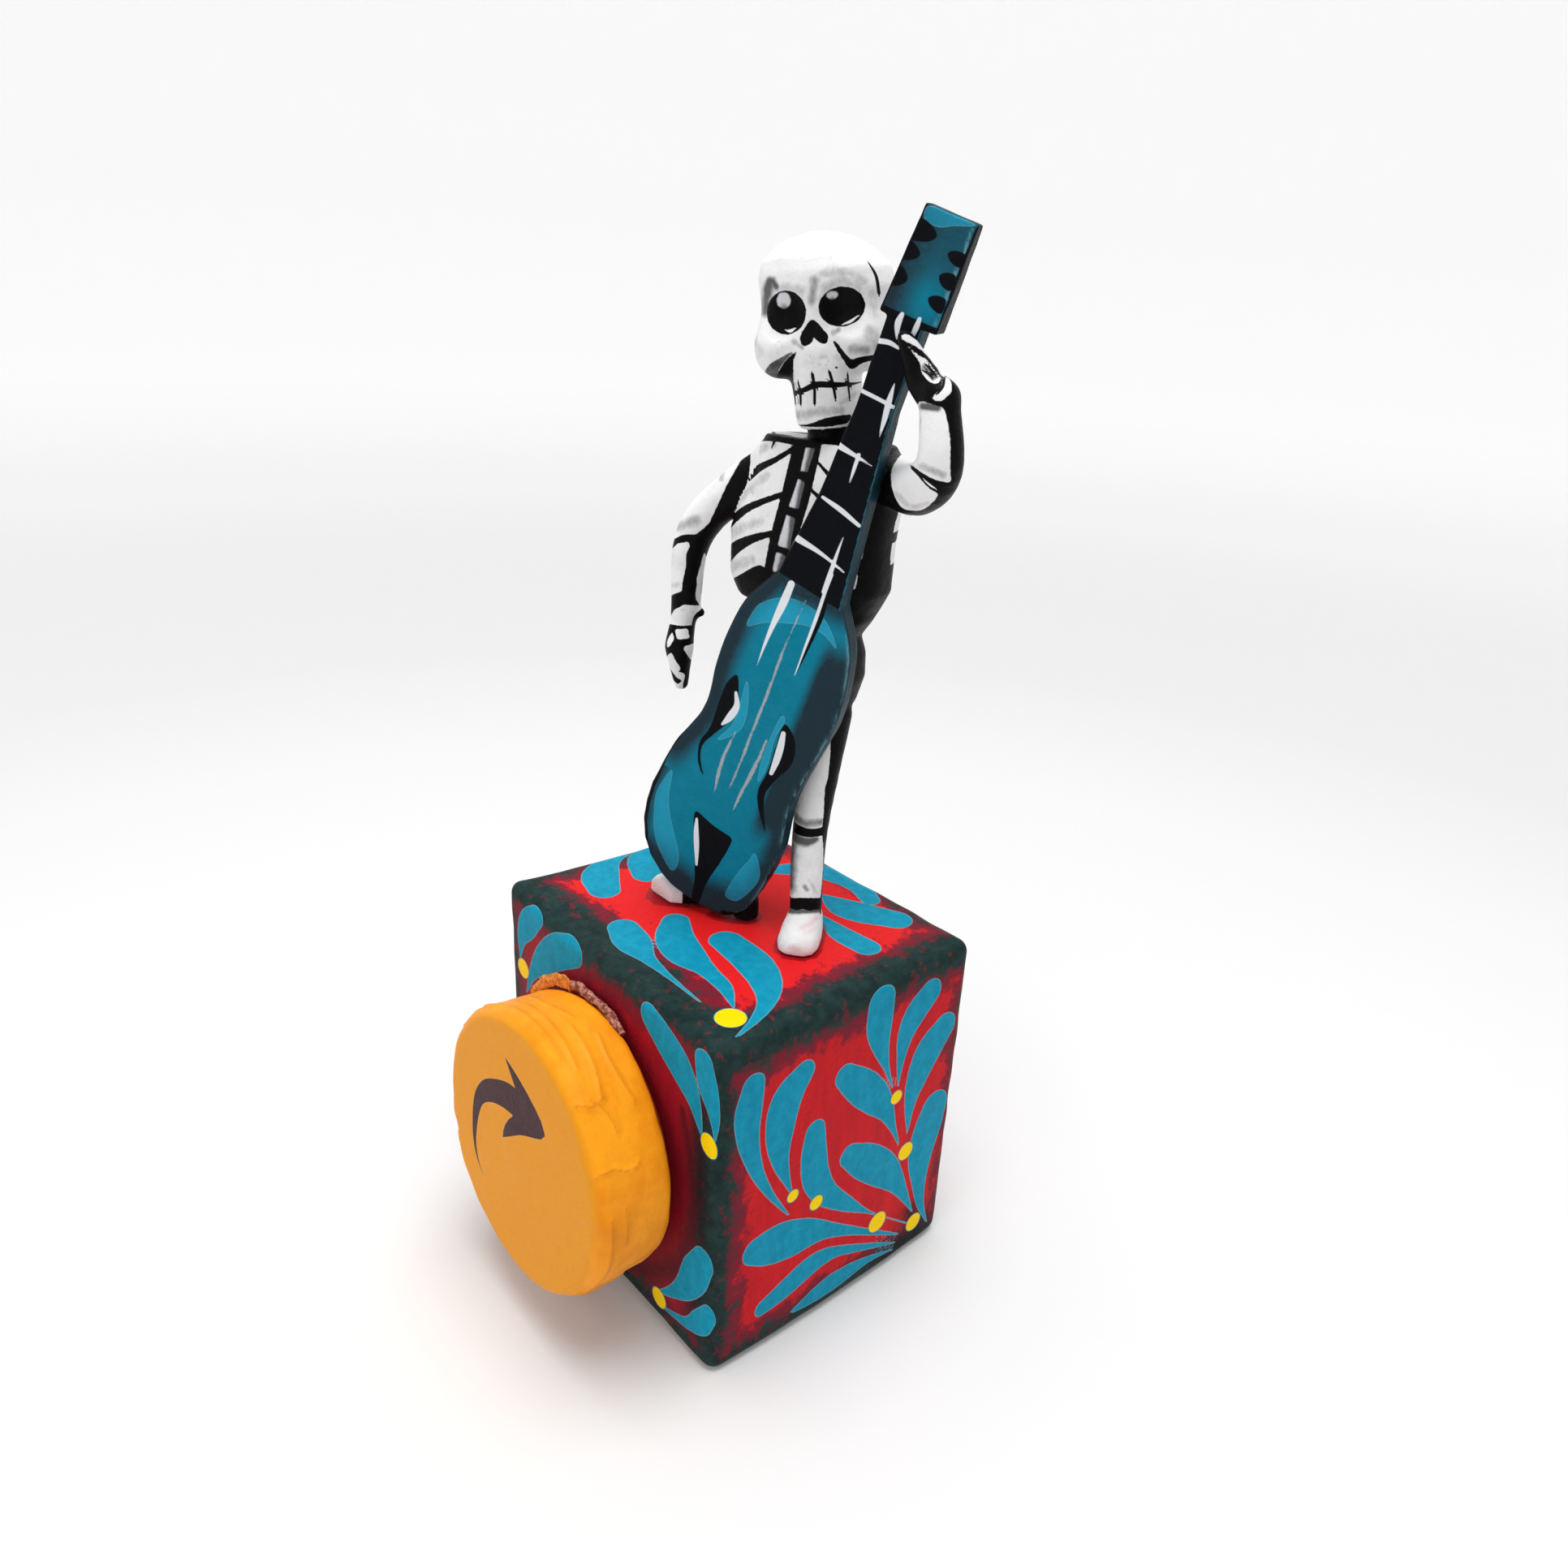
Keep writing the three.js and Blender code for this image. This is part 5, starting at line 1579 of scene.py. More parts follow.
# Sections of the head: height over its height, then half width and depth ahead and behind over its half width
CRANIUM = (
    (0.27, 0.5, 0.5, 0.35), (0.3, 0.72, 0.66, 0.6), (0.36, 0.9, 0.76, 0.8), (0.46, 0.97, 0.8, 0.9),
    (0.58, 1, 0.81, 0.97), (0.7, 1.05, 0.86, 1), (0.8, 1.02, 0.84, 1), (0.88, 0.88, 0.75, 0.9),
    (0.945, 0.63, 0.57, 0.7), (0.985, 0.36, 0.32, 0.4), (1, 0.12, 0.1, 0.14))
JAW = (
    (0, 0.44, 0.62, 0.3), (0.03, 0.51, 0.7, 0.36), (0.17, 0.53, 0.76, 0.4), (0.22, 0.54, 0.79, 0.4),
    (0.33, 0.53, 0.85, 0.4), (0.42, 0.46, 0.86, 0.4), (0.49, 0.36, 0.78, 0.4), (0.55, 0.24, 0.6, 0.4))


def oval(across: float, up: float, half_width: float, half_height: float) -> Outline:
    """Corners of an oval outline."""
    return tuple((across + half_width * float(np.cos(angle)), up + half_height * float(np.sin(angle)))
                 for angle in np.linspace(0, 2 * np.pi, 12, endpoint=False))


@dataclass(frozen=True)
class Skeleton:
    """The figure in one piece; joints are places over the top of the box, in millimetres."""

    bass: BassShape
    cell: float = 0.46
    roughening: float = 0.12
    torso_facing: float = 15.0
    pelvis: Place = (9.0, 14.5, 60.0)
    waist: Place = (8.9, 14.5, 70.0)
    ribs: Place = (3.9, 14.4, 80.0)
    shoulders: Place = (7.3, 15.0, 109.0)
    left_leg: Places = ((12.4, 15.0, 51.0), (13.0, 10.6, 23.0), (16.2, 7.7, 8.2))
    right_leg: Places = ((5.0, 13.2, 51.0), (-2.0, 3.5, 28.0), (-10.6, -2.1, 8.2))
    leg_radii: tuple[float, ...] = (5.0, 4.0, 3.7, 3.6)
    left_foot_pointing: float = 38.0
    right_foot_pointing: float = -44.0
    right_arm: Places = ((-6.5, 10.9, 102.5), (-22.2, 3.2, 86.0), (-22.6, 0.8, 68.0))
    right_arm_radii: tuple[float, ...] = (4.8, 4.3, 3.3)
    right_hand: Places = ((-22.6, 0.8, 68.0), (-22.4, -0.8, 60.0), (-21.2, -1.0, 51.6))
    right_hand_radii: tuple[float, ...] = (2.7, 3.4, 1.7)
    right_thumb: Places = ((-22.6, 0.8, 68.0), (-19.6, 3.0, 68.0))
    right_thumb_radii: tuple[float, ...] = (1.8, 1.1)
    left_arm: Places = ((20.5, 18.5, 103.0), (44.0, 8.4, 103.6), (42.0, 8.4, 120.0))
    left_arm_radii: tuple[float, ...] = (5.0, 4.9, 4.8, 4.2, 3.6)
    left_hand_radii: tuple[float, ...] = (3.6, 3.3, 1.5)
    chin: Place = (7.2, 14.9, 111.6)
    skull_height: float = 36.0
    skull_half_width: float = 12.7
    skull_facing: float = 37.0
    skull_roll: float = -8.0
    cheek_blend: float = 3.2
    neck_radii: tuple[float, float] = (4.6, 4.4)

    @staticmethod
    def _raised(joint: Sequence[float]) -> Array:
        """Place of a joint in the frame of the box."""
        return np.array([joint[0], joint[1], joint[2] + BOX_TOP])

    def torso_axes(self) -> Axes:
        """Axes of the rib cage on the box top under the shoulders."""
        return Axes.leaning((self.shoulders[0], self.shoulders[1], BOX_TOP), self.torso_facing)

    def skull_axes(self) -> Axes:
        """Axes of the skull at the chin."""
        return Axes.leaning(self._raised(self.chin), self.skull_facing, 0, self.skull_roll)

    def torso(self) -> Loft:
        """Hips, waist, rib cage and shoulders."""
        axes = self.torso_axes()
        rows = []
        for joint, lift, half, depth in (
                (self.pelvis, -10, 5.5, 4.5), (self.pelvis, -6, 8, 6.5), (self.pelvis, 0, 9.8, 7.4),
                (self.pelvis, 5, 9.6, 7.2), (self.waist, -1, 8.4, 6.4), (self.waist, 3, 11, 7.6),
                (self.ribs, -5.4, 16.2, 9), (self.ribs, -1, 18.6, 9.8), (self.ribs, 9, 18.8, 9.8),
                (self.shoulders, -8, 17, 8.4), (self.shoulders, -1.5, 15.4, 6.8), (self.shoulders, 0, 14.6, 6)):
            across, _, out = axes.local(self._raised(joint))
            rows.append((joint[2] + lift, across, out, half, depth, depth))
        return Loft(axes, rows, 2.8)

    def skull_parts(self) -> tuple[list[Shape], list[Shape], list[Shape]]:
        """Shapes of the head.

        Returns:
            Shapes of the cranium, shapes cut from it, and shapes added last.
        """
        axes, size, tall = self.skull_axes(), self.skull_half_width, self.skull_height
        cranium, jaw = ([(high * tall, max(wide - 0.95, 0) * size, 0, wide * size, ahead * size, behind * size)
                         for high, wide, ahead, behind in stations] for stations in (CRANIUM, JAW))

        def egg(across: float, ahead: float, high: float, sizes: Place) -> Egg:
            """Egg at shares of the skull's half width and height."""
            place = axes.place(across * size, high * tall, ahead * size)
            spot = Axes(place, axes.side, axes.up, axes.front)
            return Egg(spot, sizes[0] * size, sizes[1] * tall, sizes[2] * size)

        neck = Limb([self._raised((self.shoulders[0], self.shoulders[1], self.shoulders[2] - 3)),
                     axes.place(0, 0.1 * tall, -0.05 * size)], self.neck_radii, 2)
        cheeks = [egg(hand * 0.66, 0.34, 0.43, (0.38, 0.155, 0.48)) for hand in (-1, 1)]
        sockets = [egg(hand * 0.52, 0.96, 0.595, (0.46, 0.155, 0.3)) for hand in (-1, 1)]
        return [Loft(axes, cranium, 2.2), *cheeks], sockets, [Loft(axes, jaw, 2.6), neck]

    def leg(self, joints: Sequence[Sequence[float]]) -> Limb:
        """Leg from its hip down into its foot."""
        ankle = joints[-1]
        return Limb([self._raised(joint) for joint in (*joints, (ankle[0], ankle[1], ankle[2] / 2))], self.leg_radii)

    def arm(self, joints: Sequence[Sequence[float]], radii: Sequence[float]) -> Limb:
        """Arm or hand through joints."""
        return Limb([self._raised(joint) for joint in joints], radii)

    def bent_left_arm(self) -> Limb:
        """Left arm, round at its elbow."""
        shoulder, elbow, wrist = (np.array(joint) for joint in self.left_arm)
        bend = [elbow + (end - elbow) * 0.34 for end in (shoulder, wrist)]
        return self.arm([shoulder, *bend, wrist], self.left_arm_radii)

    def left_hand(self) -> Limb:
        """Left hand round the neck of the bass, its fingers over the front."""
        bass = self.bass
        palm = bass.axes.place(bass.neck_drift + bass.neck_top, bass.neck_end - 7.5, -0.5)
        tips = bass.axes.place(0.6, bass.neck_end - 2, 1.5)
        return Limb([self._raised(self.left_arm[-1]), palm, tips], self.left_hand_radii)

    def feet(self) -> tuple[Foot, Foot]:
        """Both feet."""
        return (Foot(self.left_leg[-1], self.left_foot_pointing), Foot(self.right_leg[-1], self.right_foot_pointing))

    def grow(self) -> Volume:
        """Joins every part of the figure and makes room for the bass."""
        volume = Volume((-29, -10.5, BOX_TOP + GLUE_GAP - 1), (51, 31, BOX_TOP + 149.5), self.cell)
        head, sockets, jaw = self.skull_parts()
        for shape in head:
            volume.add(shape, self.cheek_blend)
        for shape in sockets:
            volume.cut(shape)
        for shape in jaw:
            volume.add(shape, 1)
        for shape in (self.torso(), self.leg(self.left_leg), self.leg(self.right_leg), *self.feet(),
                      self.arm(self.right_arm, self.right_arm_radii),
                      self.arm(self.right_hand, self.right_hand_radii),
                      self.arm(self.right_thumb, self.right_thumb_radii), self.bent_left_arm(), self.left_hand()):
            volume.add(shape, 0.8)
        volume.soften(1)
        volume.cut(self.bass, GLUE_GAP)
        return volume

    def _owners(self, points: Array) -> list[Array]:
        """Tells which part each point belongs to.

        Args:
            points: Points of the skin.

        Returns:
            Masks of torso, head, neck, left leg, right leg, feet, right arm, right hand, left arm and left hand.
        """
        head, _, (jaw, neck) = self.skull_parts()
        groups = ([self.torso()], [*head, jaw], [neck], [self.leg(self.left_leg)], [self.leg(self.right_leg)],
                  list(self.feet()), [self.arm(self.right_arm, self.right_arm_radii)],
                  [self.arm(self.right_hand, self.right_hand_radii),
                   self.arm(self.right_thumb, self.right_thumb_radii)],
                  [self.bent_left_arm()], [self.left_hand()])
        gaps = np.stack([np.min([shape.distance(points) for shape in group], axis=0) for group in groups])
        owner = np.argmin(gaps, axis=0)
        return [owner == index for index in range(len(groups))]

    def _paint_torso(self, canvas: Canvas, chosen: Array, outward: Array) -> None:
        """Paints ribs and breastbone in front, and plainer ribs and a spine behind.

        Args:
            canvas: Canvas of the figure.
            chosen: True for the points of the torso.
            outward: Outward directions of all points.
        """
        axes = self.torso_axes()
        across, up, out = axes.local(canvas.points)
        facing = outward @ axes.front
        black = canvas.layers["black"]
        limit = np.interp(across, [-20, 6, 10, 11.5], [-3, -1, 2.5, 14])
        black[chosen] = np.where(up < 73, -2, np.clip(out - limit, -2, FAR))[chosen]
        front = canvas.face(chosen & (facing > -0.2), *axes.seen(canvas.points, 9, (0.622, 0.2))[:2])
        front.patch("black", STERNUM, curved=False)
        front.patch("black", LOWEST_RIB)
        for bone in STERNUM_BONES:
            front.patch("grey", bone, curved=False)
            front.haze("shade", ((*bone[1], 1.5), (*bone[2], 1)), 0.95)
        front.strokes("black", RIBS)
        front.stroke("black", ((-13, 108.9, 0.7), (-6, 109.3, 0.95), (-2, 109, 0.9), (4, 110, 0.9),
                               (16, 110, 0.9)))
        front.stroke("black", ((-8.9, 110.9, 0.3), (-7.9, 109, 0.4), (-8.7, 106.9, 0.15)))
        for spine in (((-12, 106.5, 2.2), (-8, 108, 1.6)), ((-16, 96.5, 2), (-9, 101.5, 1.5)),
                      ((-18, 88.5, 2.4), (-10, 92, 1.5)), ((-18, 81, 2.6), (-12, 83.5, 1.6)),
                      ((-13, 75, 1.5), (-9, 78.8, 1.2))):
            front.haze("shade", spine, 0.42)
        front.strokes("bone", (((14.5, 91.6, 0.55), (14.2, 88.2, 0.6)), ((13.4, 84.1, 0.6), (13.2, 82, 0.6))))
        behind = canvas.face(chosen & (facing < -0.05) & (out < 0.4), across, up)
        behind.strokes("bone", BACK_RIBS)
        for high in np.arange(107.5, 72, -5.2):
            behind.stroke("bone", ((0, float(high), 1.25), (0, float(high) - 2.6, 1.25)))
        behind.patch("bone", ((-7, 65), (-3, 66.5), (3, 66.5), (7, 65), (5.5, 59), (0, 56.5),
                              (-5.5, 59)))

    def _paint_head(self, canvas: Canvas, chosen: Array, neck: Array, outward: Array) -> None:
        """Paints the face, the stitched mouth and the neck.

        Args:
            canvas: Canvas of the figure.
            chosen: True for the points of the head.
            neck: True for the points of the neck.
            outward: Outward directions of all points.
        """
        axes = self.skull_axes()
        across, up, out = axes.local(canvas.points)
        front = canvas.face(chosen & (outward @ axes.front > -0.25) & (out > -2),
                            *axes.seen(canvas.points, 9.8, (0.188, 0))[:2])
        for eye, glint, crescent in EYES:
            front.patch("black", oval(*eye))
            front.haze("gloss", ((eye[0], eye[1], 4),), 1)
            front.patch("grey", oval(*glint))
            front.stroke("glint", crescent)
            brow = ((eye[0] - 3.6, eye[1] + 3.6, 1.6), (eye[0], eye[1] + 4.6, 1.3), (eye[0] + 3.4, eye[1] + 3.6, 1.6))
            front.shades((brow, 0.42), (((glint[0], glint[1] - glint[3], glint[3] * 0.9),), 0.6))
        front.patches("black", (NOSE, CHEEK_HOLLOW, CHEEK_FOLD, CHIN))
        front.patch("ash", CHEEK_GREY)
        front.strokes("line", (MOUTH, *STITCHES))
        front.stroke("black", ((3.6, 16, 0.25), (5, 13.7, 0.5), (6.4, 12, 0.6), (8.4, 12.4, 0.45), (11.2, 12.6, 0.35)))
        front.stroke("line", ((11.1, 29.2, 0.12), (12.4, 26.8, 0.3), (12.8, 23.8, 0.35)))
        front.shades(*FACE_SHADES)
        front.stroke("black", ((3.6, 11.3, 0.22), (3.8, 11.3, 0.22)))
        for blister in (oval(1.2, 12.7, 0.9, 0.85), oval(-7.2, 16.3, 0.65, 0.6), oval(-1.6, 14.1, 0.5, 0.5)):
            front.haze("shade", [(*corner, 0.22) for corner in (*blister, blister[0])], 0.45)
        face_side = outward @ axes.front
        canvas.tint("shade")[chosen] = np.maximum(
            canvas.tint("shade"), 0.35 * smoothstep(-face_side, 0.5, 0.95) * smoothstep(-up, -16, -4))[chosen]
        collar = canvas.face(neck | chosen, across, up)
        nape = np.maximum(up - 9.4, out + 1.4)
        canvas.layers["black"][chosen] = np.minimum(canvas.layers["black"], nape)[chosen]
        canvas.layers["black"][neck] = -2
        collar.haze("shade", ((-3, 0, 0.8), (3, -0.4, 0.8)), 0.3)

    def _paint_arms(self, canvas: Canvas, owners: list[Array], outward: Array) -> None:
        """Paints the bones of arms and hands.

        Args:
            canvas: Canvas of the figure.
            owners: Masks of right arm, right hand, left arm and left hand.
            outward: Outward directions of all points.
        """
        right_arm, right_hand, left_arm, left_hand = owners
        black = canvas.layers["black"]
        right = Axes.leaning((-18, 5, BOX_TOP), LIMB_FACING)
        across, up, _ = right.seen(canvas.points, 4, (0.091, 0.219))
        facing = outward @ right.front
        front = canvas.face((right_arm | right_hand) & (facing > -0.45), across, up)
        front.patch("black", RIGHT_ARM_BLACK, curved=False)
        front.patch("black", THUMB_TIP)
        hand = right_hand & (up < 66)
        black[hand] = np.minimum(black, up - 65.8)[hand]
        canvas.face(right_hand, across, up).patches("bone", RIGHT_HAND_WHITE)
        front.shades(*RIGHT_ARM_SHADES)
        behind = right_arm & (facing < -0.3)
        black[behind] = np.minimum(black, 4 * (facing + 0.45))[behind]
        back = canvas.face(right_arm & (facing < -0.45), across, up)
        back.strokes("bone", (((6, 101, 1.5), (0, 95, 1.7), (-4.6, 88.6, 1.6)),
                              ((-5.8, 83.4, 1.5), (-6.4, 78, 1.6), (-6.6, 72.4, 1.4))))
        left = Axes.leaning((43, 8.4, BOX_TOP), LIMB_FACING)
        across, up, _ = left.seen(canvas.points, 3, (-0.109, 0.126))
        facing = outward @ left.front
        black[left_arm | left_hand] = -2
        front = canvas.face((left_arm | left_hand) & (facing > -0.3), across, up)
        front.patches("bone", (LEFT_UPPER_ARM, LEFT_FOREARM, *LEFT_HAND_WHITE))
        front.strokes("line", LEFT_HAND_LINES)
        front.stroke("line", ((-5, 108.6, 0.3), (-2.6, 107, 0.5), (-0.6, 105.9, 0.7), (2.4, 105.6, 0.6)))
        front.stroke("glint", ((-2.6, 106.6, 0.08), (-1.2, 105.6, 0.16), (-0.4, 105.2, 0.06)))
        front.shades((((-4, 119.2, 0.8), (-1.4, 119, 0.8)), 1), (((-4.6, 117, 1), (-5.2, 110.6, 1.1)), 0.4),
                     (((-3.4, 109, 1), (0.8, 107.6, 1)), 0.5), (((-2, 114, 1.4), (-1.6, 112, 1.4)), 0.2),
                     (((-7.6, 103.6, 1), (-4.6, 101.6, 1), (-1.6, 102.4, 0.9)), 0.4),
                     (((-4.4, 125.8, 0.9), (-2.6, 124.2, 0.8)), 0.7))
        back = canvas.face(left_arm & (facing < -0.4), across, up)
        back.strokes("bone", (((-6, 105, 1.6), (-3, 104.6, 1.7), (-0.6, 104.8, 1.3)),
                              ((-0.4, 108.6, 1.4), (-1, 112.6, 1.6), (-1.6, 117.4, 1.3))))

    def _paint_legs(self, canvas: Canvas, owners: list[Array], outward: Array) -> None:
        """Paints the bones of legs and feet, and black painted shade on the right heel.

        Args:
            canvas: Canvas of the figure.
            owners: Masks of left leg, right leg and feet.
            outward: Outward directions of all points.
        """
        left_leg, right_leg, feet = owners
        black = canvas.layers["black"]
        left = Axes.leaning((14, 9, BOX_TOP), LIMB_FACING)
        across, up, out = left.local(canvas.points)
        facing = outward @ left.front
        limit = np.interp(up, [9.9, 16, 20.4, 24, 26, 29.9, 35.2, 37.7, 42.7, 46.4],
                          [3.8, 4, 3.8, 3.3, 3.2, 3.3, 3.2, 3.7, 3.9, 3.8])
        beyond = np.minimum(limit - across, 4 * (facing + 0.35))
        beyond = np.where(up > 48, -2, np.clip(beyond, -2, FAR))
        black[left_leg] = np.minimum(black, beyond)[left_leg]
        front = canvas.face((left_leg | feet) & (across > -9), across, up - np.clip(out - 4, 0, 9) * 0.52)
        front.stroke("black", ((-8, 25.1, 1.1), (-2, 25, 1.15), (0, 24.9, 1), (5.5, 25.2, 1)))
        front.patch("black", ANKLE_BAND, curved=False)
        front.shades((((-3.4, 27.6, 1.6), (-1, 27, 1.4), (2.6, 27.4, 1.2)), 0.7),
                     (((-3.6, 23, 1.8), (0, 22.8, 1.3), (2, 23.4, 0.8)), 0.95),
                     (((-4.2, 21, 2.2), (-4, 12, 2.4)), 0.9), (((0, 12.4, 0.8), (0.6, 11.6, 0.7)), 0.7),
                     (((-3.4, 36, 0.9), (-3.2, 30, 1.2)), 0.45), (((1, 14, 1), (2.8, 11, 1)), 0.4),
                     (((-4.6, 6.4, 1.2), (-2, 6, 0.9), (3.4, 6.6, 0.8)), 1))
        front.haze("stain", ((0, 2.2, 0.8), (1.6, 3.2, 0.7), (3, 4.6, 0.6)), 0.75)
        front.haze("stain", ((0.6, 0.8, 0.6), (2.4, 1.8, 0.6)), 0.5)
        right = Axes.leaning((-4, 2, BOX_TOP), -20)
        across, up, _ = right.local(canvas.points)
        facing = outward @ right.front
        black[right_leg] = np.where(up > 48, -2, np.clip(4 * (facing + 0.2), -2, FAR))[right_leg]
        knee, ankle = self.right_leg[1][2], self.right_leg[2][2]
        black[right_leg] = np.minimum.reduce([black, np.abs(up - knee) - 0.9, np.abs(up - ankle) - 1.2])[right_leg]
        # The right heel, beside the bass, is painted black as painted shade
        across, _, out = self.feet()[1].axes().local(canvas.points)
        heel = feet & (np.hypot(across, out) < 12.5)
        black[heel] = np.minimum(black, out - 3.8)[heel]
        canvas.tint("shade")[right_leg] = np.maximum(
            canvas.tint("shade"), 0.8 * np.exp(-(np.abs(up - knee) / 3.4) ** 2))[right_leg]

    def dress(self, piece: Piece) -> None:
        """Paints the bones of the figure.

        Args:
            piece: The bare figure.
        """
        points, outward = places(piece), directions(piece)
        canvas = Canvas(points, ("black", "bone", "grey", "ash"), ("line", "glint"))
        for name in ("shade", "stain", "gloss"):
            canvas.tint(name)
        torso, head, neck, left_leg, right_leg, feet, *arms = self._owners(points)
        self._paint_torso(canvas, torso, outward)
        self._paint_head(canvas, head, neck, outward)
        self._paint_arms(canvas, arms, outward)
        self._paint_legs(canvas, [left_leg, right_leg, feet], outward)
        write_paint(piece, canvas.layers)
        piece.data.materials.append(BonePaint().make())

    def build(self) -> None:
        """Grows and dresses the figure."""
        piece = self.grow().piece("skeleton_painted", self.roughening)
        self.dress(piece)
        hand_over(piece, Body.CASE, "skeleton", Slot.BONE)


# Leaves of each wall, and dots by across, up and radius
TOP_LEAVES: Spines = (
    ((14.5, 31, 2.4), (7, 33.4, 3), (-4, 31, 3.6), (-9, 26, 3.2), (-12.5, 19.5, 1.2)),
    ((25, 29, 4), (15, 23.5, 4.5), (6.4, 23, 0.8)),
    ((30, 14.5, 3.3), (22, 14, 3), (13.5, 15.7, 0.6)),
    ((9, -9.5, 4), (20, -10.5, 4.5), (28, -13.5, 3.5), (33.5, -18, 2), (37, -24, 1), (39.2, -30, 0.3)),
    ((-5, -13.5, 3.2), (1, -18, 4.5), (8, -20.3, 4.5), (16, -20.6, 2.4), (24, -21.6, 1.7), (30.6, -24.5, 0.3)),
    ((-9.5, -25, 3.6), (-3, -26.8, 4.2), (4, -28, 2), (12, -28.5, 0.8), (25, -29, 0.15)),
    ((-28, -5.5, 4), (-35, -2, 4), (-41, 4, 1.5)),
    ((-27, -18.8, 3.8), (-34, -15.5, 4.6), (-39.5, -9, 2.5), (-42, 0, 0.5)))
RIGHT_LEAVES: Spines = (
    ((-28.3, 75, 3), (-29.3, 69, 3.7), (-29, 62, 2.9), (-26.2, 52, 1.7), (-22, 43.5, 0.9), (-16.6, 35.2, 0.2)),
    ((-14.5, 72, 3), (-18.8, 67.5, 4.6), (-20.2, 60, 4.1), (-19.7, 52, 2.4), (-17.5, 45, 1), (-16, 41, 0.3)),
    ((-10, 54.5, 2.9), (-9.9, 48, 3.8), (-8.6, 41, 3.8), (-5, 34.5, 3), (1.5, 28, 2), (10.6, 20, 0.3), (24, 9, 0.15)),
    ((-25.5, 30, 3.6), (-20, 28.6, 5.3), (-14, 26.7, 5), (-9, 25.2, 3.7), (-4, 23.1, 2.3), (4, 18.4, 1.25),
     (11, 13.8, 0.8), (21, 7.2, 0.25)),
    ((-22.6, 11.6, 2.2), (-16, 13.1, 3.1), (-10, 14.9, 3.3), (-6, 15.4, 2.8), (0, 14.4, 1.6), (5, 12.2, 1.2),
     (13, 8.4, 0.75), (20.2, 4.9, 0.2)),
    ((-12.6, 4.4, 0.7), (-9.5, 4.7, 1.5), (-5.5, 5.1, 2.4), (-1.5, 5.4, 2.8), (2.5, 5.4, 2.6), (6, 5.4, 2),
     (12.3, 4.8, 0.9), (19.5, 3, 0.15)),
    ((-2, 65.5, 3), (3.5, 60, 4.3), (8.5, 54.5, 4), (12.5, 49, 2.4), (15.3, 43, 1), (17.9, 37, 0.2)),
    ((1.5, 42, 3), (7.5, 37, 4.6), (13.5, 31.3, 4.4), (18.5, 25, 2.7), (22.3, 18.5, 1.3), (25.7, 12, 0.2)),
    ((7.6, 81, 4), (7.5, 75, 4), (8.6, 69, 2.6), (11, 62, 0.9), (13.6, 55.5, 0.2)),
    ((23.5, 77, 3.6), (19.5, 73.5, 4), (16.8, 69, 3), (15.7, 62, 1.3), (15.6, 55, 0.2)),
    ((29.8, 65, 3.9), (25.3, 60.5, 5), (22.3, 54, 3.9), (20.7, 47.5, 2), (20.7, 39, 0.2)),
    ((29.7, 42, 4.6), (28, 36, 5.3), (26.8, 29, 4.4), (27.3, 21, 2.6), (28.7, 13, 1.3), (32, 5, 0.2)))
RIGHT_DOTS = ((-15.4, 39.6, 1.6), (-8, 33.6, 1.9), (15.5, 51.5, 1.8), (20.9, 33.1, 2.4), (13.2, 15.6, 2.8),
              (26.8, 7.7, 2.5))
FRONT_LEAVES: Spines = (
    ((19, 82, 3.5), (24.5, 79, 4.3), (30, 75.5, 4.3), (34.3, 70.5, 2.5), (37.3, 63.5, 0.3)),
    ((37.5, 81.5, 3), (39, 76.5, 3.5), (41.2, 71, 2), (41.8, 65.3, 0.3)),
    ((-12, 83, 4.2), (-19, 79, 4.5), (-25.5, 73.5, 3.6), (-30.5, 67.5, 1.7), (-34, 60.5, 0.2)),
    ((-28, 84.5, 3), (-32.5, 80, 3.6), (-35.6, 75, 2), (-36.6, 69.5, 0.3)),
    ((39, 31, 3.5), (36, 25, 4.2), (32.5, 18.5, 3), (28, 13.5, 1.5), (22.5, 9, 0.3)),
    ((41.5, 17.5, 2.6), (38.5, 13, 3), (34, 9, 1.6), (25, 6, 0.3)),
    ((-39, 30, 3.2), (-36.5, 23.5, 4), (-32, 17.5, 2.8), (-27, 12.5, 1.2), (-22, 9, 0.3)))
FRONT_DOTS = ((39.9, 62.6, 2.8), (-35.4, 66.4, 2.6), (22.9, 7.4, 2.6), (-21, 7.6, 2.4))
SPRAY_LEAVES: Spines = (
    ((-25, 33, 4), (-17, 31, 5.2), (-8, 26, 3.6), (2, 19, 1.6), (12, 11.5, 0.2)),
    ((-20, 54, 3.6), (-13, 49, 5), (-5, 40, 4), (3, 29, 2), (12, 16, 0.2)),
    ((-6, 70, 3.6), (-2, 62, 4.8), (3, 50, 4), (8, 36, 2), (13.5, 21, 0.2)),
    ((14, 73, 3.6), (13, 65, 4.6), (13, 52, 3.8), (14, 38, 2), (16, 23, 0.2)),
    ((27, 56, 4.2), (25, 48, 4.8), (22, 37, 3.2), (19.5, 27, 1.4), (18, 17, 0.2)),
    ((-22, 13, 2.8), (-13, 15, 3.9), (-4, 13.5, 2.6), (4, 10.5, 1.2), (12, 8, 0.2)))
SPRAY_DOTS = ((15.5, 13, 2.8), (5.5, 22, 2), (10.5, 31, 2), (20.5, 33, 1.8))


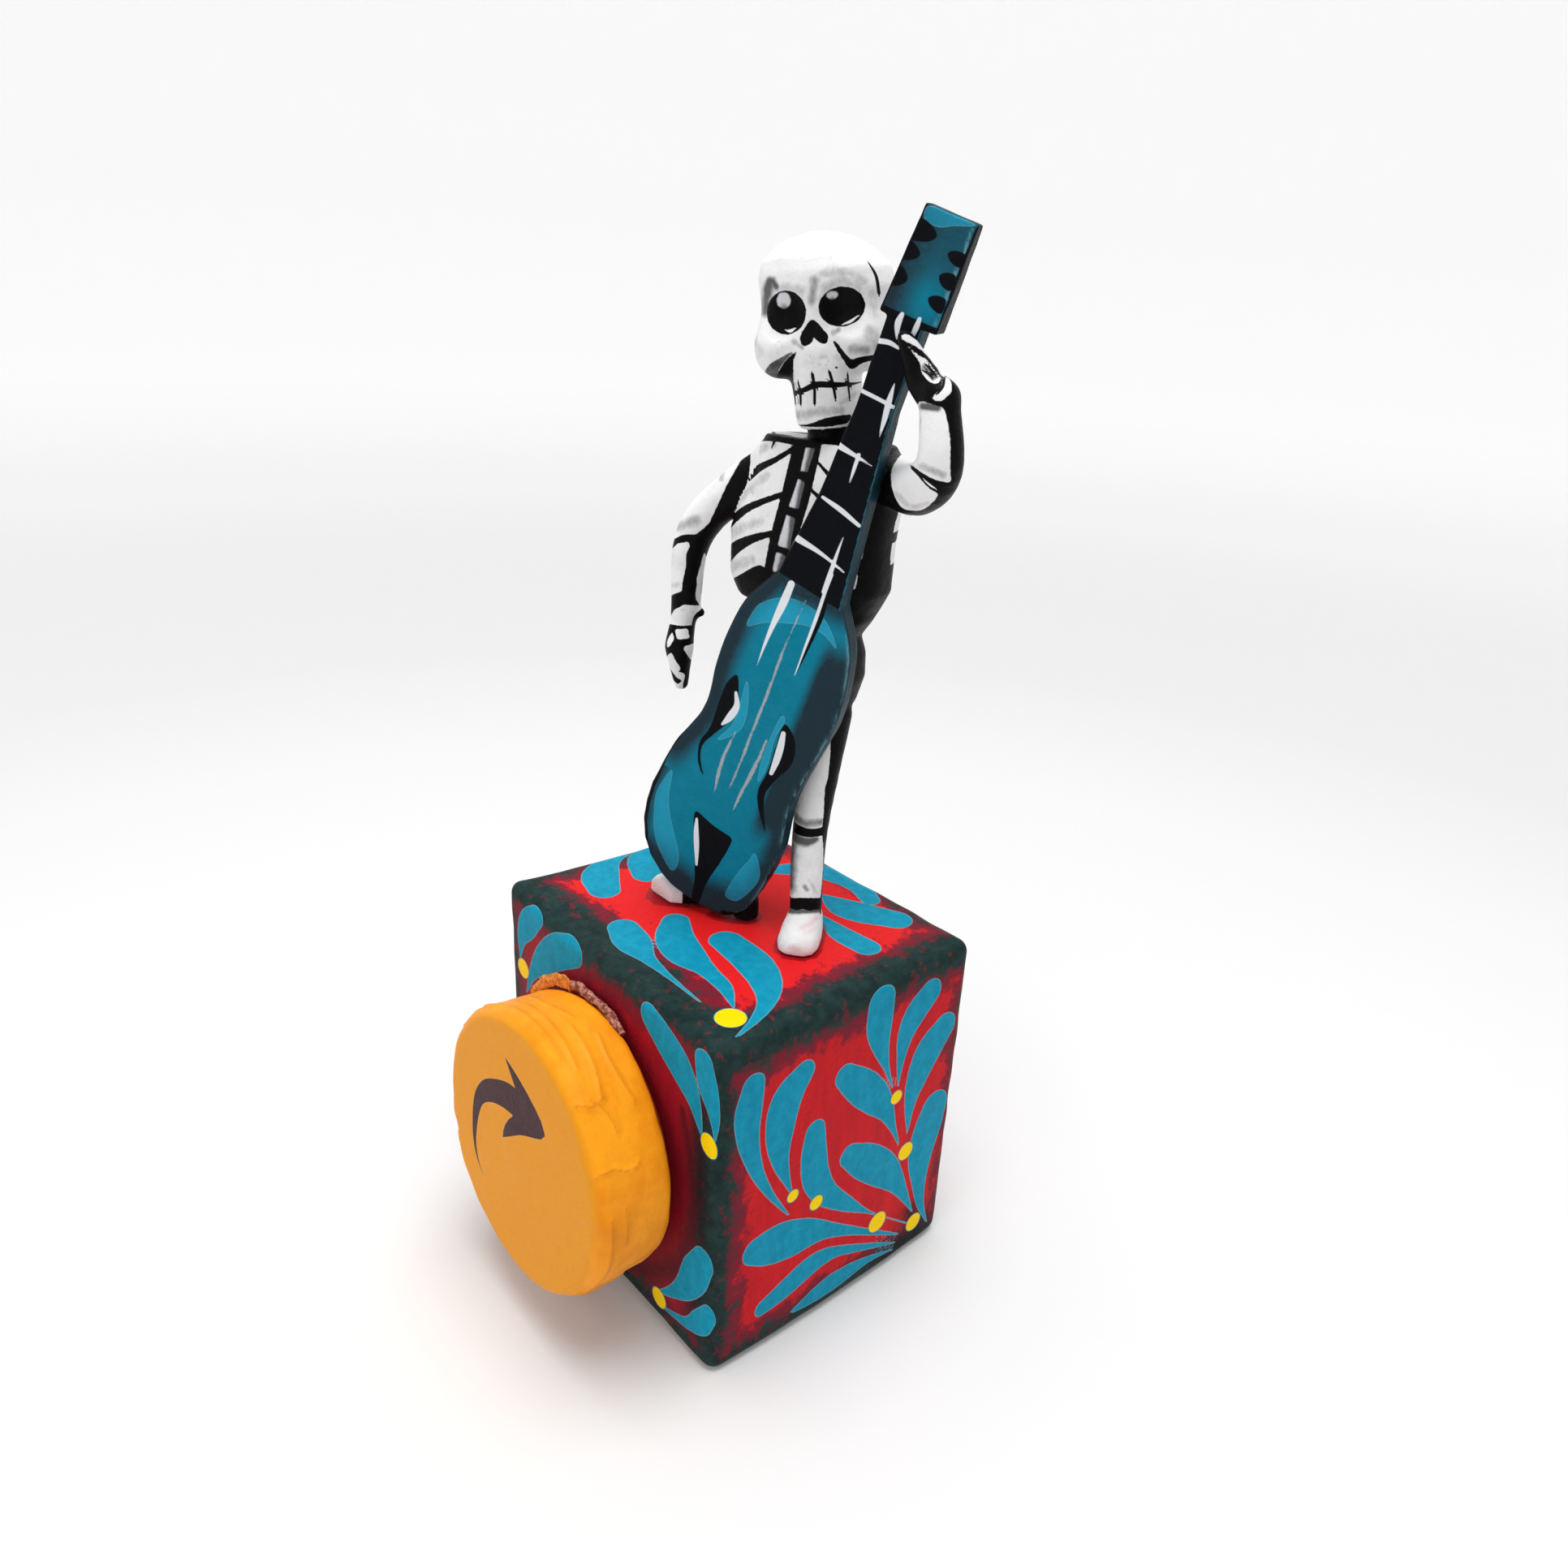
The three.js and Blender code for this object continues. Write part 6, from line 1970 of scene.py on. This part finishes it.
@dataclass(frozen=True)
class Wall:
    """One painted face of the box: its strokes, where its red ground lies, and how deep its red is, partly painted
    shade.
    """

    side: Side
    leaves: Spines
    dots: Places
    ground: tuple[float, float, float, float]
    # Share of deeper red: partly the paint's own, partly painted shade for how light falls on this wall
    deep_paint_and_shade: float
    flat: float = 0.0
    slant: tuple[float, float] = (0.0, 0.0)

    def view(self, points: Array) -> tuple[Array, Array, Array]:
        """Across, up and outward places of points on this face."""
        x, y, z = points.T
        return {Side.TOP: (x, y, z - BOX_TOP / 2), Side.RIGHT: (y, z, x), Side.FRONT: (x, z, -y),
                Side.LEFT: (-y, z, -x), Side.BACK: (-x, z, y)}[self.side]

    def laid_flat(self, points: Array) -> tuple[Array, Array, Array]:
        """Across and up places carried to the flat wall that the strokes were drawn on, and outward places."""
        across, up, out = self.view(points)
        behind = np.clip(self.flat - out, -1.5, 2.5)
        return across + behind * self.slant[0], up + behind * self.slant[1], out


# Each wall: side, leaves, dots, red ground as left, right, low and high, share of deeper red that is partly painted
# shade, and the plane and slant that the strokes were drawn on
WALLS = (
    Wall(Side.TOP, TOP_LEAVES, ((33.5, -27.5, 3.3),), (-37, 34, -25.5, 32), -0.1, 43, (1.35, -1.1)),
    Wall(Side.RIGHT, RIGHT_LEAVES, RIGHT_DOTS, (-31, 34, 6.5, 78), 0.4, 42.6, (-1.05, 1.2)),
    Wall(Side.FRONT, FRONT_LEAVES, FRONT_DOTS, (-37, 35, 8, 81), 0.95, 37.1, (1.4, 1.4)),
    Wall(Side.LEFT, SPRAY_LEAVES, SPRAY_DOTS, (-31, 31, 9.5, 75), 0.35),
    Wall(Side.BACK, SPRAY_LEAVES, SPRAY_DOTS, (-36, 36, 9.5, 75), 0.35))


@dataclass(frozen=True)
class MusicBox:
    """The hollow box of pasted paper, with rounded edges, slightly bellied walls and a bore for the shaft."""

    feet: Sequence[Shape]

    width: float = 85.2
    depth: float = 74.2
    height: float = 86.0
    wall: float = 4.0
    edge_radius: float = 3.2
    swell: float = 0.9
    spacing: float = 0.68
    edge_rows: int = 5
    unevenness: float = 0.32
    foot_swell: float = 1.0
    tall_corner: float = 2.4
    bore_radius: float = 4.4
    bore_height: float = 43.8
    bore_lift: float = 3.5

    def half(self) -> Array:
        """Half of the width, depth and height."""
        return np.array([self.width, self.depth, self.height]) / 2

    def _lines(self, half: float) -> Array:
        """Places of the net's lines along one axis, closer over the rounded edges."""
        flat = half - self.edge_radius
        count = int(round(2 * flat / self.spacing))
        curve = self.edge_radius * np.tan(np.radians(np.linspace(0, 45, self.edge_rows + 1)[1:]))
        return np.concatenate([-(flat + curve)[::-1], np.linspace(-flat, flat, count + 1), flat + curve])

    def shell(self) -> tuple[Array, list[Sequence[int]]]:
        """Net of points over the outside, and its faces."""
        half = self.half()
        lines = [self._lines(size) for size in half]
        found: dict[tuple[int, int, int], int] = {}

        def corner(spot: tuple[int, int, int]) -> int:
            """Number of the point at a crossing of the net's lines."""
            return found.setdefault(spot, len(found))

        faces: list[Sequence[int]] = []
        for axis in range(3):
            one, two = (axis + 1) % 3, (axis + 2) % 3
            for end in (0, len(lines[axis]) - 1):
                for i, j in np.ndindex(len(lines[one]) - 1, len(lines[two]) - 1):
                    on_edge = min(i, j, len(lines[one]) - 2 - i, len(lines[two]) - 2 - j) < self.edge_rows
                    if axis == 2 and end == 0 and not on_edge:
                        continue
                    ring = []
                    for step_i, step_j in ((0, 0), (1, 0), (1, 1), (0, 1)):
                        spot = [0, 0, 0]
                        spot[axis], spot[one], spot[two] = end, i + step_i, j + step_j
                        ring.append(corner(tuple(spot)))
                    faces.append(ring if end else ring[::-1])
        first = self.edge_rows
        last_x, last_y = len(lines[0]) - 1 - first, len(lines[1]) - 1 - first
        rim = ([(i, first, 0) for i in range(first, last_x)] + [(last_x, j, 0) for j in range(first, last_y)]
               + [(i, last_y, 0) for i in range(last_x, first, -1)]
               + [(first, j, 0) for j in range(last_y, first, -1)])
        faces.append([corner(spot) for spot in rim][::-1])
        cube = np.array([[lines[axis][spot[axis]] for axis in range(3)] for spot in found])
        return self._rounded(cube), faces

    def _rounded(self, cube: Array) -> Array:
        """Moves points of a cube's net on to rounded edges and bellied walls.

        Args:
            cube: Points of the net.

        Returns:
            The moved points.
        """
        half = self.half()
        core = np.clip(cube, self.edge_radius - half, half - self.edge_radius)
        outward = cube - core
        outward /= np.linalg.norm(outward, axis=1, keepdims=True)
        points = core + outward * self.edge_radius
        belly = 1 - (points / half) ** 2
        rise = self.swell * belly[:, 2]
        points[:, 0] += outward[:, 0] ** 3 * rise * belly[:, 1]
        points[:, 1] += outward[:, 1] ** 3 * rise * belly[:, 0]
        low_right = smoothstep(points[:, 0], half[0] - 6, half[0] - 1.5) * smoothstep(-points[:, 2], 6, half[2])
        points[:, 0] += self.foot_swell * low_right * belly[:, 1]
        stays = np.clip(outward[:, 2:3], -1, 0) ** 2 + (outward[:, 2:3] > 0.99)
        points += outward * np.clip(1 - stays, 0, 1) * lumps(points, 17, 6, 3) * self.unevenness
        tall = np.clip(-points[:, 0] / half[0], 0, 1) ** 1.6 * np.clip(-points[:, 1] / half[1], 0, 1) ** 1.6
        points[:, 2] += self.tall_corner * tall * smoothstep(points[:, 2], -half[2], half[2])
        return points + np.array([0, 0, half[2]])

    def _cutter(self, name: str, points: Array, faces: Sequence[Sequence[int]]) -> Piece:
        """Helper solid that is taken away from the box."""
        cutter = new_piece(name, points, faces)
        cutter.hide_render = True
        return cutter

    def hollow(self) -> Piece:
        """Helper solid of the room inside the walls."""
        corners = np.array([[x, y, z] for z in (-1, 1) for y in (-1, 1) for x in (-1, 1)], float)
        points = corners * (self.half() - self.wall) + [0, 0, self.half()[2]]
        return self._cutter("room", points, [(0, 2, 3, 1), (4, 5, 7, 6), (0, 1, 5, 4), (2, 6, 7, 3), (0, 4, 6, 2),
                                             (1, 3, 7, 5)])

    def bore(self) -> Piece:
        """Helper solid of the bore for the knob's shaft."""
        lift = np.radians(self.bore_lift)
        axis = np.array([0, -np.cos(lift), np.sin(lift)])
        rise = np.array([0, np.sin(lift), np.cos(lift)])
        middle = np.array([0, -self.depth / 2, self.bore_height])
        sides = 48
        points = []
        for reach in (-self.wall - 4, self.swell + 3):
            for step in range(sides):
                angle = 2 * np.pi * step / sides
                points.append(middle + axis * reach + self.bore_radius * (
                    np.array([np.cos(angle), 0, 0]) + rise * np.sin(angle)))
        piece = self._cutter("bore", points, [*ring_faces(2, sides), range(sides)[::-1], range(sides, 2 * sides)])
        outwards(piece)
        return piece

    def dress(self, piece: Piece) -> None:
        """Paints sponged ground, leaves, dots, deeper red and black as painted shade on the walls, and a glossy ring
        round the feet for adhesive and painted contact shadow.

        Args:
            piece: The bare box.
        """
        points, outward = places(piece), directions(piece)
        canvas = Canvas(points, ("dot", "glue_and_shadow"), ("leaf",))
        ground = np.full(len(points), -FAR)
        deep_paint_and_shade, smudge_and_shade = canvas.tint("deep_paint_and_shade"), canvas.tint("smudge_and_shade")
        inside = np.all(np.abs(points - [0, 0, BOX_TOP / 2]) < self.half() - self.wall / 2, axis=1)
        for wall in WALLS:
            across, up, out = wall.laid_flat(points)
            _, _, facing = wall.view(outward + [0, 0, BOX_TOP / 2])
            chosen = (facing > 0.45) & (out > 0) & ~inside
            left, right, low, high = wall.ground
            beside = np.maximum(np.maximum(left - across, across - right), np.maximum(low - up, up - high))
            ground[chosen] = np.maximum(ground, -beside)[chosen]
            # Deeper red of this wall, partly painted shade
            deep_paint_and_shade[chosen] = wall.deep_paint_and_shade
            face = canvas.face(chosen, across, up)
            face.strokes("leaf", wall.leaves)
            for dot in wall.dots:
                face.dot("dot", *dot)
            if wall.side is Side.RIGHT:
                # Black specks low at the back of the right wall
                face.haze("smudge_and_shade", ((25, 12, 4), (28, 5, 5), (18, 3, 4)), 0.95)
            if wall.side is Side.FRONT:
                # Black painted shade round the drum on the front wall
                face.haze("smudge_and_shade", ((36, 70, 3), (37, 40, 3), (36, 10, 4)), 0.8)
                face.haze("smudge_and_shade", ((30.5, 66, 1), (35, 50, 3), (34.5, 34, 3.6), (27, 19, 4),
                                     (10, 9.5, 4), (-20, 12, 4)), 0.7)
        # Ring round the feet and the bass's foot: adhesive and painted contact shadow
        near_top = np.flatnonzero(points[:, 2] > BOX_TOP - 1)
        probe = points[near_top] * [1, 1, 0] + [0, 0, BOX_TOP + GLUE_GAP + 0.6]
        ring = np.min([shape.distance(probe) for shape in self.feet], axis=0)
        canvas.layers["glue_and_shadow"][near_top] = np.abs(ring + 0.1) - 0.9
        canvas.layers["ground"] = ground
        write_paint(piece, canvas.layers)
        piece.data.materials.append(BoxPaint().make())

    def build(self) -> None:
        """Shapes and dresses the box."""
        piece = new_piece("music_box_painted", *self.shell())
        for cutter in (self.hollow(), self.bore()):
            cut = piece.modifiers.new("cut", "BOOLEAN")
            cut.operation, cut.solver, cut.object = "DIFFERENCE", "EXACT", cutter
            freeze(piece)
            bpy.data.objects.remove(cutter)
        self.dress(piece)
        hand_over(piece, Body.CASE, "music_box", Slot.BOX)


ARROW_TAIL: Spine = (
    (-14.9, -17.1, 0.05), (-18.3, -13.6, 0.35), (-19.8, -9.5, 0.65), (-19.9, -5.5, 1.05), (-19.1, 0, 1.55),
    (-17.4, 4.4, 2), (-14, 7.9, 2.6), (-8.6, 10.7, 3.1), (-3, 12.3, 3.7), (0, 12.5, 3.8))
ARROW_HEAD = (
    (-6.1, 21.7), (-3.4, 20.9), (-0.3, 19.9), (4, 18.1), (7.4, 16.3), (9.9, 14.7), (11.7, 12.1), (9.9, 10),
    (7, 8.5), (4, 7.1), (1, 5.5), (-1.7, 3.5), (-6.4, 0.1), (-6.2, 2.2), (-5.4, 4.2), (-4, 6.4),
    (-2.1, 8.5), (-1, 12), (-0.9, 15.9), (-3.2, 18.6))
# Folds of the paper round the drum, by degrees from +X, millimetres behind the face and how far each reaches
FOLDS: Spines = (
    ((128, 3, 0.5), (96, 3.6, 0.6), (66, 2.6, 0.5)),
    ((112, 6.5, 0.45), (88, 6, 0.5), (62, 4.6, 0.45)),
    ((80, 9, 0.45), (62, 8.4, 0.5), (48, 6.6, 0.4)),
    ((118, 10.5, 0.4), (100, 9.6, 0.45), (84, 11, 0.4)),
    ((50, 1, 0.6), (47, 4, 0.7), (49, 7.5, 0.5)),
    ((50, 4, 0.5), (44, 6.5, 0.6), (36, 7.5, 0.4)),
    ((72, 13, 0.4), (60, 12, 0.5), (44, 13.4, 0.4)),
    ((24, 0.8, 0.5), (25, 4, 0.6), (22, 8.5, 0.5), (24, 11, 0.35)),
    ((8, 2.6, 0.55), (-12, 3.2, 0.65), (-30, 2.8, 0.5)),
    ((10, 6, 0.4), (-6, 6.6, 0.5)),
    ((-40, 1, 0.6), (-42, 6, 0.7), (-39, 12, 0.5)),
    ((150, 2, 0.6), (154, 8, 0.7), (149, 14, 0.5)),
    ((205, 3, 0.6), (228, 3.6, 0.7), (250, 3, 0.5)),
    ((275, 2, 0.6), (272, 8, 0.7), (277, 14, 0.5)))


@dataclass(frozen=True)
class WindingKnob:
    """The drum of pasted paper on its shaft, turned about an axis that looks up a little."""

    radius: float = 33.2
    thickness: float = 19.0
    rim_radius: float = 2.6
    wobble: float = 0.6
    shaft_radius: float = 4.0
    shaft_tail: float = -7.0
    clearance: float = 1.3
    lift: float = 3.5
    root: Place = (0.0, -37.1, 43.8)
    columns: int = 320
    rows: int = 210

    @property
    def back(self) -> float:
        """Place of the drum's back along the axis."""
        return self.clearance + self.radius * float(np.sin(np.radians(self.lift)))

    @property
    def face(self) -> float:
        """Place of the drum's face along the axis."""
        return self.back + self.thickness

    def axes(self) -> Axes:
        """Axes at the front wall: side is +X, front is the axis of the drum."""
        return Axes.leaning(self.root, 0, self.lift, 0)

    def profile(self) -> list[tuple[float, float]]:
        """Corners of the profile as radius and place along the axis, from the tail to the middle of the face."""
        flat = self.radius - self.rim_radius
        corners = [(0, self.shaft_tail), (self.shaft_radius, self.shaft_tail), (self.shaft_radius, self.back)]
        for level, direction, angles in ((self.back, 1, (0, 22, 45, 68, 90)), (self.face, -1, (90, 68, 45, 22, 0))):
            for angle in np.radians(angles):
                corners.append((flat + np.sin(angle) * self.rim_radius,
                                level + direction * (1 - np.cos(angle)) * self.rim_radius))
        return [*corners, (0, self.face)]

    def lathe(self) -> Piece:
        """Turns the profile into a drum with a wobbly outline by Geometry Nodes."""
        corners = self.profile()
        piece = new_piece("winding_knob_paper", [(reach, 0, level) for reach, level in corners], (),
                          [(spot, spot + 1) for spot in range(len(corners) - 1)])
        recipe = Recipe("drum on a lathe")
        columns = recipe.input("Columns", "Int", self.columns + 1)
        rows = recipe.input("Rows", "Int", self.rows)
        radius = recipe.input("Radius", "Float", self.radius * MM)
        shaft = recipe.input("Shaft radius", "Float", self.shaft_radius * MM)
        wobble = recipe.input("Wobble", "Float", self.wobble * MM)
        curve = recipe.add("GeometryNodeMeshToCurve", Mesh=recipe.entry.outputs[0])
        net = recipe.add("GeometryNodeMeshGrid", Size_X=1, Size_Y=1, Vertices_X=rows, Vertices_Y=columns)
        spot = recipe.node("ShaderNodeSeparateXYZ", inputs={0: recipe.add("GeometryNodeInputPosition")})
        along, round_share = (Value(recipe, spot.outputs[axis]) + 0.5 for axis in (0, 1))
        sample = recipe.add("GeometryNodeSampleCurve", {"mode": "FACTOR"}, "Position", Curves=curve, Factor=along)
        place = recipe.node("ShaderNodeSeparateXYZ", inputs={0: sample})
        reach = Value(recipe, place.outputs[0])
        angle = round_share * (2 * np.pi)
        oval = angle.math("MULTIPLY_ADD", 2, 0.7).math("COSINE")
        wave = wobble * (angle * 5).math("COSINE").math("MULTIPLY_ADD", 0.5, oval)
        share = (reach - shaft).most(0) / (radius - shaft)
        reach = reach * (1 + share * wave / radius)
        turned = recipe.node("ShaderNodeCombineXYZ", inputs={
            0: reach * angle.math("COSINE"), 1: reach * (angle.math("SINE") * -1), 2: place.outputs[2]})
        moved = recipe.add("GeometryNodeSetPosition", Geometry=net, Position=turned.outputs[0])
        recipe.run(piece, recipe.add("GeometryNodeMergeByDistance", Geometry=moved, Distance=1e-6), OchrePaper().make())
        outwards(piece)
        return piece

    def _band(self, canvas: Canvas) -> Face:
        """The side of the drum, laid flat: arc from +X at the middle radius, and depth behind the face."""
        across, rise, out = canvas.points.T
        arc = np.mod(np.degrees(np.arctan2(rise, across)) + 60, 360) - 60
        chosen = (np.hypot(across, rise) > self.radius - self.rim_radius - 1.5) & (out > self.back)
        return canvas.face(chosen, np.radians(arc) * self.radius, self.face - out)

    def crumple(self, piece: Piece) -> None:
        """Raises folds and unevenness of the pasted paper.

        Args:
            piece: The turned drum.
        """
        points, outward = places(piece), directions(piece)
        across, rise, out = points.T
        canvas = Canvas(points)
        fold = canvas.tint("fold")
        band = self._band(canvas)
        for spine in FOLDS:
            band.haze("fold", [(np.radians(angle) * self.radius, depth, reach) for angle, depth, reach in spine])
        reach = np.hypot(across, rise)
        drum = smoothstep(reach, self.shaft_radius + 1, self.shaft_radius + 4) * (out > self.back - 0.1)
        side = smoothstep(reach, self.radius - 3, self.radius - 1.5)
        depth = self.face - out
        seam = smoothstep(depth + 0.5 * value_noise(points, 4, 11), 2, 2.4) * smoothstep(-depth, -19, -6)
        dents = value_noise(points, 9, 12) * 0.22 + value_noise(points, 3.5, 13) * 0.1
        streaks = value_noise(points * [0.35, 0.35, 1], 1.3, 14) * 0.09
        amount = drum * (side * (fold * 0.42 + seam * 0.28 + streaks - 0.2) + dents * (0.45 + 0.55 * side) - 0.1)
        turn = np.degrees(np.arctan2(rise, across))
        nick = np.exp(-((turn + 159) / 2.2) ** 2 - ((depth - 0.5) / 1.6) ** 2) * side
        moved = points + outward * (amount - 0.9 * nick)[:, None]
        moved[:, 2] = np.where(out <= self.back + 0.1, out, np.maximum(moved[:, 2], self.back))
        move_points(piece, moved)
        rim = np.exp(-((depth - 1) / 0.45) ** 2) * 0.8 * (value_noise(points, 3, 16) > -0.1)
        lip = smoothstep(depth, 17.6, 18.6) * side * (rise < 31)
        # The folds and the rim line are darkened in colour as painted shade
        write_paint(piece, {"crease_shade": np.maximum(fold, rim) * side, "lip": lip})

    def dress(self, piece: Piece) -> None:
        """Paints the arrow and the tone of the face.

        Args:
            piece: The crumpled drum.
        """
        points, outward = places(piece), directions(piece)
        across, rise, out = points.T
        canvas = Canvas(points, ("arrow",))
        front = (out > self.face - 2) & (outward[:, 2] > 0.5)
        face = canvas.face(front, across, rise)
        face.stroke("arrow", ARROW_TAIL)
        face.patch("arrow", ARROW_HEAD, curved=False)
        edge = self.radius - self.rim_radius + 1 - np.hypot(across, rise)
        canvas.tint("face")[:] = smoothstep(edge + value_noise(points, 5, 15), -1.2, 1.4) * front
        write_paint(piece, canvas.layers)

    def build(self) -> None:
        """Shapes and dresses the knob."""
        piece = self.lathe()
        self.crumple(piece)
        self.dress(piece)
        self.stand(piece)
        hand_over(piece, Body.KNOB, "winding_knob", Slot.PAPER)

    def stand(self, piece: Piece) -> None:
        """Carries a piece that was made round its own axis to its place before the front wall."""
        move_points(piece, self.axes().world(places(piece)))
        piece.data.polygons.foreach_set("use_smooth", np.ones(len(piece.data.polygons), bool))


@dataclass(frozen=True)
class TornPaper:
    """Strip of torn paper that is left standing up along the drum's back edge."""

    knob: WindingKnob
    name: str
    run: Outline
    tall: float
    thick: float
    ahead: float
    finish: TornFinish
    stations: int = 180
    section_points: int = 24
    crumple_scale: float = 360.0

    def build(self) -> None:
        """Sweeps the strip along the edge and crumples it by Geometry Nodes."""
        rows = smooth_path([(np.radians(turn), share) for turn, share in self.run], 16 * (len(self.run) - 1))
        reach = self.knob.radius - 0.5 + rows[:, 1] * self.tall / 2
        level = np.full(len(rows), self.knob.back + self.ahead)
        path = np.stack([reach * np.cos(rows[:, 0]), reach * np.sin(rows[:, 0]), level], axis=1)
        piece = new_piece(self.name, path, (), [(spot, spot + 1) for spot in range(len(path) - 1)])
        write_paint(piece, {"share": rows[:, 1]})
        recipe = Recipe(self.name)
        size = recipe.input("Section", "Vector", (self.tall * MM, self.thick * MM, 1))
        crumple = recipe.input("Crumple", "Float", self.tall * 0.55 * MM)
        curve = recipe.add("GeometryNodeMeshToCurve", Mesh=recipe.entry.outputs[0])
        share = recipe.add("GeometryNodeInputNamedAttribute", {"data_type": "FLOAT"}, Name="share")
        upright = recipe.add("GeometryNodeSetCurveNormal", {"mode": "Z_UP"}, Curve=curve)
        ring = recipe.add("GeometryNodeCurvePrimitiveCircle", Resolution=self.section_points, Radius=0.5)
        section = recipe.add("GeometryNodeTransform", Geometry=ring, Scale=size)
        dense = recipe.add("GeometryNodeResampleCurve", {"mode": "COUNT"}, Curve=upright, Count=self.stations)
        sized = recipe.add("GeometryNodeSetCurveRadius", Curve=dense, Radius=share)
        strip = recipe.add("GeometryNodeCurveToMesh", Curve=sized, Profile_Curve=section, Fill_Caps=True)
        spot = recipe.add("GeometryNodeInputPosition")
        noise = recipe.add("ShaderNodeTexNoise", None, "Color", Vector=spot, Scale=self.crumple_scale, Detail=2)
        push = recipe.node("ShaderNodeVectorMath", {"operation": "SUBTRACT"}, {0: noise, 1: (0.5, 0.5, 0.5)}).outputs[0]
        offset = recipe.node("ShaderNodeVectorMath", {"operation": "SCALE"}, {0: push, "Scale": crumple}).outputs[0]
        recipe.run(piece, recipe.add("GeometryNodeSetPosition", Geometry=strip, Offset=offset), self.finish.make())
        points = places(piece)
        points[:, 2] = np.maximum(points[:, 2], self.knob.back + 0.1)
        move_points(piece, points)
        outwards(piece)
        self.knob.stand(piece)
        hand_over(piece, Body.KNOB, None, Slot.PAPER)


@dataclass(frozen=True)
class Studio:
    """Camera of the picture, pale floor and soft light."""

    eye: Place = (188.65, -154.71, 223.34)
    azimuth: float = 48.26
    elevation: float = 23.02
    roll: float = 2.99
    lens: float = 26.915
    sensor: float = 36.0
    floor_glow: float = 0.04
    backdrop_glow: float = 0.45

    def place_camera(self) -> None:
        """Sets the camera at the angle of the picture."""
        turn, tip, roll = np.radians([self.azimuth, self.elevation, self.roll])
        back = np.array([np.sin(turn) * np.cos(tip), -np.cos(turn) * np.cos(tip), np.sin(tip)])
        right = unit(np.cross(-back, [0, 0, 1]))
        up = np.cross(right, -back)
        right, up = right * np.cos(roll) + up * np.sin(roll), up * np.cos(roll) - right * np.sin(roll)
        data = bpy.data.cameras.new("camera")
        data.sensor_width, data.lens, data.clip_start = self.sensor, self.lens, 0.01
        camera = bpy.data.objects.new("camera", data)
        camera.matrix_world = Matrix((
            (right[0], up[0], back[0], self.eye[0] * MM), (right[1], up[1], back[1], self.eye[1] * MM),
            (right[2], up[2], back[2], self.eye[2] * MM), (0, 0, 0, 1)))
        bpy.context.scene.collection.objects.link(camera)
        bpy.context.scene.camera = camera

    def lay_floor(self) -> None:
        """Lays a wide pale floor that rises softly far away."""
        sides = 96
        turn = 2 * np.pi * np.arange(sides) / sides
        rows = ((500, 0, 0), (800, 0, 0.3), (1100, 0, 0.6), (1500, 12, 0.85), (1800, 60, 1), (2100, 160, 1),
                (2400, 340, 1), (2600, 600, 1), (2700, 1000, 1), (2720, 2400, 1))
        points = [(reach * np.cos(angle), reach * np.sin(angle), height) for reach, height, _ in rows for angle in turn]
        faces = [range(sides), *[face[::-1] for face in ring_faces(len(rows), sides)]]
        floor = new_piece("floor", points, faces)
        behind = np.minimum(0.65 + 0.65 * np.cos(turn - np.radians(self.azimuth + 90)), 1)
        write_paint(floor, {"glow": np.concatenate([
            self.floor_glow + (self.backdrop_glow * behind - self.floor_glow) * share for _, _, share in rows])})
        mix = Mixer("pale floor")
        mix.feed(mix.shader, {"Base Color": (0.78, 0.78, 0.78, 1), "Roughness": 0.9, "Emission Strength": 1,
                              "Emission Color": mix.layer("glow")})
        floor.data.materials.append(mix.material)
        floor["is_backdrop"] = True

    def light(self) -> None:
        """Sets the soft light."""
        world = bpy.data.worlds.new("studio")
        world.use_nodes = True
        world.node_tree.nodes["Background"].inputs["Color"].default_value = (1, 1, 1, 1)
        world.node_tree.nodes["Background"].inputs["Strength"].default_value = 0.31
        bpy.context.scene.world = world
        for name, place, size, power in (("key", (0.05, -0.03, 1.1), 0.7, 10.2),
                                         ("fill", (0.35, -0.95, 0.7), 1, 2.6)):
            data = bpy.data.lights.new(name, "AREA")
            data.size, data.energy = size, power
            lamp = bpy.data.objects.new(name, data)
            lamp.location = place
            aim = Vector((0, 0, 0.1)) - Vector(place)
            lamp.rotation_euler = aim.to_track_quat("-Z", "Y").to_euler()
            bpy.context.scene.collection.objects.link(lamp)

    def build(self) -> None:
        """Sets camera, floor and light."""
        self.place_camera()
        self.lay_floor()
        self.light()
        bpy.context.scene.view_settings.view_transform = "Standard"


# Each strip: name, turn in degrees and share of its height along it, height, thickness, place ahead and finish
TORN_STRIPS = (
    ("torn_ochre_paper", ((137, 0.1), (131, 0.55), (124, 0.9), (116, 1), (109, 0.9), (104, 0.3)), 3, 1, 1.4,
     TornFinish("torn ochre paper", paint(236, 150, 50), paint(186, 104, 40))),
    ("torn_brown_paper", ((107, 0.3), (103, 0.9), (98, 1.1), (94, 0.6), (87, 0.75), (79, 0.8), (73, 0.55), (69, 0.15)),
     2.2, 1.7, 0.9, TornFinish("torn brown paper", paint(112, 58, 38), paint(196, 130, 116))))


def main() -> None:
    """Builds the pieces in order."""
    logging.basicConfig(level=logging.INFO, format="%(message)s")
    Studio().build()
    bass = DoubleBass()
    figure = Skeleton(bass.shape)
    MusicBox((*figure.feet(), bass.shape)).build()
    knob = WindingKnob()
    knob.build()
    for strip in TORN_STRIPS:
        TornPaper(knob, *strip).build()
    bass.build()
    figure.build()
    [[list(corner) for corner in bounds] for bounds in (CAD_BOUNDS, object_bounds())]


if __name__ == "__main__":
    main()
